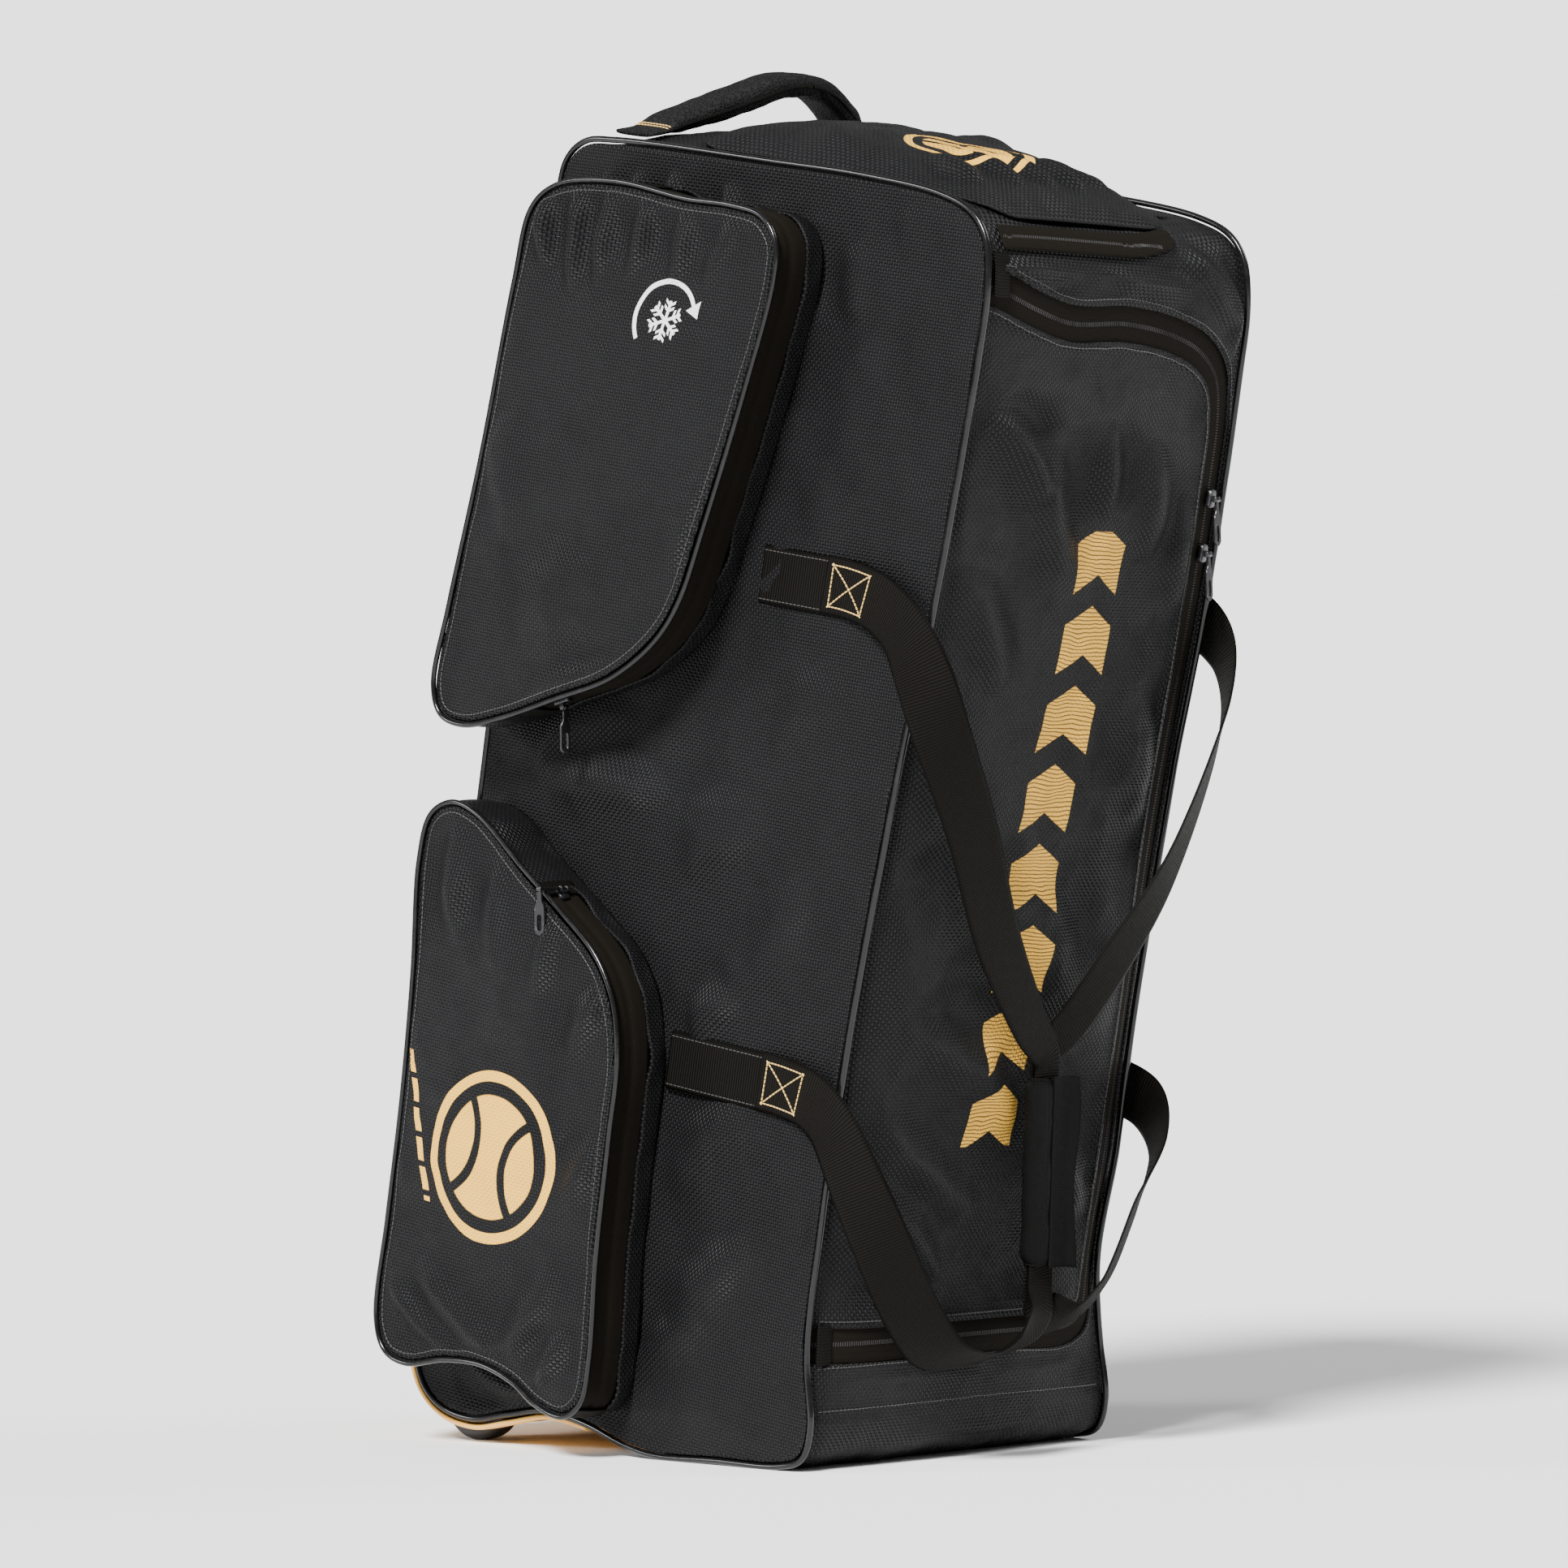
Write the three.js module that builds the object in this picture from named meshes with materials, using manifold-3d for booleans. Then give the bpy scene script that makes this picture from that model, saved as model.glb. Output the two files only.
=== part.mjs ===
// Wheeled cricket kit bag that stands on its soft foot and two wheels.
// Millimetres, +Z up. The bag leans forward a little, so it is built upright in its own frame
// (x across, y from the front lid to the back, z from foot to head) and a group tilts it.
import * as THREE from 'three';
import { mergeVertices } from 'three/addons/utils/BufferGeometryUtils.js';
import Module from 'manifold-3d';

const wasm = await Module();
wasm.setup();

// Driving sizes of the body
const LEAN = THREE.MathUtils.degToRad(8.95);
const HEIGHT = 888;
const DEPTH = 388;
const FOOT_WIDTH = 311;
const HEAD_WIDTH = 270;
const WALL = 2;
const GAP = 0.3;
const SEAM = 2.5;
const PIPING_RADIUS = 2.2;
const SEAM_LIFT = 5.5;
const SIDE_BULGE = 3;
const WAIST_DENT = 8;
const WAIST_HEIGHT = 0.1858 * HEIGHT;
const WAIST_REACH = 75;
const WAIST_PLAY = 0.8;

// Driving sizes of the pockets
const POCKET_DEPTH = 48;
const POCKET_CROWN = 7;
const POCKET_STRIP = 18;
const POCKET_PIPING = 1.9;
const POCKET_BACK_LIMIT = 0.4742 * DEPTH;
const COOL_FRONT = -56;
const COOL_WIDTH = 261;
const COOL_LOW = 482;
const COOL_HEIGHT = 380;
const LOWER_FRONT = -18;
const LOWER_WIDTH = 215;
const LOWER_LOW = 32;
const LOWER_HEIGHT = 391;
const END_POCKET_LEFT = -0.4519 * HEAD_WIDTH;
const END_POCKET_RIGHT = 0.2741 * HEAD_WIDTH;
const END_POCKET_FRONT = -0.4716 * DEPTH;
const END_POCKET_BACK = 0.2474 * DEPTH;
const END_POCKET_RISE = 11;
const END_ZIP_HEIGHT = 22;

// Driving sizes of the zips, webbing and handles
const ZIP_TAPE = 24;
const ZIP_FOOT = 0.1261 * HEIGHT;
const ZIP_HEAD = 0.9099 * HEIGHT;
const WEB_WIDTH = 40;
const WEB_THICK = 1.8;
const UPPER_BAND_HEIGHT = 0.6937 * HEIGHT;
const LOWER_BAND_HEIGHT = 0.3142 * HEIGHT;
const BAND_FRONT = -0.3454 * DEPTH;
const HANDLE_WIDTH = 34;
const HANDLE_THICK = 12;
const HANDLE_REACH = 118;
const HANDLE_RISE = 42;
const HANDLE_DEPTH = 0.3866 * DEPTH;
const GRIP_LENGTH = 142;
const GRIP_WIDTH = 35;
const GRIP_THICK = 14;
const GRIP_WALL = 2.5;
const GRIP_TOP = 0.339 * HEIGHT;
const GRIP_STANDOFF = 0.518 * DEPTH;

// Driving sizes of the wheels and their housing
const WHEEL_RADIUS = 30;
const WHEEL_WIDTH = 24;
const WHEEL_DEPTH = 0.3789 * DEPTH;
const WHEEL_INSET = 28;
const WHEEL_CLEARANCE = 3;
const AXLE_RADIUS = 4;
const AXLE_CLEARANCE = 0.4;
const HOUSING_WALL = 2;
const GUARD_THICK = 5;
const GUARD_WIDTH = 16;
const TRAY_THICK = 3;

// Driving sizes of a zip slider and its puller
const SLIDER_LENGTH = 13;
const SLIDER_WIDTH = 9;
const SLIDER_THICK = 3.5;
const PULLER_LENGTH = 32;
const PULLER_WIDTH = 9;
const PULLER_THICK = 1.6;
const BARREL_RADIUS = 2;
const PIN_RADIUS = 0.8;
const PIN_CLEARANCE = 0.4;
const LUG_THICK = 1.2;

const MATERIALS = {
  nylon: { color: 0x1d1d1f, roughness: 0.72, metalness: 0 },
  lid: { color: 0x202022, roughness: 0.7, metalness: 0 },
  piping: { color: 0x0c0c0d, roughness: 0.3, metalness: 0 },
  zip: { color: 0x18150f, roughness: 0.8, metalness: 0 },
  webbing: { color: 0x191714, roughness: 0.85, metalness: 0 },
  padding: { color: 0x141416, roughness: 0.9, metalness: 0 },
  guard: { color: 0xe0a24c, roughness: 0.45, metalness: 0 },
  housing: { color: 0x1a1a1b, roughness: 0.6, metalness: 0 },
  tyre: { color: 0x101011, roughness: 0.7, metalness: 0 },
  hardware: { color: 0x2a2a2c, roughness: 0.35, metalness: 0.9 },
};

const bag = new THREE.Group();
bag.rotation.x = LEAN;

function addMesh(name, geometry, material) {
  geometry.computeVertexNormals();
  const mesh = new THREE.Mesh(geometry, new THREE.MeshStandardMaterial(MATERIALS[material]));
  mesh.name = name;
  bag.add(mesh);
  return mesh;
}

const clamp = THREE.MathUtils.clamp;
const lerp = THREE.MathUtils.lerp;

function bump(value, centre, reach) {
  const away = Math.abs(value - centre) / reach;
  return away >= 1 ? 0 : Math.cos((away * Math.PI) / 2) ** 2;
}

// Reads a table of rows at one value of its first named column
function readTable(rows, key, column, value) {
  if (value <= rows[0][key]) return rows[0][column];
  for (let i = 1; i < rows.length; i += 1) {
    if (value <= rows[i][key]) {
      const share = (value - rows[i - 1][key]) / (rows[i][key] - rows[i - 1][key]);
      const smooth = share * share * (3 - 2 * share);
      return lerp(rows[i - 1][column], rows[i][column], smooth);
    }
  }
  return rows[rows.length - 1][column];
}

// Solids

function closedGeometry(points, faces) {
  let volume = 0;
  for (const [a, b, c] of faces) {
    volume += points[a].dot(new THREE.Vector3().crossVectors(points[b], points[c]));
  }
  const geometry = new THREE.BufferGeometry();
  geometry.setAttribute('position', new THREE.Float32BufferAttribute(points.flatMap((p) => p.toArray()), 3));
  geometry.setIndex(faces.flatMap(([a, b, c]) => (volume < 0 ? [a, c, b] : [a, b, c])));
  return geometry;
}

// Joins rings of points, each with the same count, into a tube with flat ends or a closed loop
function loft(rings, isLoop = false) {
  const count = rings[0].length;
  const points = rings.flat();
  const faces = [];
  const spans = isLoop ? rings.length : rings.length - 1;
  for (let i = 0; i < spans; i += 1) {
    const here = i * count;
    const next = ((i + 1) % rings.length) * count;
    for (let k = 0; k < count; k += 1) {
      const after = (k + 1) % count;
      faces.push([here + k, here + after, next + after], [here + k, next + after, next + k]);
    }
  }
  if (!isLoop) {
    const last = (rings.length - 1) * count;
    for (let k = 1; k < count - 1; k += 1) {
      faces.push([0, k + 1, k], [last, last + k, last + k + 1]);
    }
  }
  return closedGeometry(points, faces);
}

// Makes a sheet from rows of outer points and the matching rows of inner points
function sheet(outerRows, innerRows) {
  const across = outerRows[0].length;
  const along = outerRows.length;
  const points = [...outerRows.flat(), ...innerRows.flat()];
  const shift = along * across;
  const faces = [];
  const quad = (a, b, c, d) => faces.push([a, b, c], [a, c, d]);
  for (let i = 0; i < along - 1; i += 1) {
    for (let k = 0; k < across - 1; k += 1) {
      const a = i * across + k;
      quad(a, a + 1, a + across + 1, a + across);
      quad(shift + a, shift + a + across, shift + a + across + 1, shift + a + 1);
    }
    const near = i * across;
    const far = near + across - 1;
    quad(near, near + across, shift + near + across, shift + near);
    quad(far + across, far, shift + far, shift + far + across);
  }
  for (let k = 0; k < across - 1; k += 1) {
    const last = (along - 1) * across + k;
    quad(k + 1, k, shift + k, shift + k + 1);
    quad(last, last + 1, shift + last + 1, shift + last);
  }
  return closedGeometry(points, faces);
}

function toSolid(geometry) {
  const bare = new THREE.BufferGeometry();
  bare.setAttribute('position', geometry.getAttribute('position'));
  if (geometry.index) bare.setIndex(geometry.index);
  const merged = mergeVertices(bare, 1e-4);
  const vertProperties = Float32Array.from(merged.getAttribute('position').array);
  const triVerts = Uint32Array.from(merged.index.array);
  return new wasm.Manifold(new wasm.Mesh({ numProp: 3, vertProperties, triVerts }));
}

function toGeometry(solid) {
  const mesh = solid.getMesh();
  const geometry = new THREE.BufferGeometry();
  const points = new Float32Array(mesh.numVert * 3);
  for (let i = 0; i < mesh.numVert; i += 1) {
    points.set(mesh.vertProperties.subarray(i * mesh.numProp, i * mesh.numProp + 3), i * 3);
  }
  geometry.setAttribute('position', new THREE.BufferAttribute(points, 3));
  geometry.setIndex(new THREE.BufferAttribute(Uint32Array.from(mesh.triVerts), 1));
  return geometry;
}

function extrude(points, length) {
  const shape = new THREE.Shape(points);
  return new THREE.ExtrudeGeometry(shape, { depth: length, bevelEnabled: false, steps: 1 });
}

// A prism whose outline is drawn over (y, z) and which runs along x
function sidePrism(outline, from, to) {
  const geometry = extrude(outline.map((p) => new THREE.Vector2(p.y, p.z)), to - from);
  const turn = new THREE.Matrix4().makeBasis(
    new THREE.Vector3(0, 1, 0),
    new THREE.Vector3(0, 0, 1),
    new THREE.Vector3(1, 0, 0),
  );
  return toSolid(geometry.applyMatrix4(turn).translate(from, 0, 0));
}

// A prism whose outline is drawn over (x, z) and which runs along y
function frontPrism(outline, from, to) {
  const geometry = extrude(outline.map((p) => new THREE.Vector2(p.x, p.z)), to - from);
  const turn = new THREE.Matrix4().makeBasis(
    new THREE.Vector3(1, 0, 0),
    new THREE.Vector3(0, 0, 1),
    new THREE.Vector3(0, -1, 0),
  );
  return toSolid(geometry.applyMatrix4(turn).translate(0, to, 0));
}

// A prism whose outline is drawn over (x, y) and which runs up z
function topPrism(outline, from, to) {
  const geometry = extrude(outline.map((p) => new THREE.Vector2(p.x, p.y)), to - from);
  return toSolid(geometry.translate(0, 0, from));
}

function box(x, y, z, place) {
  return new THREE.BoxGeometry(x, y, z).translate(place.x, place.y, place.z);
}

// The body's surfaces

const LEFT = -1;
const RIGHT = 1;
const SIDES = [{ side: LEFT, name: 'left' }, { side: RIGHT, name: 'right' }];

// The far front corner is pulled in at the waist, and the dent fades towards the back
function waist(side, y, z) {
  const fade = clamp(0.4 - y / (DEPTH / 2), 0, 1);
  return side > 0 ? fade * bump(z, WAIST_HEIGHT, WAIST_REACH) : 0;
}

function halfWidth(side, y, z) {
  const share = clamp(z / HEIGHT, 0, 1);
  return lerp(FOOT_WIDTH, HEAD_WIDTH, share) / 2 - WAIST_DENT * waist(side, y, z);
}

// The wrap keeps a little play to the dented side panel, whose facets it doesn't share
function seamWidth(side, { y, z }) {
  return halfWidth(side, y, z) - WAIST_PLAY * Math.sqrt(waist(side, y, z));
}

function sidePoint(side, y, z, out) {
  const along = Math.cos((Math.PI * clamp(y / DEPTH, -0.5, 0.5)));
  const up = Math.sin(Math.PI * clamp(z / HEIGHT, 0, 1));
  const x = side * (halfWidth(side, y, z) + SIDE_BULGE * along * up + out);
  return new THREE.Vector3(x, y, z);
}

function floorHeight(y) {
  return -y * Math.tan(LEAN);
}

const FLOOR_NORMAL = new THREE.Vector3(0, -Math.sin(LEAN), -Math.cos(LEAN));

// The side outline, up the front, over the head, down the back and along the foot.
// depth and height are shares of DEPTH and HEIGHT; a row on the floor has no height of its own.
const SIDE_OUTLINE = [
  { depth: -0.405, floor: true, steps: 1 },
  { depth: -0.449, height: 0.043, steps: 1 },
  { depth: -0.459, height: 0.067, steps: 1 },
  { depth: -0.435, height: 0.106, steps: 1 },
  { depth: -0.425, height: 0.135, steps: 2 },
  { depth: -0.423, height: 0.207, steps: 3 },
  { depth: -0.428, height: 0.356, steps: 3 },
  { depth: -0.461, height: 0.573, steps: 2 },
  { depth: -0.49, height: 0.697, steps: 2 },
  { depth: -0.512, height: 0.88, steps: 1 },
  { depth: -0.512, height: 0.934, steps: 1 },
  { depth: -0.495, height: 0.966, steps: 1 },
  { depth: -0.459, height: 0.983, steps: 1 },
  { depth: -0.387, height: 0.993, steps: 2 },
  { depth: -0.21, height: 0.999, steps: 2 },
  { depth: 0, height: 1, steps: 3 },
  { depth: 0.387, height: 1, steps: 1 },
  { depth: 0.456, height: 0.996, steps: 1 },
  { depth: 0.49, height: 0.982, steps: 1 },
  { depth: 0.5, height: 0.955, steps: 4 },
  { depth: 0.502, height: 0.528, steps: 3 },
  { depth: 0.49, height: 0.113, steps: 1 },
  { depth: 0.486, height: 0.045, steps: 1 },
  { depth: 0.456, height: 0.016, steps: 1 },
  { depth: 0.405, height: 0.002, steps: 1 },
  { depth: 0.33, height: 0, steps: 1 },
  { depth: 0.25, height: 0.011, steps: 1 },
  { depth: 0.155, height: 0.023, steps: 1 },
  { depth: 0.05, height: 0.022, steps: 1 },
  { depth: -0.05, height: 0.015, steps: 1 },
  { depth: -0.115, floor: true, steps: 1 },
  { depth: -0.26, floor: true, steps: 1 },
];

const outlinePoints = SIDE_OUTLINE.map((row) => {
  const y = row.depth * DEPTH;
  const z = row.floor ? floorHeight(y) + SEAM_LIFT / Math.cos(LEAN) : row.height * HEIGHT;
  return new THREE.Vector3(0, y, z);
});
const outlineCurve = new THREE.CatmullRomCurve3(outlinePoints, true, 'centripetal');
const ROWS = SIDE_OUTLINE.length;
// The foot lies on the floor from this row round to row 0, and is soft again from row 1
const FOOT_ROW = 30;

// A station is one place on the outline, given as a row number that may have a fraction
function station(row) {
  const share = (((row % ROWS) + ROWS) % ROWS) / ROWS;
  const place = outlineCurve.getPoint(share);
  const tangent = outlineCurve.getTangent(share);
  const whole = Math.round(row) % ROWS;
  const isFloor = Math.abs(row - Math.round(row)) < 0.02 && SIDE_OUTLINE[(whole + ROWS) % ROWS].floor;
  const normal = isFloor ? FLOOR_NORMAL : new THREE.Vector3(0, -tangent.z, tangent.y);
  return { row, place, normal };
}

function stationRange(from, to) {
  const list = [from];
  for (let row = Math.floor(from); row <= to; row += 1) {
    const { steps } = SIDE_OUTLINE[((row % ROWS) + ROWS) % ROWS];
    for (let step = 0; step < steps; step += 1) {
      const at = row + step / steps;
      if (at > from + 0.02 && at < to - 0.02) list.push(at);
    }
  }
  list.push(to);
  return list.map(station);
}

const allStations = stationRange(0, ROWS).slice(0, -1);

// How far the wrap stands out in its middle, as shares of DEPTH
const FRONT_CROWN = [
  { height: 0.05, rise: 0.0129 },
  { height: 0.085, rise: 0.0232 },
  { height: 0.13, rise: 0.0412 },
  { height: 0.36, rise: 0.0515 },
  { height: 0.57, rise: 0.0335 },
  { height: 0.73, rise: 0.0232 },
  { height: 0.95, rise: 0.0155 },
];
const TOP_CROWN = [
  { depth: -0.47, rise: 0 },
  { depth: -0.32, rise: 0.0077 },
  { depth: -0.19, rise: 0.0232 },
  { depth: -0.06, rise: 0.0387 },
  { depth: 0.26, rise: 0.0464 },
  { depth: 0.39, rise: 0.0361 },
  { depth: 0.47, rise: 0.0103 },
];
const BACK_CROWN = 0.0129;
const BASE_RAMP = 14;

// How far the wrap stands out from the seam line, at x on a station
function crown({ place, normal, row }, x) {
  const half = halfWidth(Math.sign(x), place.y, place.z) - SEAM;
  const share = clamp(Math.abs(x) / half, 0, 1);
  const front = Math.max(0, -normal.y) ** 2 * readTable(FRONT_CROWN, 'height', 'rise', place.z / HEIGHT);
  const back = Math.max(0, normal.y) ** 2 * BACK_CROWN;
  const top = Math.max(0, normal.z) ** 2 * readTable(TOP_CROWN, 'depth', 'rise', place.y / DEPTH);
  const soft = DEPTH * (front * (1 - share ** 6) + (top + back) * (1 - share ** 2.2));
  const ramp = clamp((half - Math.abs(x)) / BASE_RAMP, 0, 1);
  const around = row % ROWS;
  return lerp(soft, SEAM_LIFT * ramp, around >= FOOT_ROW ? 1 : clamp(1 - around, 0, 1));
}

const ACROSS = [-1, -0.983, -0.88, -0.6, 0, 0.6, 0.88, 0.983, 1];

function wrapPoint(at, x, out) {
  const rise = crown(at, x) + out;
  return at.place.clone().addScaledVector(at.normal, rise).setX(x);
}

function wrapRow(at, out) {
  return ACROSS.map((share) => wrapPoint(at, share * seamWidth(Math.sign(share), at.place), out));
}

function wrapSheet(from, to, out = 0, thick = WALL) {
  const stations = stationRange(from, to);
  return sheet(stations.map((at) => wrapRow(at, out)), stations.map((at) => wrapRow(at, out - thick)));
}

// Finds the outline's row number at a depth on the head of the bag
function headRow(y) {
  let low = 12;
  let high = 19;
  for (let i = 0; i < 40; i += 1) {
    const middle = (low + high) / 2;
    if (station(middle).place.y < y) low = middle;
    else high = middle;
  }
  return (low + high) / 2;
}

function headPoint(x, y, out) {
  return wrapPoint(station(headRow(y)), x, out);
}

// Where the four runs of the wrap meet, as row numbers of the outline
const FRONT_START = 0.5;
const FRONT_END = 13;
const TOP_END = 18;
const BACK_END = 23;
const ROW_GAP = 0.008;

// The wrap: front wall with the lid cut out of it, head, back and foot

const ZIP_SIDE_RUN = 0.885;
const ZIP_PATH = [
  { across: -1.2, up: 1.04 },
  { across: -0.93, up: 1.028 },
  { across: -0.66, up: 1.012 },
  { across: -0.38, up: 1.001 },
  { across: 0.04, up: 1.004 },
  { across: 0.42, up: 0.996 },
  { across: 0.66, up: 0.981 },
  { across: 0.82, up: 0.955 },
  { across: 0.88, up: 0.915 },
  { across: ZIP_SIDE_RUN, up: 0.85 },
  { across: ZIP_SIDE_RUN, up: 0.6 },
  { across: 0.88, up: 0.35 },
  { across: 0.87, up: 0.16 },
  { across: 0.86, up: 0.06 },
  { across: 0.82, up: 0.015 },
  { across: 0.7, up: 0 },
  { across: 0.3, up: 0 },
  { across: -0.2, up: 0 },
  { across: -0.7, up: 0 },
  { across: -1.2, up: 0 },
];

// The region inside the lid's zip, grown by a margin and left open past the hinge side
function lidRegion(margin) {
  const rows = ZIP_PATH.map(({ across, up }) => {
    const z = lerp(ZIP_FOOT, ZIP_HEAD, up);
    return new THREE.Vector3(across * halfWidth(LEFT, 0, z), 0, z);
  });
  const curve = new THREE.CatmullRomCurve3(rows, false, 'centripetal');
  const count = Math.round(rows.length * 1.3);
  const region = [];
  for (let i = 0; i <= count; i += 1) {
    const tangent = curve.getTangent(i / count);
    const outward = new THREE.Vector3(-tangent.z, 0, tangent.x);
    region.push(curve.getPoint(i / count).addScaledVector(outward, margin));
  }
  return region.reverse();
}

function lidPrism(margin) {
  return frontPrism(lidRegion(margin), -DEPTH, 0);
}

const frontWall = toSolid(wrapSheet(FRONT_START + ROW_GAP, FRONT_END - ROW_GAP));
const tapeOuter = ZIP_TAPE / 2;
addMesh('front_border', toGeometry(frontWall.subtract(lidPrism(tapeOuter + GAP / 2))), 'nylon');
addMesh(
  'lid_zip',
  toGeometry(frontWall.intersect(lidPrism(tapeOuter - GAP / 2)).subtract(lidPrism(GAP / 2 - tapeOuter))),
  'zip',
);
addMesh('lid_panel', toGeometry(frontWall.intersect(lidPrism(-tapeOuter - GAP / 2))), 'lid');
addMesh('top_panel', wrapSheet(FRONT_END + ROW_GAP, TOP_END - ROW_GAP), 'nylon');

// Wheels, their housings and the hard corner tray
const WHEEL_Z = (WHEEL_RADIUS - WHEEL_DEPTH * Math.sin(LEAN)) / Math.cos(LEAN);
const HOUSING_REACH = WHEEL_RADIUS + WHEEL_CLEARANCE + HOUSING_WALL;
const HOUSING_WIDTH = WHEEL_WIDTH + 2 * (WHEEL_CLEARANCE + HOUSING_WALL);

function wheelPlace(side) {
  return new THREE.Vector3(side * (FOOT_WIDTH / 2 - WHEEL_INSET), WHEEL_DEPTH, WHEEL_Z);
}

function housingBox(side, grow) {
  const size = 2 * (HOUSING_REACH + grow);
  const place = wheelPlace(side);
  place.z -= HOUSING_REACH;
  return toSolid(box(HOUSING_WIDTH + 2 * grow, size, size + 2 * HOUSING_REACH, place));
}

function offsetOutline(distance) {
  return allStations.map(({ place, normal }) => place.clone().addScaledVector(normal, distance));
}

function cutWells(solid, grow) {
  return SIDES.reduce((left, { side }) => left.subtract(housingBox(side, grow)), solid);
}

const backPanel = toSolid(wrapSheet(TOP_END + ROW_GAP, BACK_END - 0.02));
addMesh('back_panel', toGeometry(cutWells(backPanel, GAP)), 'nylon');
const basePanel = toSolid(wrapSheet(BACK_END + 0.02, ROWS + FRONT_START - ROW_GAP));
addMesh('base_panel', toGeometry(cutWells(basePanel, GAP)), 'nylon');

const TRAY_OFFSET = 2 * PIPING_RADIUS + 3 * GAP;
const TRAY_START = 22;
const TRAY_END = 28;

function trayRing(at, low, high, thick, taper) {
  const inner = at.place.clone().addScaledVector(at.normal, TRAY_OFFSET);
  const outer = at.place.clone().addScaledVector(at.normal, TRAY_OFFSET + thick * taper);
  const corner = (place, x) => place.clone().setX(x);
  return [corner(inner, low), corner(inner, high), corner(outer, high), corner(outer, low)];
}

function trayPiece(low, high, thick) {
  const stations = stationRange(TRAY_START, TRAY_END);
  const rings = stations.map((at) => {
    const taper = at.row > 26 ? lerp(1, 0.4, (at.row - 26) / 2) : 1;
    return trayRing(at, low, high, thick, taper);
  });
  return toSolid(loft(rings));
}

const trayHalf = FOOT_WIDTH / 2 + PIPING_RADIUS;
let tray = trayPiece(-trayHalf, trayHalf, TRAY_THICK);
for (const { side } of SIDES) {
  const rim = [side * (trayHalf - GUARD_WIDTH), side * trayHalf];
  tray = tray.add(trayPiece(Math.min(...rim), Math.max(...rim), GUARD_THICK));
}
addMesh('wheel_tray', toGeometry(cutWells(tray, -HOUSING_WALL)), 'guard');

function lathe(profile, segments) {
  const points = profile.map(([radius, along]) => new THREE.Vector2(radius, along));
  const geometry = new THREE.LatheGeometry(points, segments);
  return geometry.rotateZ(Math.PI / 2);
}

const WHEEL_SIDES = 16;

function wheelGeometry() {
  const half = WHEEL_WIDTH / 2;
  const bore = AXLE_RADIUS + AXLE_CLEARANCE;
  const hub = WHEEL_RADIUS * 0.36;
  const rim = WHEEL_RADIUS * 0.74;
  const profile = [
    [bore, -half],
    [hub, -half],
    [rim, -half * 0.6],
    [rim, -half * 0.9],
    [WHEEL_RADIUS, -half * 0.62],
    [WHEEL_RADIUS, half * 0.62],
    [rim, half * 0.9],
    [rim, half * 0.6],
    [hub, half],
    [bore, half],
    [bore, -half],
  ];
  return toGeometry(toSolid(lathe(profile, WHEEL_SIDES)));
}

for (const { side, name } of SIDES) {
  const place = wheelPlace(side);
  const shell = housingBox(side, 0)
    .subtract(housingBox(side, -HOUSING_WALL))
    .intersect(sidePrism(offsetOutline(TRAY_OFFSET - GAP), -FOOT_WIDTH, FOOT_WIDTH));
  const axle = new THREE.CylinderGeometry(AXLE_RADIUS, AXLE_RADIUS, HOUSING_WIDTH - HOUSING_WALL, 12);
  const rod = toSolid(axle.rotateZ(Math.PI / 2).translate(place.x, place.y, place.z));
  addMesh(`wheel_housing_${name}`, toGeometry(shell.add(rod)), 'housing');
  const wheel = addMesh(`wheel_${name}`, wheelGeometry(), 'tyre');
  wheel.position.copy(place);
  wheel.rotation.x = -LEAN;
}

// Side panels with their piping
const PANEL_HEIGHTS = [-0.03, 0, 0.08, 0.12, 0.15, 0.18, 0.21, 0.25, 0.29, 0.44, 0.6, 0.76, 0.9, 1, 1.02];

function sidePanel(side) {
  const across = 6;
  const rows = (out) => PANEL_HEIGHTS.map((height) => Array.from({ length: across + 1 }, (_, k) => {
    return sidePoint(side, lerp(-0.54 * DEPTH, 0.54 * DEPTH, k / across), height * HEIGHT, out);
  }));
  const slab = toSolid(sheet(rows(GAP + WALL), rows(GAP)));
  const outline = sidePrism(allStations.map(({ place }) => place), -FOOT_WIDTH, FOOT_WIDTH);
  return toGeometry(slab.intersect(outline));
}

const PIPING_SIDES = 5;

// A round cord that follows places with an outward direction each, standing off by its radius
function roundLoop(places, radius, sides, isLoop) {
  const rings = places.map(({ centre, normal, lateral }) => Array.from({ length: sides }, (_, k) => {
    const angle = (2 * Math.PI * (k + 0.5)) / sides;
    return centre.clone()
      .addScaledVector(normal, radius * Math.sin(angle))
      .addScaledVector(lateral, radius * Math.cos(angle));
  }));
  return loft(rings, isLoop);
}

for (const { side, name } of SIDES) {
  addMesh(`side_panel_${name}`, sidePanel(side), 'nylon');
  const lateral = new THREE.Vector3(side, 0, 0);
  const places = allStations.map((at) => {
    const centre = at.place.clone().addScaledVector(at.normal, PIPING_RADIUS + 2 * GAP);
    centre.x = side * (halfWidth(side, at.place.y, at.place.z) + GAP + WALL / 2);
    return { centre, normal: at.normal, lateral };
  });
  addMesh(`piping_${name}`, roundLoop(places, PIPING_RADIUS, PIPING_SIDES, true), 'piping');
}

// Pockets on the left side

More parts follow.
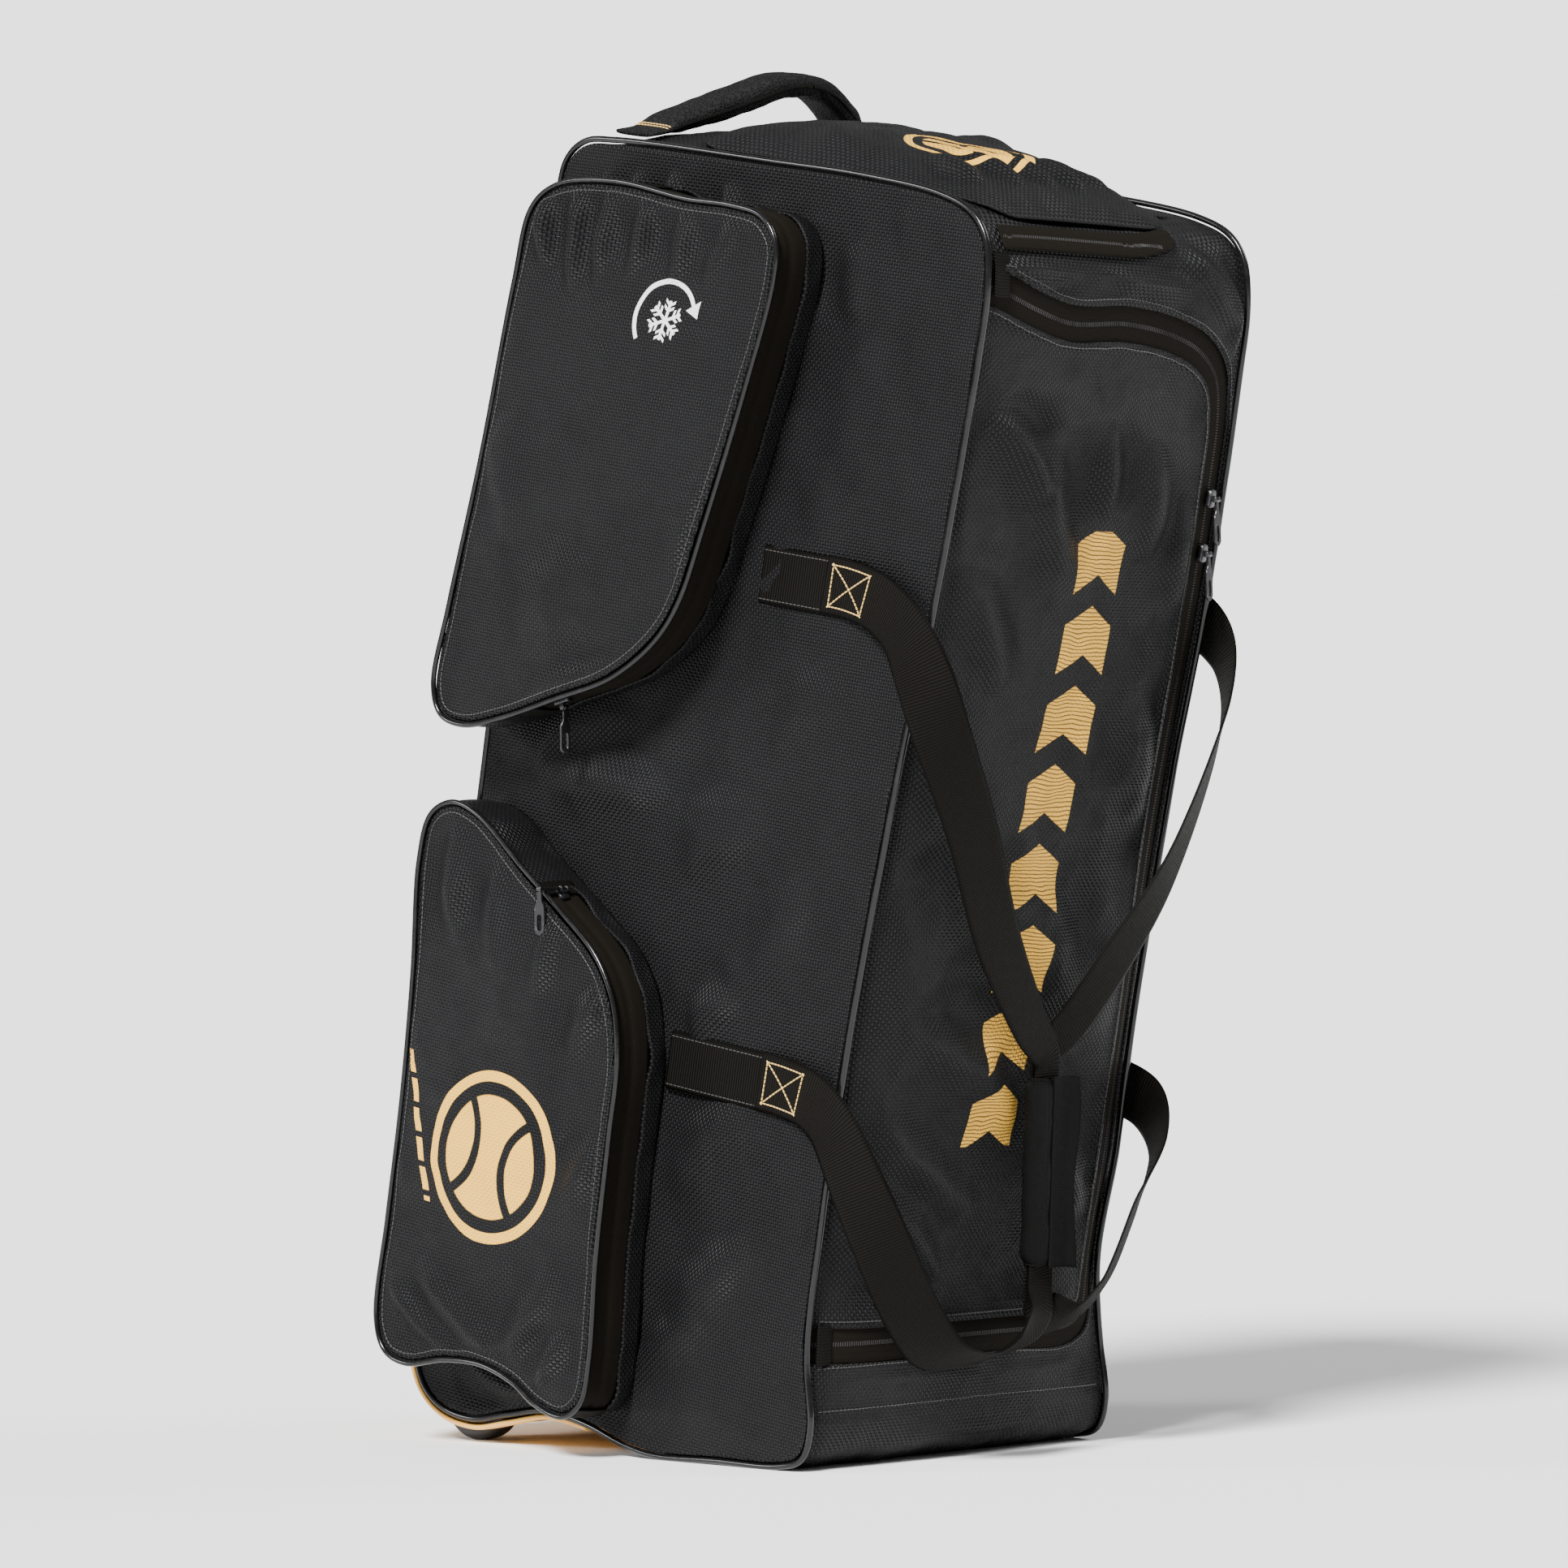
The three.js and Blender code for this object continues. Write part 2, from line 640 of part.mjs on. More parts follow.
const COOL_OUTLINE = [
  { across: 0.793, up: 0.979 },
  { across: 0.59, up: 1 },
  { across: 0.326, up: 0.987 },
  { across: 0.169, up: 0.987 },
  { across: 0.065, up: 0.976 },
  { across: 0.012, up: 0.94 },
  { across: 0, up: 0.876 },
  { across: 0.046, up: 0.679 },
  { across: 0.123, up: 0.426 },
  { across: 0.172, up: 0.292 },
  { across: 0.234, up: 0.218 },
  { across: 0.368, up: 0.139 },
  { across: 0.556, up: 0.082 },
  { across: 0.751, up: 0.026 },
  { across: 0.885, up: 0 },
  { across: 0.965, up: 0.01 },
  { across: 1, up: 0.057 },
  { across: 0.981, up: 0.197 },
  { across: 0.931, up: 0.484 },
  { across: 0.893, up: 0.8 },
  { across: 0.866, up: 0.935 },
];

const LOWER_OUTLINE = [
  { across: 0.898, up: 1 },
  { across: 0.781, up: 0.99 },
  { across: 0.54, up: 0.913 },
  { across: 0.381, up: 0.864 },
  { across: 0.2, up: 0.803 },
  { across: 0.126, up: 0.76 },
  { across: 0.074, up: 0.708 },
  { across: 0.037, up: 0.621 },
  { across: 0.033, up: 0.496 },
  { across: 0.023, up: 0.276 },
  { across: 0, up: 0.115 },
  { across: 0.012, up: 0.035 },
  { across: 0.074, up: 0.003 },
  { across: 0.191, up: 0.01 },
  { across: 0.298, up: 0.036 },
  { across: 0.451, up: 0.051 },
  { across: 0.62, up: 0.04 },
  { across: 0.79, up: 0.014 },
  { across: 0.88, up: 0.026 },
  { across: 0.93, up: 0.075 },
  { across: 0.935, up: 0.253 },
  { across: 0.94, up: 0.473 },
  { across: 0.963, up: 0.691 },
  { across: 1, up: 0.89 },
  { across: 0.977, up: 0.972 },
];

function pocketCurve(rows, frame) {
  const points = rows.map(({ across, up }) => {
    return new THREE.Vector3(0, frame.front + across * frame.width, frame.low + up * frame.height);
  });
  return new THREE.CatmullRomCurve3(points, true, 'centripetal');
}

// Places round a pocket between two shares of its outline, each with its outward direction
function pocketStations(curve, from, to, count) {
  return Array.from({ length: count + 1 }, (_, i) => {
    const share = (lerp(from, to, i / count) + 1) % 1;
    const tangent = curve.getTangent(share);
    return { place: curve.getPoint(share), normal: new THREE.Vector3(0, tangent.z, -tangent.y) };
  });
}

const SIDE_FACE = GAP + WALL;

// The gusset leans in to the side panel where the pocket reaches past it
function gussetPoint({ place, normal }, inset, out) {
  const at = place.clone().addScaledVector(normal, -inset);
  const foot = Math.min(at.y, POCKET_BACK_LIMIT - inset);
  const y = lerp(foot, at.y, clamp(out / POCKET_DEPTH, 0, 1));
  return sidePoint(LEFT, y, at.z, SIDE_FACE + out);
}

function gussetLoft(stations, insets, outs, isLoop = true) {
  const rings = stations.map((at) => [
    gussetPoint(at, insets[0], outs[0]),
    gussetPoint(at, insets[0], outs[1]),
    gussetPoint(at, insets[1], outs[1]),
    gussetPoint(at, insets[1], outs[0]),
  ]);
  return loft(rings, isLoop);
}

function pocketFront(stations, frame) {
  const across = 6;
  const up = 8;
  const rows = (out) => Array.from({ length: up + 1 }, (_, i) => {
    const v = lerp(-0.03, 1.03, i / up);
    return Array.from({ length: across + 1 }, (__, k) => {
      const u = lerp(-0.04, 1.04, k / across);
      const rise = POCKET_CROWN * Math.sin(Math.PI * clamp(u, 0, 1)) * Math.sin(Math.PI * clamp(v, 0, 1));
      const y = frame.front + u * frame.width;
      return sidePoint(LEFT, y, frame.low + v * frame.height, SIDE_FACE + out + rise);
    });
  });
  const slab = toSolid(sheet(rows(POCKET_DEPTH + WALL), rows(POCKET_DEPTH)));
  return slab.intersect(sidePrism(stations.map(({ place }) => place), -FOOT_WIDTH, 0));
}

// The gap at each end of a pocket's zip, as a share of the pocket's outline
const ZIP_END_GAP = 0.0006;

function addPocket(name, rows, frame, zip) {
  const curve = pocketCurve(rows, frame);
  const count = Math.round(rows.length * 1.7);
  const stations = pocketStations(curve, 0, 1, count).slice(0, -1);
  addMesh(`${name}_front`, toGeometry(pocketFront(stations, frame)), 'nylon');
  const wall = toSolid(gussetLoft(stations, [0, WALL], [GAP, POCKET_DEPTH - GAP]));
  const zipCount = Math.round((zip.to - zip.from) * count);
  const run = pocketStations(curve, zip.from, zip.to, zipCount);
  const cut = gussetLoft(run, [-WALL, 2 * WALL], [POCKET_STRIP, POCKET_DEPTH + WALL], false);
  addMesh(`${name}_gusset`, toGeometry(wall.subtract(toSolid(cut))), 'nylon');
  const tapeRun = pocketStations(curve, zip.from + ZIP_END_GAP, zip.to - ZIP_END_GAP, zipCount);
  const tape = gussetLoft(tapeRun, [0, WALL], [POCKET_STRIP + GAP, POCKET_DEPTH - GAP], false);
  addMesh(`${name}_zip`, tape, 'zip');
  const lateral = new THREE.Vector3(LEFT, 0, 0);
  const places = stations.map((at) => {
    const centre = gussetPoint(at, -POCKET_PIPING - 2 * GAP, POCKET_DEPTH + WALL / 2);
    return { centre, normal: at.normal, lateral };
  });
  addMesh(`${name}_piping`, roundLoop(places, POCKET_PIPING, PIPING_SIDES, true), 'piping');
  return curve;
}

const coolFrame = { front: COOL_FRONT, width: COOL_WIDTH, low: COOL_LOW, height: COOL_HEIGHT };
const lowerFrame = { front: LOWER_FRONT, width: LOWER_WIDTH, low: LOWER_LOW, height: LOWER_HEIGHT };
const coolCurve = addPocket('cool_pocket', COOL_OUTLINE, coolFrame, { from: 0.06, to: 0.6 });
const lowerCurve = addPocket('lower_pocket', LOWER_OUTLINE, lowerFrame, { from: 0.1, to: 0.47 });

// Webbing bands sewn flat on the sides, and the carry straps that come off them

function flatBand(side, from, to, z, out, width, thick) {
  const count = 4;
  const rows = (level) => [z - width / 2, z + width / 2].map((height) => {
    return Array.from({ length: count + 1 }, (_, k) => {
      return sidePoint(side, lerp(from, to, k / count), height, level);
    });
  });
  return sheet(rows(out + thick), rows(out));
}

const BAND_OUT = WALL + 2 * GAP;
// Where each band ends at the back, as a share of DEPTH: on the left its pocket covers that end
const RIGHT_BAND_BACK = 0.309;
const BANDS = [
  { name: 'upper', height: UPPER_BAND_HEIGHT, back: -0.108 },
  { name: 'lower', height: LOWER_BAND_HEIGHT, back: -0.041 },
];
for (const { side, name } of SIDES) {
  for (const band of BANDS) {
    const back = (side === LEFT ? band.back : RIGHT_BAND_BACK) * DEPTH;
    const geometry = flatBand(side, BAND_FRONT, back, band.height, BAND_OUT, WEB_WIDTH, WEB_THICK);
    addMesh(`web_band_${band.name}_${name}`, geometry, 'webbing');
  }
}

// Each strap row: across, depth and height as shares of half the foot's width, DEPTH and HEIGHT, the
// way its face looks, and narrow as a share of its width.
// A row with on lies over the band on the side panel, lifted by that much, and takes its place across there.
// A row with grip lies at that share of the grip's length, behind or over the other strap.
const FACE_SIDE = 90;
const SIDE_TILT = -THREE.MathUtils.radToDeg(Math.atan((FOOT_WIDTH - HEAD_WIDTH) / 2 / HEIGHT));
const STRAP_OUT = BAND_OUT + WEB_THICK + GAP + WEB_THICK / 2;
const STRAP_ROWS = {
  left: [
    { on: 0, depth: -0.2577, height: 0.6948, face: FACE_SIDE, tilt: SIDE_TILT },
    { on: 0, depth: -0.3144, height: 0.6937, face: FACE_SIDE, tilt: SIDE_TILT },
    { on: 3, depth: -0.3866, height: 0.6881, face: FACE_SIDE, tilt: SIDE_TILT },
    { across: 1.0032, depth: -0.4639, height: 0.6712, face: 84, tilt: 0 },
    { across: 1.0096, depth: -0.518, height: 0.6441, face: 62, tilt: 0 },
    { across: 0.9389, depth: -0.549, height: 0.6036, face: 36, tilt: 0 },
    { across: 0.6817, depth: -0.5567, height: 0.5304, face: 18, tilt: 0 },
    { across: 0.3987, depth: -0.549, height: 0.4459, face: 8, tilt: 0 },
    { across: 0.0643, depth: -0.5361, height: 0.3761, face: 0, tilt: 0, narrow: 0.85 },
    { grip: -0.06, over: -1, face: 0, tilt: 0 },
    { grip: 0.06, over: -1, face: 0, tilt: 0 },
    { grip: 0.94, over: -1, face: 0, tilt: 0 },
    { grip: 1.06, over: -1, face: 0, tilt: 0 },
    { across: -0.2186, depth: -0.5438, height: 0.1475, face: 0, tilt: 8, narrow: 0.8 },
    { across: -0.0257, depth: -0.549, height: 0.1273, face: 3, tilt: 52, narrow: 0.9 },
    { across: 0.2315, depth: -0.5619, height: 0.1194, face: 12, tilt: 64 },
    { across: 0.4887, depth: -0.567, height: 0.1261, face: 22, tilt: 48 },
    { across: 0.7203, depth: -0.5644, height: 0.1622, face: 30, tilt: 15 },
    { across: 0.9196, depth: -0.549, height: 0.214, face: 48, tilt: 0 },
    { across: 1.0354, depth: -0.5103, height: 0.2613, face: 70, tilt: 0 },
    { across: 1.0547, depth: -0.4536, height: 0.295, face: 84, tilt: 0 },
    { on: 3, depth: -0.3866, height: 0.3097, face: FACE_SIDE, tilt: SIDE_TILT },
    { on: 0, depth: -0.3144, height: 0.3142, face: FACE_SIDE, tilt: SIDE_TILT },
    { on: 0, depth: -0.2577, height: 0.3153, face: FACE_SIDE, tilt: SIDE_TILT },
  ],
  right: [
    { on: 0, depth: -0.2577, height: 0.6937, face: FACE_SIDE, tilt: SIDE_TILT },
    { on: 0, depth: -0.3144, height: 0.6937, face: FACE_SIDE, tilt: SIDE_TILT },
    { on: 3, depth: -0.3866, height: 0.6914, face: FACE_SIDE, tilt: SIDE_TILT },
    { across: 0.9968, depth: -0.4639, height: 0.6847, face: 84, tilt: 0 },
    { across: 1.0032, depth: -0.5206, height: 0.6644, face: 66, tilt: 0 },
    { across: 0.9775, depth: -0.5515, height: 0.6306, face: 48, tilt: 0 },
    { across: 0.9003, depth: -0.5644, height: 0.5901, face: 36, tilt: 0 },
    { across: 0.6817, depth: -0.5619, height: 0.4932, face: 22, tilt: 0 },
    { across: 0.4502, depth: -0.5438, height: 0.4257, face: 8, tilt: 0 },
    { across: 0.2701, depth: -0.5232, height: 0.3761, face: 0, tilt: 0, narrow: 0.85 },
    { grip: -0.06, over: 1, face: 0, tilt: 0 },
    { grip: 0.06, over: 1, face: 0, tilt: 0 },
    { grip: 0.94, over: 1, face: 0, tilt: 0 },
    { grip: 1.06, over: 1, face: 0, tilt: 0 },
    { across: 0.3215, depth: -0.5129, height: 0.1475, face: 0, tilt: 8, narrow: 0.8 },
    { across: 0.4887, depth: -0.5284, height: 0.1441, face: 8, tilt: 48, narrow: 0.9 },
    { across: 0.6174, depth: -0.549, height: 0.1689, face: 16, tilt: 45 },
    { across: 0.7717, depth: -0.5515, height: 0.2275, face: 30, tilt: 12 },
    { across: 0.9582, depth: -0.5284, height: 0.277, face: 60, tilt: 0 },
    { across: 1.0418, depth: -0.4639, height: 0.3018, face: 84, tilt: 0 },
    { on: 3, depth: -0.3866, height: 0.3119, face: FACE_SIDE, tilt: SIDE_TILT },
    { on: 0, depth: -0.3144, height: 0.3142, face: FACE_SIDE, tilt: SIDE_TILT },
    { on: 0, depth: -0.2577, height: 0.3153, face: FACE_SIDE, tilt: SIDE_TILT },
  ],
};
const GRIP_TOP_X = 0.129 * (FOOT_WIDTH / 2);
const GRIP_FOOT_X = 0.257 * (FOOT_WIDTH / 2);
const GRIP_PLAY = 4;

function gripPoint(share, standoff) {
  const z = GRIP_TOP - GRIP_LENGTH * share;
  return new THREE.Vector3(lerp(GRIP_TOP_X, GRIP_FOOT_X, share), -standoff, z);
}

function strapRow(side, row) {
  const turn = THREE.MathUtils.degToRad(row.face);
  const tilt = THREE.MathUtils.degToRad(row.tilt);
  const look = new THREE.Vector3(side * Math.sin(turn), -Math.cos(turn), 0);
  look.multiplyScalar(Math.cos(tilt)).add(new THREE.Vector3(0, 0, -Math.sin(tilt)));
  const y = row.depth * DEPTH;
  const z = row.height * HEIGHT;
  const width = WEB_WIDTH * (row.narrow ?? 1);
  if (row.on !== undefined) return { centre: sidePoint(side, y, z, STRAP_OUT + row.on), look, width };
  if (row.grip !== undefined) {
    const standoff = GRIP_STANDOFF - row.over * (WEB_THICK / 2 + 3 * GAP);
    return { centre: gripPoint(row.grip, standoff), look, width: GRIP_WIDTH - 2 * GRIP_WALL - GRIP_PLAY };
  }
  return { centre: new THREE.Vector3((side * row.across * FOOT_WIDTH) / 2, y, z), look, width };
}

function strap(side, rows) {
  const list = rows.map((row) => strapRow(side, row));
  const curve = new THREE.CatmullRomCurve3(list.map(({ centre }) => centre), false, 'centripetal');
  const spans = list.length - 1;
  const faceRows = [];
  const backRows = [];
  for (let i = 0; i <= spans * 2; i += 1) {
    const here = Math.min(Math.floor(i / 2), spans - 1);
    const share = i / 2 - here;
    const look = list[here].look.clone().lerp(list[here + 1].look, share);
    const tangent = curve.getTangent(i / (spans * 2));
    const across = new THREE.Vector3().crossVectors(tangent, look).normalize();
    look.crossVectors(across, tangent).normalize();
    const width = lerp(list[here].width, list[here + 1].width, share) / 2;
    const centre = curve.getPoint(i / (spans * 2));
    const corner = (a, b) => centre.clone()
      .addScaledVector(across, a * width)
      .addScaledVector(look, (b * WEB_THICK) / 2);
    faceRows.push([corner(1, 1), corner(-1, 1)]);
    backRows.push([corner(1, -1), corner(-1, -1)]);
  }
  return sheet(faceRows, backRows);
}

addMesh('carry_strap_left', strap(LEFT, STRAP_ROWS.left), 'webbing');
addMesh('carry_strap_right', strap(RIGHT, STRAP_ROWS.right), 'webbing');

// The grip wraps round both straps
function gripRing(share, grow) {
  const centre = gripPoint(share, GRIP_STANDOFF);
  const half = GRIP_WIDTH / 2 + grow;
  const thick = GRIP_THICK / 2 + grow;
  const round = thick * 0.6;
  const ring = [
    [half, -thick + round], [half, thick - round], [half - round, thick], [-half + round, thick],
    [-half, thick - round], [-half, -thick + round], [-half + round, -thick], [half - round, -thick],
  ];
  return ring.map(([x, y]) => centre.clone().add(new THREE.Vector3(x, y, 0)));
}

const gripOuter = toSolid(loft([gripRing(0.05, 0), gripRing(0.95, 0)]));
const gripInner = toSolid(loft([gripRing(-0.1, -GRIP_WALL), gripRing(1.1, -GRIP_WALL)]));
addMesh('grip_wrap', toGeometry(gripOuter.subtract(gripInner)), 'padding');

// The padded handle on the head: across and rise are shares of HANDLE_REACH and HANDLE_RISE
const HANDLE_ROWS = [
  { across: -1, rise: 0, thick: 0.35 },
  { across: -0.86, rise: 0.02, thick: 0.35 },
  { across: -0.74, rise: 0.14, thick: 0.8 },
  { across: -0.42, rise: 0.42, thick: 1 },
  { across: -0.08, rise: 0.73, thick: 1 },
  { across: 0.16, rise: 0.95, thick: 1 },
  { across: 0.38, rise: 1, thick: 1 },
  { across: 0.56, rise: 0.9, thick: 1 },
  { across: 0.76, rise: 0.56, thick: 1 },
  { across: 0.9, rise: 0.14, thick: 0.7 },
  { across: 0.96, rise: 0.02, thick: 0.35 },
  { across: 1.06, rise: 0, thick: 0.35 },
];

function handleGeometry() {
  const foot = headPoint(HANDLE_REACH, HANDLE_DEPTH, 0).z;
  const places = HANDLE_ROWS.map(({ across, rise, thick }) => {
    const x = across * HANDLE_REACH;
    const half = (HANDLE_THICK * thick) / 2;
    const ends = [-1, 1].map((end) => headPoint(x, HANDLE_DEPTH + (end * HANDLE_WIDTH) / 2, 0).z);
    const surface = Math.max(headPoint(x, HANDLE_DEPTH, 0).z, ...ends) + half + GAP * 2;
    const lifted = foot + half + rise * HANDLE_RISE;
    return { x, z: rise < 0.05 ? surface : Math.max(surface, lifted), half };
  });
  const rings = places.map(({ x, z, half }, i) => {
    const before = places[Math.max(i - 1, 0)];
    const after = places[Math.min(i + 1, places.length - 1)];
    const slope = new THREE.Vector3(after.x - before.x, 0, after.z - before.z).normalize();
    const up = new THREE.Vector3(-slope.z, 0, slope.x);
    const wide = HANDLE_WIDTH / 2;
    const ring = [
      [wide, -half * 0.4], [wide, half * 0.4], [wide * 0.7, half], [-wide * 0.7, half],
      [-wide, half * 0.4], [-wide, -half * 0.4], [-wide * 0.7, -half], [wide * 0.7, -half],
    ];
    return ring.map(([y, level]) => {
      return new THREE.Vector3(x, HANDLE_DEPTH + y, z).addScaledVector(up, level);
    });
  });
  return loft(rings);
}
addMesh('top_handle', handleGeometry(), 'padding');

// The end pocket: a domed panel on the head, with its zip along the front edge
function roundedPlan(left, right, front, back, radius) {
  const corners = [
    [right - radius, back - radius, 0], [left + radius, back - radius, 90],
    [left + radius, front + radius, 180], [right - radius, front + radius, 270],
  ];
  return corners.flatMap(([x, y, start]) => [0, 30, 60, 90].map((turn) => {
    const angle = THREE.MathUtils.degToRad(start + turn);
    return new THREE.Vector3(x + radius * Math.cos(angle), y + radius * Math.sin(angle), 0);
  }));
}

function domeRise(x, y) {
  const u = clamp((x - END_POCKET_LEFT) / (END_POCKET_RIGHT - END_POCKET_LEFT), 0, 1);
  const v = clamp((y - END_POCKET_FRONT) / (END_POCKET_BACK - END_POCKET_FRONT), 0, 1);
  return END_POCKET_RISE * (1 - Math.abs(2 * u - 1) ** 2.5) * (1 - Math.abs(2 * v - 1) ** 2.5);
}

function endPocket() {
  const stations = stationRange(11, headRow(END_POCKET_BACK + 40));
  const rows = (out) => stations.map((at) => ACROSS.map((share) => {
    const x = share * seamWidth(Math.sign(share), at.place);
    return wrapPoint(at, x, out + domeRise(x, at.place.y));
  }));
  const slab = toSolid(sheet(rows(GAP + WALL), rows(GAP)));
  const plan = roundedPlan(END_POCKET_LEFT, END_POCKET_RIGHT, END_POCKET_FRONT, END_POCKET_BACK, 30);
  return slab.intersect(topPrism(plan, HEIGHT / 2, 2 * HEIGHT));
}
addMesh('end_pocket', toGeometry(endPocket()), 'nylon');

function endPocketZip() {
  const slab = toSolid(wrapSheet(9.2, 12.5, GAP + WALL));
  const top = station(11).place.z + 6;
  const band = [
    new THREE.Vector3(END_POCKET_LEFT, 0, top - END_ZIP_HEIGHT),
    new THREE.Vector3(END_POCKET_RIGHT - 8, 0, top - END_ZIP_HEIGHT),
    new THREE.Vector3(END_POCKET_RIGHT, 0, top),
    new THREE.Vector3(END_POCKET_LEFT, 0, top),
  ];
  const behind = roundedPlan(-HEAD_WIDTH, HEAD_WIDTH, END_POCKET_FRONT - GAP, DEPTH, 1);
  return slab.intersect(frontPrism(band, -DEPTH, 0)).subtract(topPrism(behind, 0, 2 * HEIGHT));
}
addMesh('end_pocket_zip', toGeometry(endPocketZip()), 'zip');

// Zip sliders and their pullers. A slider's frame has its place on the zip, the normal away from
// the zip, the way along it and, for its pin, the way across.
const PIN_HEIGHT = GAP + SLIDER_THICK + BARREL_RADIUS + 2 * GAP;
const BARREL_LENGTH = 4;
const LUG_LENGTH = 4;
const LUG_CAP = 1;

function frameMatrix(across, along, normal, place) {
  return new THREE.Matrix4().makeBasis(across, along, normal).setPosition(place);
}

function rodAcross(radius, length, sides) {
  return toSolid(new THREE.CylinderGeometry(radius, radius, length, sides).rotateZ(Math.PI / 2));
}

function sliderGeometry({ place, normal, along, across }) {
  const middle = GAP + SLIDER_THICK / 2;
  const body = toSolid(box(SLIDER_WIDTH, SLIDER_LENGTH, SLIDER_THICK, new THREE.Vector3(0, 0, middle)));
  const lugHeight = PIN_HEIGHT + PIN_RADIUS + LUG_CAP - middle;
  const lugAway = BARREL_LENGTH / 2 + PIN_CLEARANCE + LUG_THICK / 2;
  let solid = body.add(rodAcross(PIN_RADIUS, 2 * lugAway, 8).translate(0, 0, PIN_HEIGHT));
  for (const away of [-lugAway, lugAway]) {
    const lug = box(LUG_THICK, LUG_LENGTH, lugHeight, new THREE.Vector3(away, 0, middle + lugHeight / 2));
    solid = solid.add(toSolid(lug));
  }
  return toGeometry(solid).applyMatrix4(frameMatrix(across, along, normal, place));
}

// The puller's outline, half of its width against its length from the pin
const PULLER_OUTLINE = [
  { half: 0.22, down: 0 },
  { half: 0.22, down: 0.25 },
  { half: 0.5, down: 0.38 },
  { half: 0.5, down: 0.91 },
  { half: 0.17, down: 1 },
];
const PULLER_SLOT = { width: 0.42, length: 0.22, down: 0.78 };

function pullerGeometry() {
  const right = PULLER_OUTLINE.map(({ half, down }) => [half * PULLER_WIDTH, -down * PULLER_LENGTH]);
  const left = right.map(([x, y]) => [-x, y]).reverse();
  const outline = [...right, ...left].map(([x, y]) => new THREE.Vector2(x, y));
  const plate = toSolid(extrude(outline, PULLER_THICK).translate(0, 0, -PULLER_THICK / 2));
  const slot = box(
    PULLER_SLOT.width * PULLER_WIDTH,
    PULLER_SLOT.length * PULLER_LENGTH,
    PULLER_THICK * 3,
    new THREE.Vector3(0, -PULLER_SLOT.down * PULLER_LENGTH, 0),
  );
  const bore = rodAcross(PIN_RADIUS + PIN_CLEARANCE, BARREL_LENGTH * 2, 8);
  const barrel = rodAcross(BARREL_RADIUS, BARREL_LENGTH, 8);
  return toGeometry(barrel.add(plate).subtract(bore).subtract(toSolid(slot)));
}

// A puller hangs straight down from its slider's pin
const DOWN = new THREE.Vector3(0, -Math.sin(LEAN), -Math.cos(LEAN));

function addPuller(name, { place, normal, across }) {
  const pin = place.clone().addScaledVector(normal, PIN_HEIGHT);
  const up = DOWN.clone().addScaledVector(across, -DOWN.dot(across)).normalize().negate();
  const face = new THREE.Vector3().crossVectors(across, up);
  const geometry = pullerGeometry().applyMatrix4(frameMatrix(across, up, face, pin));
  const puller = addMesh(name, geometry, 'hardware');
  puller.userData.hinge = { pin, across };
}

function addSlider(name, frame) {
  addMesh(`${name}_slider`, sliderGeometry(frame), 'hardware');
  addPuller(`${name}_puller`, frame);
}

// A slider whose puller lies still: a link crosses the zip and the plate lies down the pocket's front
function lyingSliderGeometry(frame) {
  const reach = POCKET_DEPTH + WALL / 2 + POCKET_PIPING + BARREL_RADIUS + POCKET_CROWN / 2 - ZIP_MIDDLE;
  const middle = new THREE.Vector3(-reach / 2, 0, PIN_HEIGHT);
  const link = box(reach, LUG_LENGTH, PULLER_THICK, middle);
  link.applyMatrix4(frameMatrix(frame.across, frame.along, frame.normal, frame.place));
  const end = frame.place.clone().addScaledVector(frame.normal, PIN_HEIGHT);
  end.addScaledVector(frame.across, -reach);
  const face = frame.across.clone().negate();
  const up = DOWN.clone().negate();
  const turn = frameMatrix(new THREE.Vector3().crossVectors(up, face), up, face, end);
  const plate = pullerGeometry().applyMatrix4(turn);
  return toGeometry(toSolid(sliderGeometry(frame)).add(toSolid(link)).add(toSolid(plate)));
}

function pocketZipFrame(curve, share, out) {
  const [at] = pocketStations(curve, share, share, 1);
  const along = new THREE.Vector3(0, at.normal.z, -at.normal.y);
  const across = new THREE.Vector3().crossVectors(along, at.normal);
  return { place: gussetPoint(at, 0, out), normal: at.normal, along, across };
}

const ZIP_MIDDLE = (POCKET_STRIP + POCKET_DEPTH) / 2;
const COOL_SLIDER_SHARE = 0.578;
const LOWER_SLIDER_SHARE = 0.106;
addSlider('cool_pocket', pocketZipFrame(coolCurve, COOL_SLIDER_SHARE, ZIP_MIDDLE));
const lowerZipFrame = pocketZipFrame(lowerCurve, LOWER_SLIDER_SHARE, ZIP_MIDDLE);
addMesh('lower_pocket_slider', lyingSliderGeometry(lowerZipFrame), 'hardware');

// The lid's two sliders meet on the far run of its zip, one puller's length apart
function frontRow(z) {
  let low = 4;
  let high = 11;
  for (let i = 0; i < 40; i += 1) {
    const middle = (low + high) / 2;
    if (station(middle).place.z < z) low = middle;
    else high = middle;
  }
  return (low + high) / 2;
}

const LID_SLIDER_HEIGHT = 0.7838 * HEIGHT;
const LID_SLIDER_SPACING = PULLER_LENGTH + 6;

function lidZipFrame(height) {
  const at = station(frontRow(height));
  const x = ZIP_SIDE_RUN * halfWidth(RIGHT, 0, height);
  const place = wrapPoint(at, x, GAP);
  const along = new THREE.Vector3(0, at.normal.z, -at.normal.y);
  const reach = SLIDER_WIDTH / 2;
  const across = wrapPoint(at, x + reach, 0).sub(wrapPoint(at, x - reach, 0)).normalize();
  const normal = new THREE.Vector3().crossVectors(across, along).normalize();
  return { place, normal, along, across };
}

addSlider('lid_upper', lidZipFrame(LID_SLIDER_HEIGHT));
addSlider('lid_lower', lidZipFrame(LID_SLIDER_HEIGHT - LID_SLIDER_SPACING));

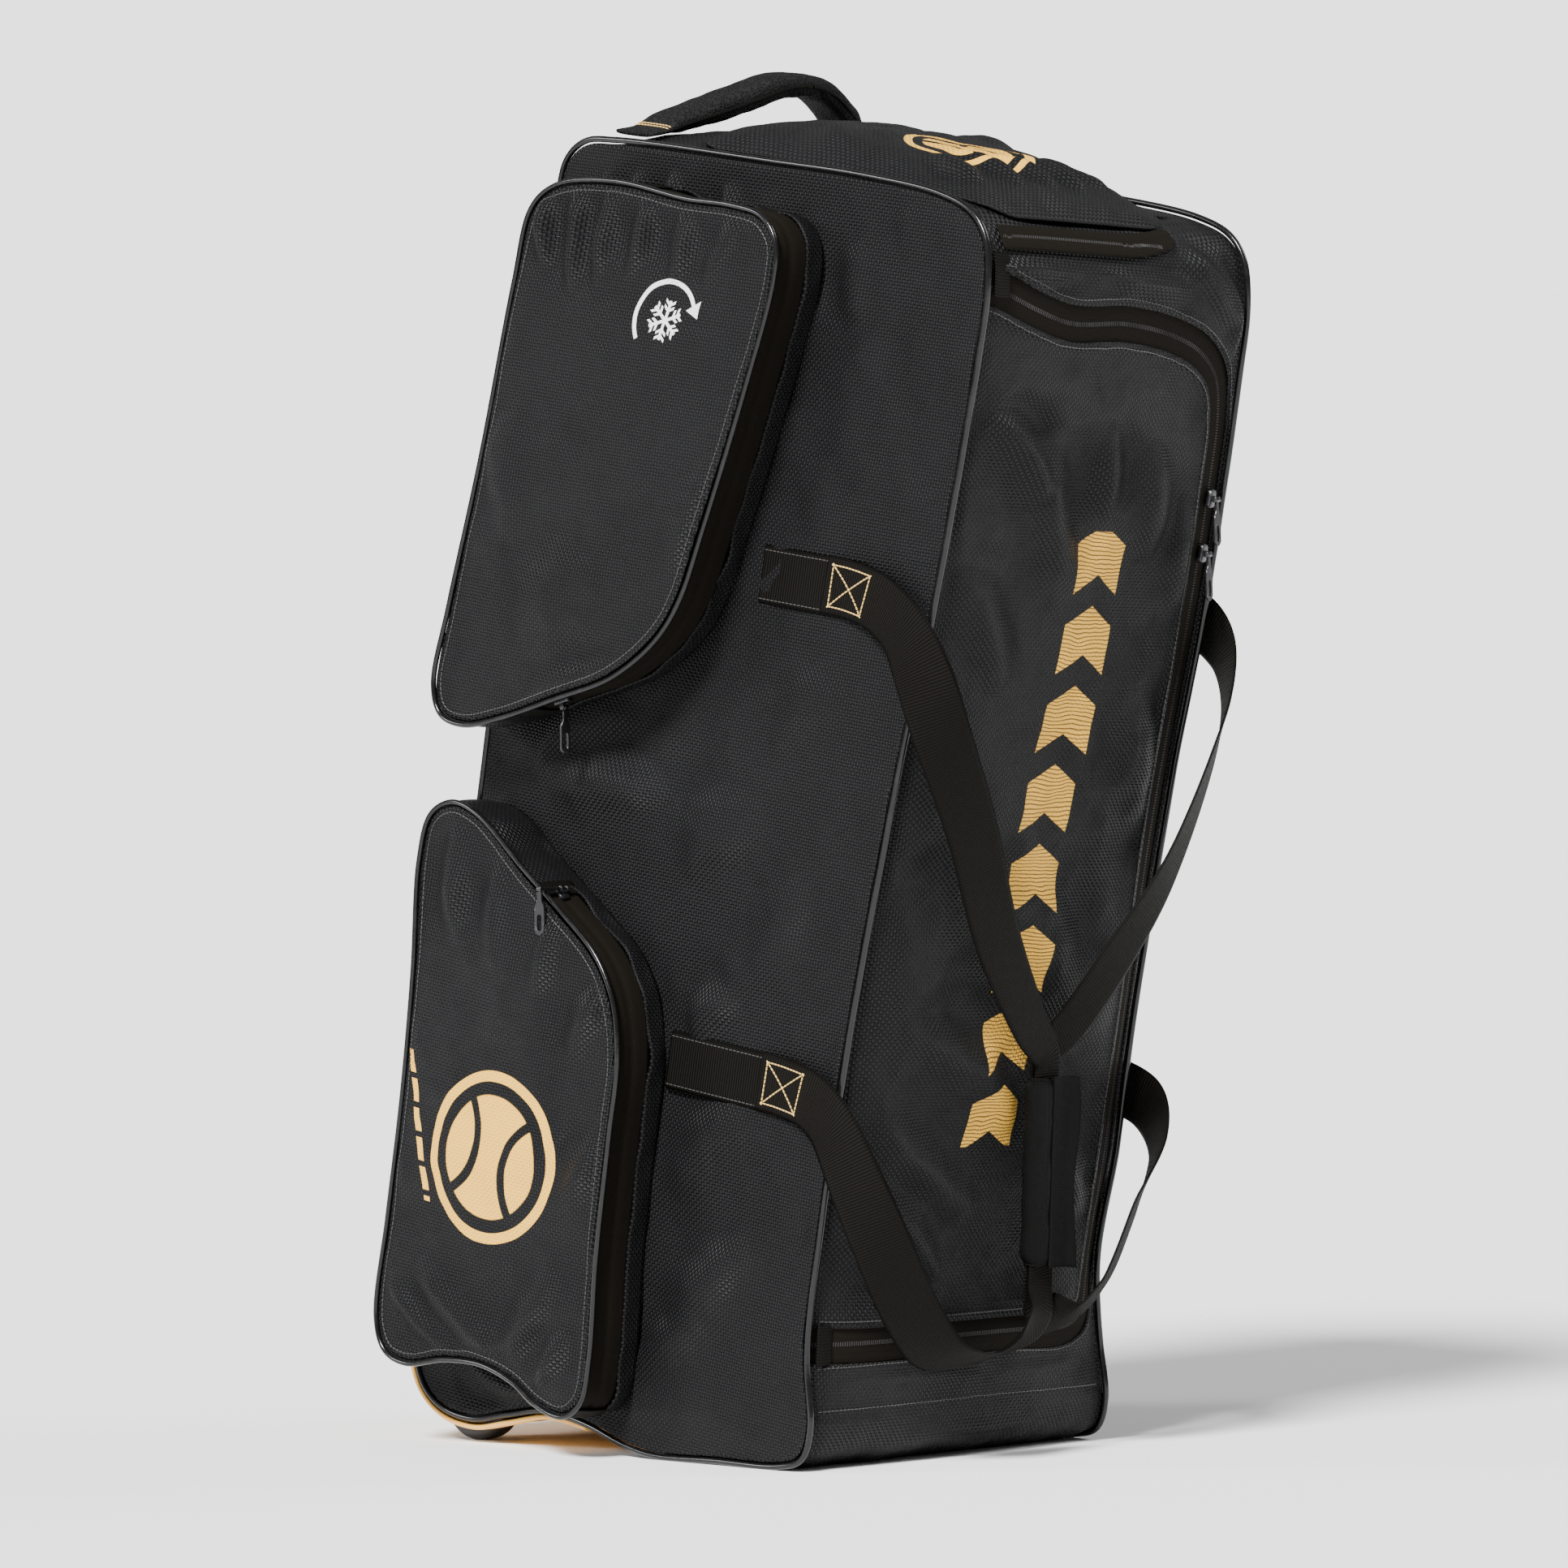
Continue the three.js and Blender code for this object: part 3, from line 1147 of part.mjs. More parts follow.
// The object stands on the floor with the middle of its box at the origin
const model = new THREE.Group();
model.add(bag);
model.updateMatrixWorld(true);
const bounds = new THREE.Box3().setFromObject(model, true);
bag.position.set(
  -(bounds.min.x + bounds.max.x) / 2,
  -(bounds.min.y + bounds.max.y) / 2,
  -bounds.min.z,
);

export default model;
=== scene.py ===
"""Wheeled cricket kit bag: cloth, seams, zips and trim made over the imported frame.

Lengths are in millimetres in the bag's own upright frame (x across, y from the lid to the back,
z from foot to head) until a mesh is made. The bag leans forward, so to_world tilts and places it.
"""
import math

import bmesh
import bpy
import numpy as np
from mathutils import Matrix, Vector, noise
from mathutils.bvhtree import BVHTree


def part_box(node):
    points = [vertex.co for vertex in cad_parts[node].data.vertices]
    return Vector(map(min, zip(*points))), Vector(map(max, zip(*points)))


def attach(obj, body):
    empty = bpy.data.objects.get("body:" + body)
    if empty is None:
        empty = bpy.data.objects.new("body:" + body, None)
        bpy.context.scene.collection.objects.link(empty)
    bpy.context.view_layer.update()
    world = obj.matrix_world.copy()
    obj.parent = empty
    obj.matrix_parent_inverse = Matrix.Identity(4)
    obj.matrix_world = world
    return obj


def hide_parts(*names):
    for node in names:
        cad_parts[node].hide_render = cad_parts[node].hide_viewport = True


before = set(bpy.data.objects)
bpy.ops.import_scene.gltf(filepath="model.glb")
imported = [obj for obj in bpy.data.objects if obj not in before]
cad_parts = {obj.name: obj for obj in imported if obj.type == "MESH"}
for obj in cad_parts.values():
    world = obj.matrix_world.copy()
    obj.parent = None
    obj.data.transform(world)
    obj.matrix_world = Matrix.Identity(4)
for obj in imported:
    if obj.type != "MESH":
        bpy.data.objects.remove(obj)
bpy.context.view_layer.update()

bl_info = {
    "name": "Wheeled Cricket Kit Bag",
    "version": (1, 0, 0),
    "blender": (4, 5, 0),
    "location": "3D View > Sidebar > Kit Bag",
    "description": "Dresses the packed kit bag in woven nylon, zips, webbing and trim",
    "category": "Add Mesh",
}

# The body, in millimetres
MM = 0.001
LEAN = math.radians(8.95)
HEIGHT = 888.0
DEPTH = 388.0
FOOT_WIDTH = 311.0
HEAD_WIDTH = 270.0
CLOTH = 1.8
GAP = 0.3
SEAM = 2.5
PIPING = 2.2
SEAM_LIFT = 5.5
SIDE_BULGE = 3.0
LEFT, RIGHT = -1, 1
SIDES = {LEFT: "left", RIGHT: "right"}

# The pinch low on the right side: its height and reach, its depth, and how much more the wrap gives way
PINCH_HEIGHT, PINCH_REACH, PINCH_DEPTH, PINCH_WRAP = 165, 75, 8, 0.8

# The left wheel's middle in metres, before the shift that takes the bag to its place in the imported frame
WHEEL_REST = np.array([-0.1275, 0.14409, 0.03])
SHIFT = np.array(sum(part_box("wheel_left"), Vector()) / 2) - WHEEL_REST


def to_world(points):
    """Turns millimetres in the bag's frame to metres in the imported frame."""
    points = np.asarray(points, float)
    y = points[..., 1] * math.cos(LEAN) - points[..., 2] * math.sin(LEAN)
    z = points[..., 1] * math.sin(LEAN) + points[..., 2] * math.cos(LEAN)
    return stack(points[..., 0], y, z) * MM + SHIFT


def bump(value, centre, reach):
    away = np.clip(np.abs(value - centre) / reach, 0, 1)
    return np.cos(away * math.pi / 2) ** 2


def table(rows, value):
    """Reads a table of (key, value) rows with a smooth step between rows."""
    keys = np.array([row[0] for row in rows], float)
    values = np.array([row[1] for row in rows], float)
    value = np.clip(value, keys[0], keys[-1])
    i = np.clip(np.searchsorted(keys, value, side="right") - 1, 0, len(keys) - 2)
    share = (value - keys[i]) / (keys[i + 1] - keys[i])
    return values[i] + (values[i + 1] - values[i]) * smooth(share)


def catmull(points, closed, t):
    """Points of a centripetal Catmull-Rom curve at shares t of its rows."""
    points = np.asarray(points, float)
    count = len(points)
    t = np.asarray(t, float)
    place = (count if closed else count - 1) * t
    i = np.floor(place).astype(int)
    if closed:
        whole = [points[(i + k) % count] for k in (-1, 0, 1, 2)]
    else:
        i = np.clip(i, 0, count - 2)
        padded = np.vstack([2 * points[0] - points[1], points, 2 * points[-1] - points[-2]])
        whole = [padded[i + k + 1] for k in (-1, 0, 1, 2)]
    weight = (place - i)[..., None]
    p0, p1, p2, p3 = whole
    spans = [np.maximum(np.sum((b - a) ** 2, -1) ** 0.25, 1e-4)[..., None] for a, b in ((p0, p1), (p1, p2), (p2, p3))]
    d0, d1, d2 = spans
    m1 = ((p1 - p0) / d0 - (p2 - p0) / (d0 + d1) + (p2 - p1) / d1) * d1
    m2 = ((p2 - p1) / d1 - (p3 - p1) / (d1 + d2) + (p3 - p2) / d2) * d1
    a = 2 * p1 - 2 * p2 + m1 + m2
    b = 3 * p2 - 3 * p1 - 2 * m1 - m2
    return ((a * weight + b) * weight + m1) * weight + p1


def unit(vectors):
    return vectors / np.maximum(np.linalg.norm(vectors, axis=-1, keepdims=True), 1e-9)


def stack(*values):
    """Puts numbers side by side along a new last axis."""
    return np.stack(np.broadcast_arrays(*values), -1)


def smooth(share):
    return share * share * (3 - 2 * share)


def squared(value, power):
    """A sine or cosine bent so that a circle made of them gets flatter sides."""
    return np.sign(value) * np.abs(value) ** power


def circle(count):
    """The cosine and sine of even turns round a circle, and the turns."""
    turns = np.linspace(0, 2 * math.pi, count, endpoint=False)
    return np.cos(turns), np.sin(turns), turns


def lengths(points):
    """How far along a polyline each of its points is."""
    return np.concatenate([[0], np.cumsum(np.linalg.norm(np.diff(points, axis=0), axis=1))])


def read_at(places, keys, rows):
    """Every column of some rows, read at places between their keys."""
    return np.stack([np.interp(places, keys, rows[:, k]) for k in range(rows.shape[1])], -1)


def resample(points, step, closed=False, extra=None):
    """Even points along a polyline, with the values in extra carried along."""
    points = np.asarray(points, float)
    if closed:
        points = np.vstack([points, points[:1]])
        extra = None if extra is None else np.vstack([extra, extra[:1]])
    length = lengths(points)
    count = max(2, int(round(length[-1] / step)) + 1)
    at = np.linspace(0, length[-1], count)
    if closed:
        at = at[:-1]
    new = read_at(at, length, points)
    return (new, at) if extra is None else (new, at, read_at(at, length, extra))


def waist(side, y, z):
    fade = np.clip(0.4 - y / (DEPTH / 2), 0, 1)
    return np.where(np.asarray(side) > 0, fade * bump(z, PINCH_HEIGHT, PINCH_REACH), 0)


def half_width(side, y, z):
    share = np.clip(z / HEIGHT, 0, 1)
    return (FOOT_WIDTH + (HEAD_WIDTH - FOOT_WIDTH) * share) / 2 - PINCH_DEPTH * waist(side, y, z)


def side_points(side, y, z, out):
    along = np.cos(math.pi * np.clip(y / DEPTH, -0.5, 0.5))
    up = np.sin(math.pi * np.clip(z / HEIGHT, 0, 1))
    x = side * (half_width(side, y, z) + SIDE_BULGE * along * up + out)
    return stack(x, y, z)


# The side outline as shares of DEPTH and HEIGHT, None on the floor
SIDE_OUTLINE = (
    (-0.405, None), (-0.449, 0.043), (-0.459, 0.067), (-0.435, 0.106), (-0.425, 0.135), (-0.423, 0.207),
    (-0.428, 0.356), (-0.461, 0.573), (-0.49, 0.697), (-0.512, 0.88), (-0.512, 0.934), (-0.495, 0.966),
    (-0.459, 0.983), (-0.387, 0.993), (-0.21, 0.999), (0, 1), (0.387, 1), (0.456, 0.996), (0.49, 0.982),
    (0.5, 0.955), (0.502, 0.528), (0.49, 0.113), (0.486, 0.045), (0.456, 0.016), (0.405, 0.002), (0.33, 0),
    (0.25, 0.011), (0.155, 0.023), (0.05, 0.022), (-0.05, 0.015), (-0.115, None), (-0.26, None),
)
ROWS, FLOOR_ROW = len(SIDE_OUTLINE), 30
FRONT_CROWN = ((0.05, 5), (0.085, 9), (0.13, 16), (0.36, 20), (0.57, 13), (0.73, 9), (0.95, 6))
TOP_CROWN = ((-0.47, 0), (-0.32, 3), (-0.19, 9), (-0.06, 15), (0.26, 18), (0.39, 14), (0.47, 4))


def outline_points():
    rows = []
    for depth, height in SIDE_OUTLINE:
        y = depth * DEPTH
        z = -y * math.tan(LEAN) + SEAM_LIFT / math.cos(LEAN) if height is None else height * HEIGHT
        rows.append((0.0, y, z))
    return np.array(rows)


def stations(low, high, step):
    """Even stations along the side outline: row numbers, places, outward directions and lengths."""
    fine = np.linspace(low, high, int((high - low) * 24) + 2)
    points = catmull(outline_points(), True, (fine % ROWS) / ROWS)
    points, at, rows = resample(points, step, extra=fine[:, None])
    tangent = unit(np.gradient(points, axis=0))
    normal = stack(0.0, -tangent[:, 2], tangent[:, 1])
    return {"row": rows[:, 0], "place": points, "normal": normal, "at": at}


def crown(run, x):
    """How far the wrap stands out from its seam line, at every x of every station."""
    y, z = run["place"][:, 1:2], run["place"][:, 2:3]
    ny, nz = run["normal"][:, 1:2], run["normal"][:, 2:3]
    half = half_width(np.sign(x), y, z) - SEAM
    share = np.clip(np.abs(x) / half, 0, 1)
    front = np.maximum(0, -ny) ** 2 * table(FRONT_CROWN, z / HEIGHT)
    back = np.maximum(0, ny) ** 2 * 5
    top = np.maximum(0, nz) ** 2 * table(TOP_CROWN, y / DEPTH)
    soft = front * (1 - share**6) + (top + back) * (1 - share**2.2)
    ramp = np.clip((half - np.abs(x)) / 14, 0, 1)
    around = (run["row"] % ROWS)[:, None]
    foot = np.where(around >= FLOOR_ROW - 0.01, 1, np.clip(1 - around, 0, 1))
    return soft + (SEAM_LIFT * ramp - soft) * foot


def wrap(run, shares, out=0.0):
    """The grid of the wrap over some stations: points and cloth coordinates."""
    y, z = run["place"][:, 1:2], run["place"][:, 2:3]
    side = np.sign(shares)[None, :] + (shares == 0)[None, :]
    x = shares[None, :] * (half_width(side, y, z) - PINCH_WRAP * np.sqrt(waist(side, y, z)))
    rise = (crown(run, x) + out)[..., None]
    points = run["place"][:, None, :] + run["normal"][:, None, :] * rise
    points[..., 0] = x
    return points, stack(x, run["at"][:, None])


def seam_distance(points):
    """How far places on the wrap are from the side's seam."""
    return half_width(np.sign(points[..., 0]), points[..., 1], points[..., 2]) - np.abs(points[..., 0])


def even_shares(count):
    """Columns across the wrap, a little closer together at both seams."""
    t = np.linspace(-1, 1, count)
    return np.sign(t) * (1 - (1 - np.abs(t)) ** 1.12)


# Meshes


def normals_of(points):
    across = np.gradient(points, axis=1)
    along = np.gradient(points, axis=0)
    return unit(np.cross(across, along))


def folds(u, v, rows):
    """Adds up cloth folds. Each row is u0, v0, u1, v1, width, height and bend of one fold."""
    total = np.zeros(np.broadcast(u, v).shape)
    for u0, v0, u1, v1, width, height, bend in rows:
        du, dv = u1 - u0, v1 - v0
        length = math.hypot(du, dv)
        t = ((u - u0) * du + (v - v0) * dv) / length**2
        inside = np.clip(t, 0, 1)
        off = ((v - v0) * du - (u - u0) * dv) / length - bend * 4 * inside * (1 - inside)
        taper = np.sin(math.pi * inside) ** 0.8
        share = off / (width * (0.6 + 0.4 * taper))
        total += height * taper * (np.exp(-(share**2)) - 0.5 * np.exp(-(((share - 1.7) / 1.2) ** 2)))
    return total


def ripple(points, size, seed):
    """Smooth noise between about -1 and 1 over a grid of points."""
    flat = points.reshape(-1, 3) / size + seed * 7.31
    values = [noise.noise(Vector(p)) + 0.5 * noise.noise(Vector(p) * 2.1) for p in flat]
    return np.array(values).reshape(points.shape[:-1])


def distance(outline, u, v, closed=True):
    """Signed distance from an outline in a plane, positive inside it."""
    outline = np.asarray(outline, float)
    ends = np.roll(outline, -1, axis=0)
    starts = outline
    shape = np.broadcast(u, v).shape
    pu = np.broadcast_to(u, shape).reshape(-1)
    pv = np.broadcast_to(v, shape).reshape(-1)
    best = np.full(pu.shape, 1e12)
    inside = np.zeros(pu.shape, bool)
    for k, (a, b) in enumerate(zip(starts, ends)):
        d = b - a
        if closed or k < len(outline) - 1:
            t = np.clip(((pu - a[0]) * d[0] + (pv - a[1]) * d[1]) / max(d @ d, 1e-9), 0, 1)
            best = np.minimum(best, (pu - a[0] - t * d[0]) ** 2 + (pv - a[1] - t * d[1]) ** 2)
        crosses = (a[1] > pv) != (b[1] > pv)
        level = a[0] + (pv - a[1]) * d[0] / (d[1] if abs(d[1]) > 1e-12 else 1e-12)
        inside ^= crosses & (pu < level)
    return (np.sqrt(best) * np.where(inside, 1, -1)).reshape(shape)


def in_scene(name, data):
    """A new object of some data, linked into the scene."""
    item = bpy.data.objects.new(name, data)
    bpy.context.scene.collection.objects.link(item)
    return item


def shade_smooth(mesh):
    mesh.polygons.foreach_set("use_smooth", np.full(len(mesh.polygons), True))


def edit_mesh(mesh, step):
    """Runs a step on a mesh's editable form and writes it back."""
    work = bmesh.new()
    work.from_mesh(mesh)
    step(work)
    work.to_mesh(mesh)
    work.free()


def face_out(mesh):
    edit_mesh(mesh, lambda work: bmesh.ops.recalc_face_normals(work, faces=work.faces))


def make_object(name, vertices, faces, cloth, material):
    mesh = bpy.data.meshes.new(name)
    mesh.from_pydata([tuple(p) for p in to_world(vertices)], [], [tuple(f) for f in faces])
    if cloth is not None:
        layer = mesh.uv_layers.new(name="Cloth")
        corners = np.zeros(len(mesh.loops), int)
        mesh.loops.foreach_get("vertex_index", corners)
        layer.data.foreach_set("uv", (np.asarray(cloth)[corners] * MM).ravel())
    shade_smooth(mesh)
    mesh.validate()
    mesh.update()
    mesh.materials.append(material)
    return in_scene(name, mesh)


def grid_quads(rows, columns, loop_rows=False, loop_columns=False):
    index = np.arange(rows * columns).reshape(rows, columns)
    if loop_rows:
        index = np.vstack([index, index[:1]])
    if loop_columns:
        index = np.hstack([index, index[:, :1]])
    return np.stack([index[:-1, :-1], index[:-1, 1:], index[1:, 1:], index[1:, :-1]], -1).reshape(-1, 4)


def clipped(points, cloth, keep):
    """The part of a grid where keep is above 0, cut clean along its edge."""
    rows, columns = keep.shape
    quads = grid_quads(rows, columns)
    level = keep.reshape(-1)
    places = list(points.reshape(-1, 3))
    weave = list(cloth.reshape(-1, 2))
    count = (level[quads] > 0).sum(1)
    faces = [tuple(q) for q in quads[count == 4]]
    cuts = {}

    def cut(a, b):
        a, b = (a, b) if a < b else (b, a)
        if (a, b) not in cuts:
            t = level[a] / (level[a] - level[b])
            cuts[a, b] = len(places)
            places.append(places[a] + (places[b] - places[a]) * t)
            weave.append(weave[a] + (weave[b] - weave[a]) * t)
        return cuts[a, b]

    for quad in quads[(count > 0) & (count < 4)]:
        face = []
        for a, b in zip(quad, np.roll(quad, -1)):
            if level[a] > 0:
                face.append(a)
            if (level[a] > 0) != (level[b] > 0):
                face.append(cut(a, b))
        if len(face) > 2:
            faces.append(tuple(face))
    used = sorted({i for face in faces for i in face})
    place = {old: new for new, old in enumerate(used)}
    faces = [tuple(place[i] for i in face) for face in faces]
    return np.array([places[i] for i in used]), faces, np.array([weave[i] for i in used])


def thicken(piece, thickness):
    solid = piece.modifiers.new("Cloth thickness", "SOLIDIFY")
    solid.thickness = thickness * MM
    solid.offset = -1
    return piece


def panel(name, points, cloth, keep, material, thickness=CLOTH):
    """A cloth panel cut from a grid, with its wall thickness on the inner side."""
    if keep is None:
        rows, columns = points.shape[:2]
        piece = make_object(name, points.reshape(-1, 3), grid_quads(rows, columns), cloth.reshape(-1, 2), material)
    else:
        vertices, faces, weave = clipped(points, cloth, keep)
        piece = make_object(name, vertices, faces, weave, material)
        edit_mesh(piece.data, lambda work: bmesh.ops.remove_doubles(work, verts=work.verts, dist=0.25 * MM))
    return thicken(piece, thickness)


def settle(piece, body, replaces):
    """Rides a finished piece on its body and hides the nodes that it stands for."""
    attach(piece, body)
    if replaces:
        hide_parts(*replaces)
    return piece


def skin(name, grid, material, cloth=None, loop_rows=False, caps=False):
    """A piece from rings of points, one after the other, with its faces turned out."""
    rows, sides = grid.shape[:2]
    quads = [tuple(q) for q in grid_quads(rows, sides, loop_rows=loop_rows, loop_columns=True)]
    if caps:
        quads += [tuple(range(sides))[::-1], tuple(range((rows - 1) * sides, rows * sides))]
    cloth = None if cloth is None else cloth.reshape(-1, 2)
    piece = make_object(name, grid.reshape(-1, 3), quads, cloth, material)
    face_out(piece.data)
    return piece


def tube(name, path, radius, material, sides, closed=True, up=(1.0, 0, 0)):
    """A round cord along a path of even points."""
    path = np.asarray(path, float)
    if closed:
        tangent = unit(np.roll(path, -1, axis=0) - np.roll(path, 1, axis=0))
    else:
        tangent = unit(np.gradient(path, axis=0))
    up = np.broadcast_to(np.asarray(up, float), path.shape)
    side = unit(np.cross(tangent, up))
    up = np.cross(side, tangent)
    angle = np.arange(sides) * 2 * math.pi / sides
    ring = side[:, None] * np.cos(angle)[None, :, None] + up[:, None] * np.sin(angle)[None, :, None]
    cloth = stack(lengths(path)[:, None], angle * radius)
    return skin(name, path[:, None] + ring * radius, material, cloth, loop_rows=closed, caps=not closed)


# Sizes and colours that a user would change


def colour_property(name, description, default):
    """A colour property."""
    return bpy.props.FloatVectorProperty(
        name=name, description=description, default=default, size=3, min=0, max=1, subtype="COLOR")


class KitBagCloth(bpy.types.PropertyGroup):
    """The woven nylon of the body"""

    colour: colour_property("Cloth colour", "Colour of the nylon", (0.0050, 0.0050, 0.0054))
    print_colour: colour_property("Print colour", "Colour of the printed motifs", (0.76, 0.42, 0.06))
    weave: bpy.props.FloatProperty(
        name="Weave", description="Distance between two threads", default=0.0022, min=0.0003, max=0.01,
        unit="LENGTH")
    creases: bpy.props.FloatProperty(
        name="Creases", description="How deep the folds in the cloth are", default=2.9, min=0, max=4,
        subtype="FACTOR")


class KitBagTrim(bpy.types.PropertyGroup):
    """Webbing, thread, piping and zips"""

    webbing_colour: colour_property("Webbing colour", "Colour of the straps", (0.0027, 0.0023, 0.0018))
    zip_colour: colour_property("Zip colour", "Colour of the zip tapes", (0.0052, 0.0043, 0.003))
    thread_colour: colour_property("Thread colour", "Colour of the stitching that shows", (0.68, 0.44, 0.13))
    stitch: bpy.props.FloatProperty(
        name="Stitch", description="Distance between two stitches", default=0.0034, min=0.001, max=0.02,
        unit="LENGTH")
    tooth: bpy.props.FloatProperty(
        name="Zip tooth", description="Distance between two turns of a zip's coil", default=0.0019,
        min=0.0005, max=0.01, unit="LENGTH")


class KitBagBase(bpy.types.PropertyGroup):
    """The wheel guards and the stage"""

    guard_colour: colour_property("Guard colour", "Colour of the wheel guards", (0.8, 0.42, 0.085))
    floor_colour: colour_property("Floor colour", "Colour of the floor and backdrop", (0.95, 0.95, 0.95))
    light: bpy.props.FloatProperty(
        name="Light", description="Strength of the studio light", default=1.1, min=0, max=10,
        subtype="FACTOR")


# Materials


class Sum:
    """A number in a material. Python operators on it add Math nodes."""

    def __init__(self, finish, socket):
        self.finish = finish
        self.socket = socket

    def run(self, operation, *values):
        node = self.finish.add("ShaderNodeMath", {"operation": operation}, dict(enumerate(values)))
        return Sum(self.finish, node.outputs[0])

    def __add__(self, other):
        return self.run("ADD", self, other)

    def __sub__(self, other):
        return self.run("SUBTRACT", self, other)

    def __rsub__(self, other):
        return self.run("SUBTRACT", other, self)

    def __mul__(self, other):
        return self.run("MULTIPLY", self, other)

    __radd__ = __add__
    __rmul__ = __mul__

    def absolute(self):
        return self.run("ABSOLUTE", self)

    def sine(self):
        return self.run("SINE", self)

    def floor(self):
        return self.run("FLOOR", self)

    def root(self):
        return self.run("SQRT", self)

    def wrapped(self, period):
        return self.run("FLOORED_MODULO", self, period)

    def most(self, other):
        return self.run("MAXIMUM", self, other)

    def above(self, other):
        return self.run("GREATER_THAN", self, other)

    def step(self, low, high):
        """0 below low and 1 above high, smooth between."""
        node = self.finish.add(
            "ShaderNodeMapRange", {"interpolation_type": "SMOOTHSTEP"},
            {"Value": self, "From Min": low, "From Max": high})
        return Sum(self.finish, node.outputs["Result"])


class Finish:
    """A material made of nodes round one Principled shader."""

    def __init__(self, name):
        self.material = bpy.data.materials.new(name)
        self.material.use_nodes = True
        self.tree = self.material.node_tree
        self.tree.nodes.clear()
        self.shader = self.tree.nodes.new("ShaderNodeBsdfPrincipled")
        out = self.tree.nodes.new("ShaderNodeOutputMaterial")
        self.tree.links.new(self.shader.outputs[0], out.inputs[0])

    def link(self, socket, value):
        if isinstance(value, Sum):
            self.tree.links.new(value.socket, socket)
        elif isinstance(value, bpy.types.NodeSocket):
            self.tree.links.new(value, socket)
        elif hasattr(value, "__len__") and len(value) == 3 and socket.type == "RGBA":
            socket.default_value = (*value, 1)
        else:
            socket.default_value = value

    def add(self, kind, settings=None, values=None):
        node = self.tree.nodes.new(kind)
        for key, value in (settings or {}).items():
            setattr(node, key, value)
        for key, value in (values or {}).items():
            self.link(node.inputs[key], value)
        return node

    def set(self, **values):
        """Sets the shader's sockets by name, with an underscore for a space."""
        for key, value in values.items():
            self.link(self.shader.inputs[key.replace("_", " ")], value)
        return self

    def place(self, source="Object"):
        """The three numbers of Object coordinates, or the two of the cloth's own."""
        if source == "Cloth":
            out = self.add("ShaderNodeUVMap", {"uv_map": "Cloth"}).outputs[0]
        else:
            out = self.add("ShaderNodeTexCoord").outputs["Object"]
        parts = self.add("ShaderNodeSeparateXYZ", None, {0: out})
        return out, [Sum(self, socket) for socket in parts.outputs]

    def noise(self, vector, scale, detail=3.0, roughness=0.55):
        node = self.add("ShaderNodeTexNoise", None, {
            "Vector": vector, "Scale": scale, "Detail": detail, "Roughness": roughness})
        return Sum(self, node.outputs["Fac"])

    def scaled(self, vector, factors):
        node = self.add("ShaderNodeVectorMath", {"operation": "MULTIPLY"}, {0: vector, 1: factors})
        return node.outputs[0]

    def mix(self, factor, low, high):
        node = self.add("ShaderNodeMix", {"data_type": "RGBA"}, {0: factor, 6: low, 7: high})
        return node.outputs[2]

    def bump(self, height, distance, strength, normal=None):
        values = {"Height": height, "Distance": distance, "Strength": strength}
        if normal is not None:
            values["Normal"] = normal
        return self.add("ShaderNodeBump", None, values).outputs[0]


def cloth_finish(name):
    """A finish with its Object coordinates and the two numbers of its cloth."""
    finish = Finish(name)
    vector, _ = finish.place()
    _, (u, v, _) = finish.place("Cloth")
    return finish, vector, u, v


def brighter(colour, factor):
    return tuple(min(1.0, c * factor) for c in colour)


def weave(u, v, pitch):
    """The height of a basket weave, from 0 to 1, and which of its two threads is on top."""
    across = u * (1 / pitch)
    along = v * (1 / pitch)
    on_top = (across.floor() + along.floor()).wrapped(2.0).above(0.5)
    warp = (across * math.pi).sine().absolute()
    weft = (along * math.pi).sine().absolute()
    height = warp * on_top + weft * 0.85 * (1 - on_top)
    return height, on_top


def nylon(name, settings, motif=None):
    """Woven nylon. motif returns the amount of each print and its colour."""
    finish, vector, u, v = cloth_finish(name)
    height, on_top = weave(u, v, settings.weave)
    wear = finish.noise(vector, 9.0, 5.0, 0.6)
    slub = finish.noise(finish.scaled(vector, (40.0, 40.0, 260.0)), 3.0, 2.0)
    shade = height * 0.55 + on_top * 0.2 + wear * 0.35 + slub * 0.25
    colour = finish.mix(shade.step(0.25, 1.25), brighter(settings.colour, 0.3), brighter(settings.colour, 2.6))
    rough = 0.33 + wear * 0.12 + slub * 0.08
    level = height
    for amount, tint in (motif(finish, u, v, settings) if motif else ()):
        worn = amount * (0.93 + height * 0.07)
        colour = finish.mix(worn, colour, tint)
        rough = rough - worn * 0.06
        level = level * (1 - amount * 0.45) + amount * 0.5
    normal = finish.bump(level, 0.0010, 0.85)
    soft = finish.noise(vector, 34.0, 4.0, 0.6)
    finish.set(Base_Color=colour, Roughness=rough, Normal=finish.bump(soft, 0.0016, 0.35, normal),
               Specular_IOR_Level=0.105)
    return finish.material


def webbing(name, colour, rib=0.0021):
    """Flat woven webbing with ribs across it and a plain edge on both sides."""
    finish, vector, u, v = cloth_finish(name)
    ribs = (u * (math.pi / rib)).sine().absolute()
    threads = (v * (math.pi / 0.0011) + ribs * 0.8).sine().absolute()
    edge = v.absolute().step(0.018, 0.0188)
    fuzz = finish.noise(vector, 160.0, 4.0, 0.65)
    height = ribs * (0.75 - 0.45 * edge) + threads * 0.35 + fuzz * 0.25
    tint = finish.mix(height.step(0.2, 1.2), brighter(colour, 0.5), brighter(colour, 2.0))
    finish.set(Base_Color=tint, Roughness=0.5 + fuzz * 0.12, Normal=finish.bump(height, 0.0009, 0.9),
               Specular_IOR_Level=0.06)
    return finish.material


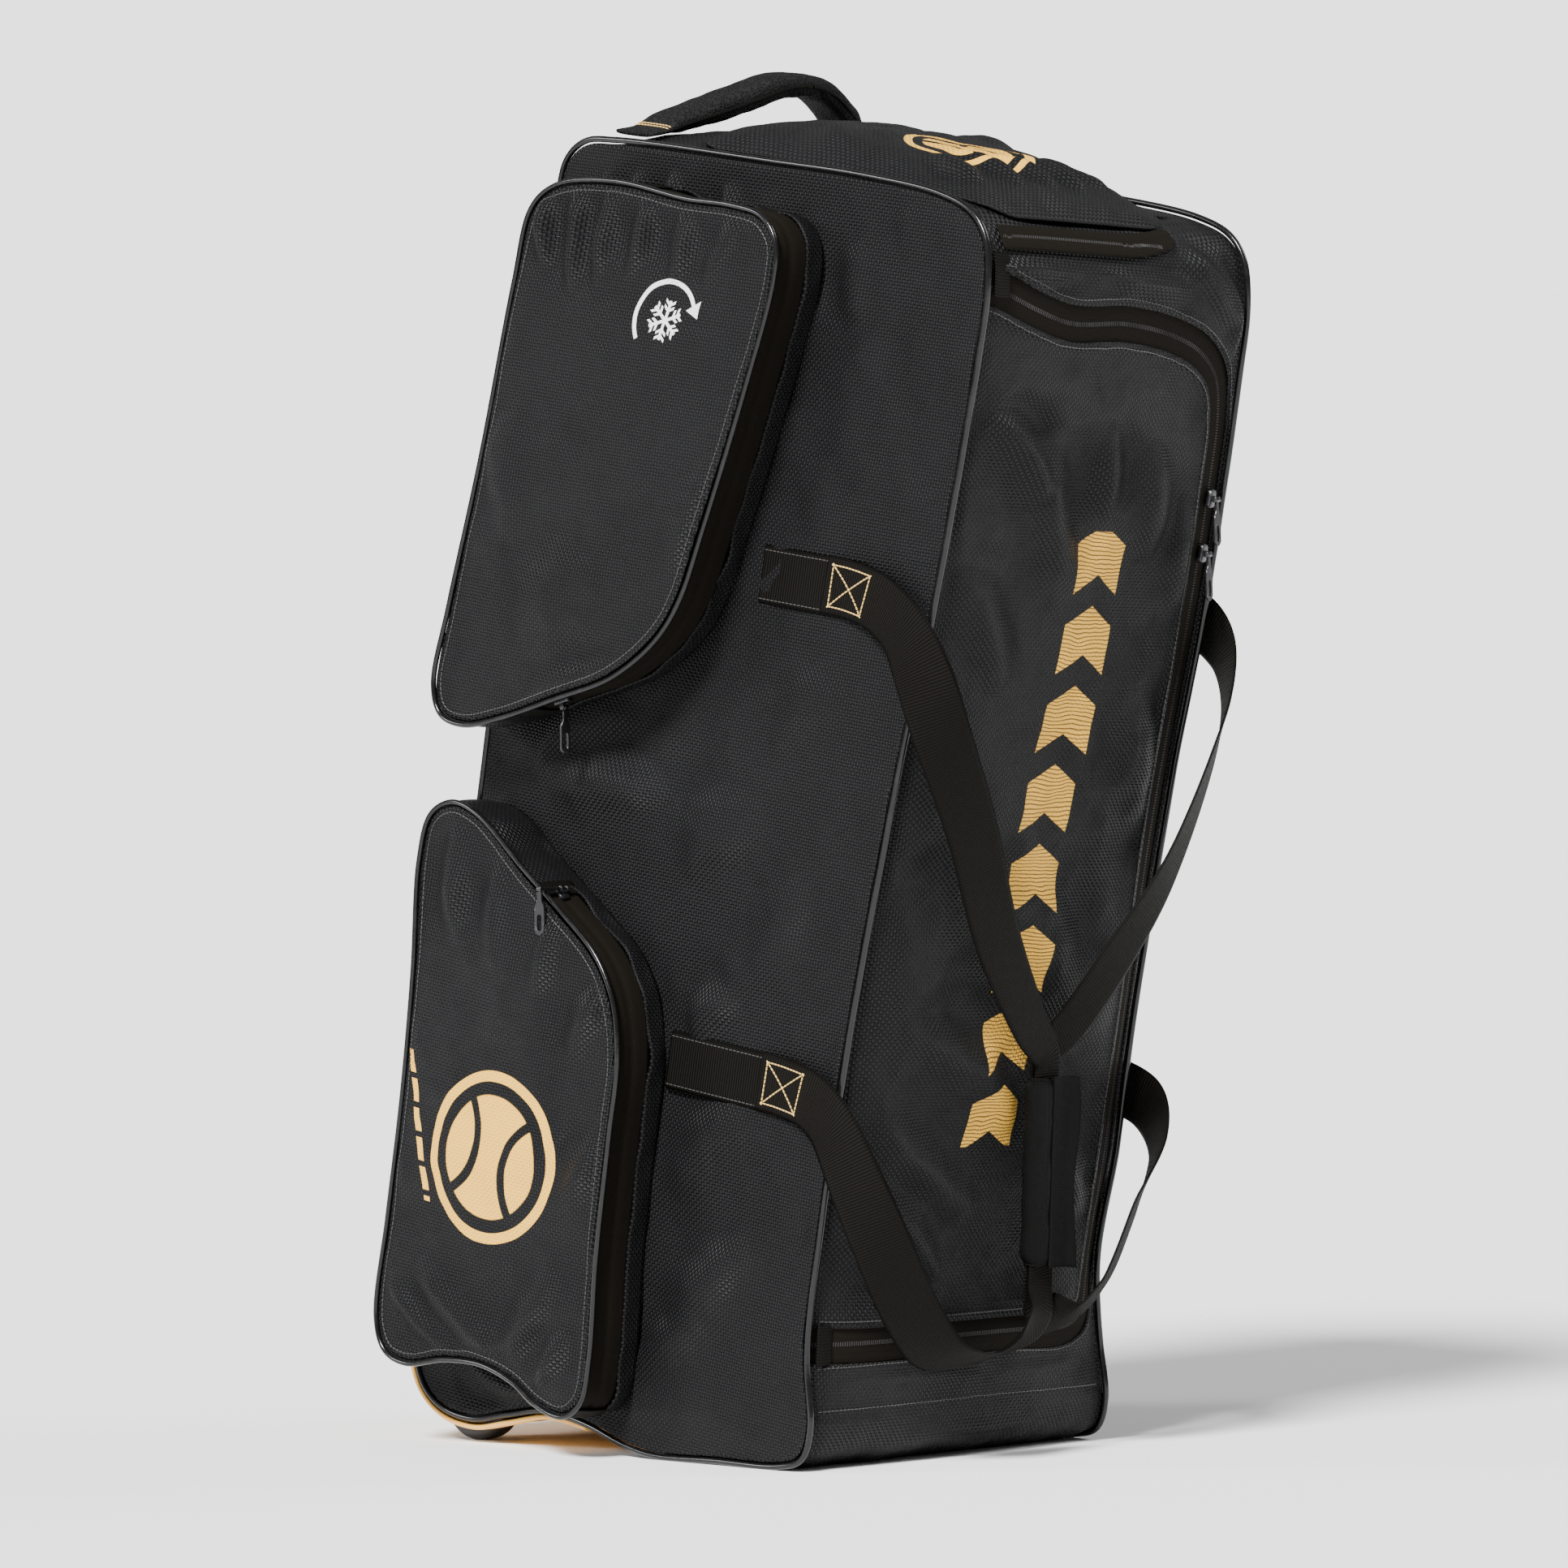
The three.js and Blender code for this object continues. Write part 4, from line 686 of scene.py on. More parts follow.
def tape(name, colour):
    """Knitted zip tape, with fine ribs along it."""
    finish, vector, u, v = cloth_finish(name)
    knit = (v * (math.pi / 0.0012)).sine().absolute()
    chain = (u * (math.pi / 0.0016) + knit * 1.2).sine().absolute()
    fuzz = finish.noise(vector, 200.0, 4.0, 0.6)
    height = knit * 0.6 + chain * 0.3 + fuzz * 0.3
    tint = finish.mix(height.step(0.1, 1.1), brighter(colour, 0.6), brighter(colour, 1.7))
    finish.set(Base_Color=tint, Roughness=0.78 + fuzz * 0.1, Normal=finish.bump(height, 0.0003, 0.6),
               Specular_IOR_Level=0.06)
    return finish.material


def smooth_cord(name, colour, roughness):
    """A glossy plastic piping, a little scuffed."""
    finish = Finish(name)
    vector, _ = finish.place()
    scuff = finish.noise(vector, 60.0, 6.0, 0.7)
    pits = finish.noise(vector, 420.0, 2.0)
    tint = finish.mix(scuff.step(0.45, 0.75), colour, brighter(colour, 2.2))
    finish.set(Base_Color=tint, Roughness=roughness + scuff * 0.16, Specular_IOR_Level=0.34,
               Normal=finish.bump(pits, 0.00012, 0.35))
    return finish.material


def moulded(name, colour, roughness):
    """Moulded plastic with a fine grain and a few scuffs."""
    finish = Finish(name)
    vector, _ = finish.place()
    fine = finish.noise(vector, 700.0, 2.0)
    cloudy = finish.noise(vector, 14.0, 4.0)
    scuff = finish.noise(finish.scaled(vector, (1.0, 5.0, 1.0)), 55.0, 7.0, 0.7).step(0.6, 0.75)
    tint = finish.mix(cloudy, brighter(colour, 0.86), brighter(colour, 1.12))
    tint = finish.mix(scuff * 0.35, tint, brighter(colour, 0.6))
    finish.set(Base_Color=tint, Roughness=roughness + fine * 0.1 + scuff * 0.15,
               Normal=finish.bump(fine, 0.00025, 0.3), Specular_IOR_Level=0.5)
    return finish.material


def plated(name, colour):
    """Dark plated metal with worn, brighter patches."""
    finish = Finish(name)
    vector, _ = finish.place()
    wear = finish.noise(vector, 150.0, 5.0, 0.7)
    brushed = finish.noise(finish.scaled(vector, (1.0, 1.0, 0.1)), 900.0, 2.0)
    tint = finish.mix(wear.step(0.55, 0.72), colour, brighter(colour, 3.0))
    finish.set(Base_Color=tint, Metallic=0.92, Roughness=0.2 + wear * 0.2 + brushed * 0.1,
               Normal=finish.bump(brushed, 0.00005, 0.4))
    return finish.material


def mesh_cloth(name, colour):
    """Padded cloth faced with an open knit."""
    finish = Finish(name)
    vector, _ = finish.place()
    cells = finish.add("ShaderNodeTexVoronoi", {"feature": "DISTANCE_TO_EDGE"}, {"Vector": vector, "Scale": 360.0})
    holes = Sum(finish, cells.outputs["Distance"]).step(0.02, 0.22)
    fuzz = finish.noise(vector, 220.0, 4.0)
    soft = finish.noise(vector, 40.0, 4.0)
    height = (1 - holes) * 0.8 + fuzz * 0.3
    tint = finish.mix(height.step(0.1, 1.0), brighter(colour, 0.5), brighter(colour, 1.9))
    normal = finish.bump(height, 0.0009, 0.8)
    finish.set(Base_Color=tint, Roughness=0.72 + fuzz * 0.1, Normal=finish.bump(soft, 0.002, 0.4, normal),
               Specular_IOR_Level=0.1)
    return finish.material


def paper(name, colour):
    """Matt backdrop paper."""
    finish = Finish(name)
    vector, _ = finish.place()
    fibre = finish.noise(vector, 300.0, 3.0)
    finish.set(Base_Color=colour, Roughness=0.9 + fibre * 0.05, Specular_IOR_Level=0.0)
    return finish.material


def thread(name, colour):
    """Twisted sewing thread."""
    finish = Finish(name)
    vector, (x, y, z) = finish.place()
    twist = ((x + y + z) * 5200.0).sine()
    tint = finish.mix(twist.step(-1, 1), brighter(colour, 0.7), brighter(colour, 1.15))
    finish.set(Base_Color=tint, Roughness=0.5 + finish.noise(vector, 300.0) * 0.1,
               Normal=finish.bump(twist, 0.0001, 0.5), Sheen_Weight=0.2)
    return finish.material


# Materials of this bag, made once and shared

SHELF = {}


def finish_for(key):
    """The bag's finishes by their plain names."""
    if key not in SHELF:
        scene = bpy.context.scene
        cloth, trim, base = scene.kit_bag_cloth, scene.kit_bag_trim, scene.kit_bag_base
        make = {
            "nylon": lambda: nylon("Black nylon", cloth),
            "lid": lambda: nylon("Printed lid nylon", cloth, lid_print),
            "cool": lambda: nylon("Printed cool pocket nylon", cloth, cool_print),
            "lower": lambda: nylon("Printed lower pocket nylon", cloth, lower_print),
            "end": lambda: nylon("Printed end pocket nylon", cloth, end_print),
            "webbing": lambda: webbing("Ribbed webbing", trim.webbing_colour),
            "tape": lambda: tape("Zip tape", trim.zip_colour),
            "coil": lambda: moulded("Zip coil", (0.005, 0.0045, 0.004), 0.6),
            "piping": lambda: smooth_cord("Glossy piping", (0.004, 0.004, 0.0042), 0.1),
            "grip": lambda: webbing("Grip cloth", (0.0032, 0.0031, 0.003), 0.0012),
            "padding": lambda: mesh_cloth("Padded mesh cloth", (0.006, 0.006, 0.0062)),
            "guard": lambda: moulded("Guard plastic", base.guard_colour, 0.38),
            "housing": lambda: moulded("Housing plastic", (0.014, 0.014, 0.015), 0.5),
            "tyre": lambda: moulded("Wheel plastic", (0.010, 0.010, 0.011), 0.48),
            "metal": lambda: plated("Dark plated metal", (0.05, 0.05, 0.053)),
            "gold thread": lambda: thread("Gold thread", trim.thread_colour),
            "black thread": lambda: thread("Black thread", (0.022, 0.021, 0.019)),
        }
        SHELF[key] = make[key]()
    return SHELF[key]


def ring_mask(x, y, radius, width):
    """A ring round the origin of a plane of numbers."""
    return 1 - ((x * x + y * y).root() - radius).absolute().step(width / 2 - 0.0003, width / 2 + 0.0003)


def ball_motif(x, y, size):
    """A plain ball in a ring, with two curved seams: a generic cricket motif."""
    far = (x * x + y * y).root()
    ring = ring_mask(x, y, size * 0.9, size * 0.12)
    disc = 1 - far.step(size * 0.68, size * 0.7)
    seams = None
    for side in (-1, 1):
        dx = x - side * size * 0.95
        away = ((dx * dx + y * y).root() - size * 0.72).absolute()
        line = 1 - away.step(size * 0.05, size * 0.065)
        seams = line if seams is None else seams.most(line)
    return ring.most(disc * (1 - seams))


# How wide the round arrow of the cool pocket's print is, in metres
ARROW_RADIUS = 0.0265


def turned(x, y, degrees):
    c, s = math.cos(math.radians(degrees)), math.sin(math.radians(degrees))
    return x * c + y * s, y * c - x * s


def lid_print(finish, u, v, settings):
    """A column of gold chevron bars up the lid."""
    up = v - 0.245
    x = u + 0.010 - up * 0.056
    half = 0.0245
    inside = (1 - x.absolute().step(half - 0.0004, half + 0.0004)) * up.step(-0.0004, 0.0004)
    inside = inside * (1 - up.step(0.4245, 0.4253))
    slanted = (up + x.absolute() * 0.55).wrapped(0.055)
    bars = 1 - (slanted - 0.0275).absolute().step(0.0165, 0.0172)
    grain = ((up * 2300.0 + finish.noise(finish.place()[0], 26.0, 2.0) * 26.0).sine()).step(-0.75, -0.4)
    return [(inside * bars * (0.25 + 0.75 * grain), settings.print_colour)]


def cool_print(finish, u, v, settings):
    """A white snowflake under a round arrow on the cool pocket."""
    x, y = turned(u - 0.030, v - 0.777, 8)
    far = (x * x + y * y).root()
    across, along = turned(x, y, -38)
    total = ring_mask(across, along, ARROW_RADIUS, 0.0034) * along.step(-0.002, -0.0015)
    for turn in (0, 60, 120):
        a, b = turned(x, y, turn)
        arm = (1 - a.absolute().step(0.0009, 0.0013)) * (1 - b.absolute().step(0.0135, 0.0139))
        total = total.most(arm)
        for place in (0.0065, 0.0105):
            slope = (b.absolute() - place - a.absolute() * 0.7).absolute()
            barb = (1 - slope.step(0.0009, 0.0013)) * (1 - a.absolute().step(0.0042, 0.0046))
            total = total.most(barb)
    hub = 1 - far.step(0.0022, 0.0026)
    below = -0.001 - along
    tip = 1 - ((across + ARROW_RADIUS).absolute() + below * 0.75).step(0.0072, 0.0076)
    total = total.most(tip * below.step(-0.0003, 0.0003))
    return [(total.most(hub), (0.78, 0.78, 0.78))]


def lower_print(finish, u, v, settings):
    """A gold ball motif and a thin gold bar on the lower pocket."""
    x, y = turned(u - 0.088, v - 0.193, 10)
    ball = ball_motif(x, y, 0.062)
    leaning = u - 0.147 - (v - 0.15) * 0.33
    bar = (1 - leaning.absolute().step(0.0028, 0.0032)) * (1 - (v - 0.201).absolute().step(0.05, 0.0505))
    dashes = (v.wrapped(0.0195) - 0.00975).absolute().step(0.0075, 0.0079)
    return [(ball.most(bar * (1 - dashes)), settings.print_colour)]


def end_print(finish, u, v, settings):
    """The same ball motif on the end pocket."""
    return [(ball_motif(u + 0.040, v + 0.088, 0.047), settings.print_colour)]


# Cloth folds: u0, v0, u1, v1, width, height and bend of each, in millimetres

LID_FOLDS = (
    (-120, 742, -58, 690, 13, 4.5, 8), (-60, 735, -20, 640, 16, 3.2, -6), (5, 745, 12, 680, 12, 2.6, 0),
    (50, 735, 62, 650, 14, 2.6, 6), (95, 700, 96, 600, 14, 2.4, 4), (-125, 640, -70, 560, 18, 2.6, 9),
    (-110, 330, 20, 260, 16, 3.4, 8), (-120, 270, -10, 200, 15, 3.0, -8), (-125, 215, -40, 150, 14, 2.8, 6),
    (-30, 420, 60, 340, 22, 2.2, 10), (30, 300, 110, 190, 17, 2.6, -8), (60, 560, 105, 470, 20, 2.0, 6),
    (-100, 480, -60, 380, 22, 1.6, 6), (-125, 128, -30, 142, 9, 1.6, 0), (20, 135, 100, 128, 9, 1.6, 0),
)
BORDER_FOLDS = (
    (-132, 838, -40, 846, 9, 3.2, 3), (-30, 846, 80, 838, 9, 3.0, -3), (60, 868, 118, 812, 12, 3.2, 6),
    (110, 860, 128, 790, 9, 2.6, 4), (-120, 855, 40, 862, 7, 2.2, 0), (-130, 88, 20, 84, 9, 1.4, 2),
    (30, 86, 130, 90, 9, 1.4, -2), (128, 240, 134, 130, 9, 2.2, 5), (-60, 48, 90, 46, 8, 1.2, 0),
)
SIDE_FOLDS = (
    (150, 868, 158, 805, 9, 3.4, 2), (120, 872, 128, 800, 9, 3.8, 2), (88, 874, 98, 815, 9, 3.4, -2),
    (40, 872, 30, 835, 8, 2.4, 0), (-80, 845, -96, 790, 12, 1.8, 3), (-60, 470, -10, 400, 26, 2.6, 8),
    (-110, 420, -60, 330, 24, 2.2, -8), (60, 505, 150, 455, 20, 3.0, 9), (20, 455, 130, 442, 18, 3.2, 6),
    (-90, 255, -30, 190, 20, 2.4, 6), (-105, 170, -40, 110, 18, 2.6, -6), (-70, 330, -28, 300, 14, 2.8, 4),
    (-75, 110, -20, 60, 15, 2.4, 4), (150, 40, 40, 22, 12, 3.0, 4), (-120, 560, -70, 500, 20, 1.6, 4),
)
COOL_FOLDS = (
    (160, 858, 150, 800, 8, 2.8, 2), (128, 860, 122, 785, 9, 3.0, 0), (96, 860, 98, 792, 8, 2.6, 2),
    (62, 858, 70, 800, 8, 2.6, -2), (25, 852, 30, 800, 9, 2.2, 0), (-20, 850, 2, 800, 10, 2.0, 0),
    (170, 700, 150, 610, 18, 1.8, 5), (60, 600, 140, 560, 22, 1.8, 8), (20, 540, 120, 500, 12, 1.6, 3),
    (-30, 700, 0, 610, 18, 1.4, -5),
)
LOWER_FOLDS = (
    (165, 410, 150, 330, 12, 2.6, 3), (120, 395, 112, 320, 12, 2.2, 0), (60, 370, 66, 310, 10, 2.0, 0),
    (0, 330, 30, 270, 12, 2.4, 4), (150, 110, 60, 60, 14, 3.2, 6), (175, 90, 100, 46, 9, 2.6, 3),
    (20, 130, 60, 60, 14, 2.6, -4), (0, 90, 25, 45, 10, 2.6, 0), (-8, 230, 14, 170, 12, 1.8, 3),
)
END_FOLDS = (
    (-95, -150, -88, -95, 8, 2.0, 2), (-62, -160, -60, -92, 8, 2.2, 0), (-30, -162, -32, -100, 8, 2.2, -2),
    (2, -160, -4, -98, 8, 2.2, 0), (34, -155, 24, -95, 8, 1.9, 2), (-110, -40, -60, 10, 16, 1.6, 5),
    (50, -60, 60, 30, 14, 1.5, 4),
)
ZIP_PATH = (
    (-1.2, 1.04), (-0.93, 1.028), (-0.66, 1.012), (-0.38, 1.001), (0.04, 1.004), (0.42, 0.996), (0.66, 0.981),
    (0.82, 0.955), (0.88, 0.915), (0.885, 0.85), (0.885, 0.6), (0.88, 0.35), (0.87, 0.16), (0.86, 0.06),
    (0.82, 0.015), (0.7, 0), (0.3, 0), (-0.2, 0), (-0.7, 0), (-1.2, 0),
)
ZIP_FOOT, ZIP_HEAD, ZIP_TAPE, TAPE_THICK = 112.0, 808.0, 24.0, 1.0

# Where the panels of the wrap end, in rows of the side outline, and the gap between two of them
FRONT_START, FRONT_END, TOP_END, BACK_END, ROW_GAP = 0.5, 13, 18, 23, 0.008
BAND_SEAM = 64.0


def zip_line(step=4.0):
    """The middle of the lid's zip over (x, z), from the upper left end round to the lower one."""
    rows = []
    for across, up in ZIP_PATH:
        z = ZIP_FOOT + (ZIP_HEAD - ZIP_FOOT) * up
        rows.append((across * half_width(LEFT, 0, z), z))
    fine = catmull(rows, False, np.linspace(0, 1, 600))
    return resample(fine, step)[0]


def lid_distance(x, z):
    """Signed distance from the lid's zip, positive on the lid."""
    line = zip_line()
    inside = distance(np.vstack([line, [(-400, line[-1, 1]), (-400, line[0, 1])]]), x, z) > 0
    away = np.abs(distance(line, x, z, closed=False))
    return np.where(inside, away, -away)


def creases():
    return bpy.context.scene.kit_bag_cloth.creases


def wavy(points, cloth, height, seam, seed, rows=()):
    """Adds folds and a soft unevenness that fade out at the seams."""
    normal = normals_of(points)
    level = folds(cloth[..., 0], cloth[..., 1], rows) if len(rows) else 0
    level = level + height * ripple(points, 62.0, seed) + 0.35 * height * ripple(points, 21.0, seed + 5)
    fade = smooth(np.clip(seam / 14.0, 0, 1))
    return points + normal * (level * fade * creases())[..., None]


def edge_lift(gap, reach, rise):
    """A turned hem: the cloth stands a little proud beside its cut edge."""
    return rise * np.exp(-(((gap - reach) / reach) ** 2))


class KITBAG_OT_shell(bpy.types.Operator):
    """Makes the wrap: lid, lid border, zip tape, head, back and foot"""

    bl_idname = "kitbag.shell"
    bl_label = "Shell"

    def execute(self, context):
        run = stations(FRONT_START, FRONT_END, 3.6)
        points, cloth = wrap(run, even_shares(92))
        base_z = points[..., 2]
        seam = seam_distance(points)
        cloth = stack(points[..., 0], base_z)
        gap = lid_distance(points[..., 0], base_z)
        normal = normals_of(points)
        half_tape = ZIP_TAPE / 2

        lid_gap = gap - half_tape
        lid = wavy(points, cloth, 1.1, np.minimum(seam, lid_gap), 1, LID_FOLDS)
        lid = lid + normal * edge_lift(lid_gap, 3.2, 1.4)[..., None]
        settle(panel("lid_cloth", lid, cloth, lid_gap, finish_for("lid")), "bag", ["lid_panel"])

        border_gap = -gap - half_tape
        border = wavy(points, cloth, 0.8, np.minimum(seam, border_gap + 6), 2, BORDER_FOLDS)
        border = border + normal * edge_lift(border_gap, 2.8, 1.0)[..., None]
        foot_band = np.clip((BAND_SEAM - base_z) / 1.6, 0, 1)
        border = border + normal * (1.1 * foot_band)[..., None]
        border = points + (border - points) * np.clip(off_end_zip(points) / 8, 0, 1)[..., None]
        piece = panel("lid_border_cloth", border, cloth, border_gap, finish_for("nylon"))
        settle(piece, "bag", ["front_border"])

        sunk = points - normal * 1.0
        tape_cloth = stack(cloth[..., 1], gap)
        piece = panel("lid_zip_tape", sunk, tape_cloth, half_tape + 2.5 - np.abs(gap),
                      finish_for("tape"), TAPE_THICK)
        settle(piece, "bag", ["lid_zip"])

        for name, low, high, seed, node in (
            ("head_cloth", FRONT_END, TOP_END, 3, "top_panel"),
            ("back_cloth", TOP_END, BACK_END, 4, "back_panel"),
            ("foot_cloth", BACK_END, ROWS + FRONT_START, 5, "base_panel"),
        ):
            run = stations(low + ROW_GAP, high - ROW_GAP, 4.2)
            points, cloth = wrap(run, even_shares(72))
            ends = np.minimum(run["at"], run["at"][-1] - run["at"])[:, None]
            soft = 0.35 if node == "base_panel" else 1.2
            points = wavy(points, cloth, soft, np.minimum(seam_distance(points), ends), seed)
            keep = None if node == "top_panel" else well_distance(points)
            piece = panel(name, points, cloth, keep, finish_for("nylon"))
            if node == "base_panel":
                stand_on_floor(piece)
            settle(piece, "bag", [node])
        return {"FINISHED"}


def stand_on_floor(piece):
    """No point of a piece goes under the floor."""
    for vertex in piece.data.vertices:
        vertex.co.z = max(vertex.co.z, 0.0)


WHEEL_RADIUS, WHEEL_WIDTH, WHEEL_DEPTH, WHEEL_INSET = 30.0, 24.0, 147.0, 28.0
HOUSING_REACH, HOUSING_WIDTH = 35.0, 34.0


def wheel_place(side):
    z = (WHEEL_RADIUS - WHEEL_DEPTH * math.sin(LEAN)) / math.cos(LEAN)
    return np.array([side * (FOOT_WIDTH / 2 - WHEEL_INSET), WHEEL_DEPTH, z])


def well_distance(points, grow=GAP):
    """Signed distance to the wheel wells, positive outside them."""
    nearest = np.full(points.shape[:-1], 1e9)
    for side in (LEFT, RIGHT):
        middle = wheel_place(side)
        dx = np.abs(points[..., 0] - middle[0]) - HOUSING_WIDTH / 2 - grow
        dy = np.abs(points[..., 1] - middle[1]) - HOUSING_REACH - grow
        dz = points[..., 2] - middle[2] - grow
        nearest = np.minimum(nearest, np.maximum(np.maximum(dx, dy), dz))
    return nearest


class KITBAG_OT_sides(bpy.types.Operator):
    """Makes the two side panels and the piping round them"""

    bl_idname = "kitbag.sides"
    bl_label = "Sides"

    def execute(self, context):
        loop = stations(0, ROWS, 3.2)
        outline = loop["place"][:-1, 1:]
        y, z = np.meshgrid(np.linspace(-202, 200, 112), np.linspace(-18, 892, 252))
        inside = distance(outline[::2], y, z) - 0.4
        for side, name in SIDES.items():
            turn = -1 if side == LEFT else 1
            points, keep = side_points(side, y, z, GAP + 2)[:, ::turn], inside[:, ::turn]
            cloth = points[..., 1:].copy()
            rows = SIDE_FOLDS if side == LEFT else SIDE_FOLDS[4:] + SIDE_FOLDS[:2]
            points = wavy(points, cloth, 1.0, np.maximum(keep, 0), 6 + side, rows)
            piece = panel(f"side_cloth_{name}", points, cloth, keep, finish_for("nylon"))
            settle(piece, "bag", [f"side_panel_{name}"])

            path = loop["place"][:-1] + loop["normal"][:-1] * (PIPING + 2 * GAP)
            path[:, 0] = side * (half_width(side, path[:, 1], path[:, 2]) + GAP + 1)
            wander = np.array([noise.noise(Vector(p) / 38.0) for p in path])
            path[:, 0] += side * 0.5 * wander
            cord = tube(f"side_piping_{name}", path, PIPING, finish_for("piping"), 12)
            stand_on_floor(cord)
            settle(cord, "bag", [f"piping_{name}"])
        return {"FINISHED"}


# The two side pockets: outlines as shares of each pocket's width and height
COOL_OUTLINE = (
    (0.793, 0.979), (0.59, 1), (0.326, 0.987), (0.169, 0.987), (0.065, 0.976), (0.012, 0.94), (0, 0.876),
    (0.046, 0.679), (0.123, 0.426), (0.172, 0.292), (0.234, 0.218), (0.368, 0.139), (0.556, 0.082),
    (0.751, 0.026), (0.885, 0), (0.965, 0.01), (1, 0.057), (0.981, 0.197), (0.931, 0.484), (0.893, 0.8),
    (0.866, 0.935),
)
LOWER_OUTLINE = (
    (0.898, 1), (0.781, 0.99), (0.54, 0.913), (0.381, 0.864), (0.2, 0.803), (0.126, 0.76), (0.074, 0.708),
    (0.037, 0.621), (0.033, 0.496), (0.023, 0.276), (0, 0.115), (0.012, 0.035), (0.074, 0.003), (0.191, 0.01),
    (0.298, 0.036), (0.451, 0.051), (0.62, 0.04), (0.79, 0.014), (0.88, 0.026), (0.93, 0.075), (0.935, 0.253),
    (0.94, 0.473), (0.963, 0.691), (1, 0.89), (0.977, 0.972),
)
POCKET_DEPTH, POCKET_CROWN, POCKET_STRIP, POCKET_PIPING = 48.0, 7.0, 18.0, 1.9
POCKET_BACK_LIMIT, POCKET_PUFF = 184.0, 1.6
SIDE_FACE = GAP + 2
POCKETS = {
    "cool_pocket": {"rows": COOL_OUTLINE, "front": -56, "width": 261, "low": 482, "height": 380,
                    "zip": (0.06, 0.6), "folds": COOL_FOLDS, "finish": "cool", "seed": 11},
    "lower_pocket": {"rows": LOWER_OUTLINE, "front": -18, "width": 215, "low": 32, "height": 391,
                     "zip": (0.1, 0.47), "folds": LOWER_FOLDS, "finish": "lower", "seed": 17},
}


def pocket_run(pocket, low=0.0, high=1.0, step=3.0):
    """Even stations round a pocket: places over (y, z), outward directions, shares and lengths."""
    rows = [(pocket["front"] + a * pocket["width"], pocket["low"] + u * pocket["height"]) for a, u in pocket["rows"]]
    shares = np.linspace(low, high, 900)
    fine = catmull(rows, True, shares % 1)
    places, at, share = resample(fine, step, extra=shares[:, None])
    tangent = unit(np.gradient(places, axis=0))
    if high - low > 0.999:
        places, at, share, tangent = places[:-1], at[:-1], share[:-1], tangent[:-1]
    normal = stack(tangent[:, 1], -tangent[:, 0])
    return {"place": places, "normal": normal, "share": share[:, 0], "at": at}


def puffed(out):
    """How far a pocket's wall swells at a distance out from the side panel."""
    return POCKET_PUFF * np.sin(math.pi * out / POCKET_DEPTH)


def gusset_points(run, inset, out):
    """Points of a pocket's wall at a distance in from its outline and out from the side panel."""
    place = run["place"][:, None, :] - run["normal"][:, None, :] * np.asarray(inset)[..., None]
    foot = np.minimum(place[..., 0], POCKET_BACK_LIMIT - inset)
    y = foot + (place[..., 0] - foot) * np.clip(np.asarray(out) / POCKET_DEPTH, 0, 1)
    return side_points(LEFT, y, place[..., 1], SIDE_FACE + out)


def pocket_front_points(pocket, y, z):
    u = np.clip((y - pocket["front"]) / pocket["width"], 0, 1)
    v = np.clip((z - pocket["low"]) / pocket["height"], 0, 1)
    rise = POCKET_CROWN * np.sin(math.pi * u) * np.sin(math.pi * v)
    return side_points(LEFT, y, z, SIDE_FACE + POCKET_DEPTH + CLOTH + rise)


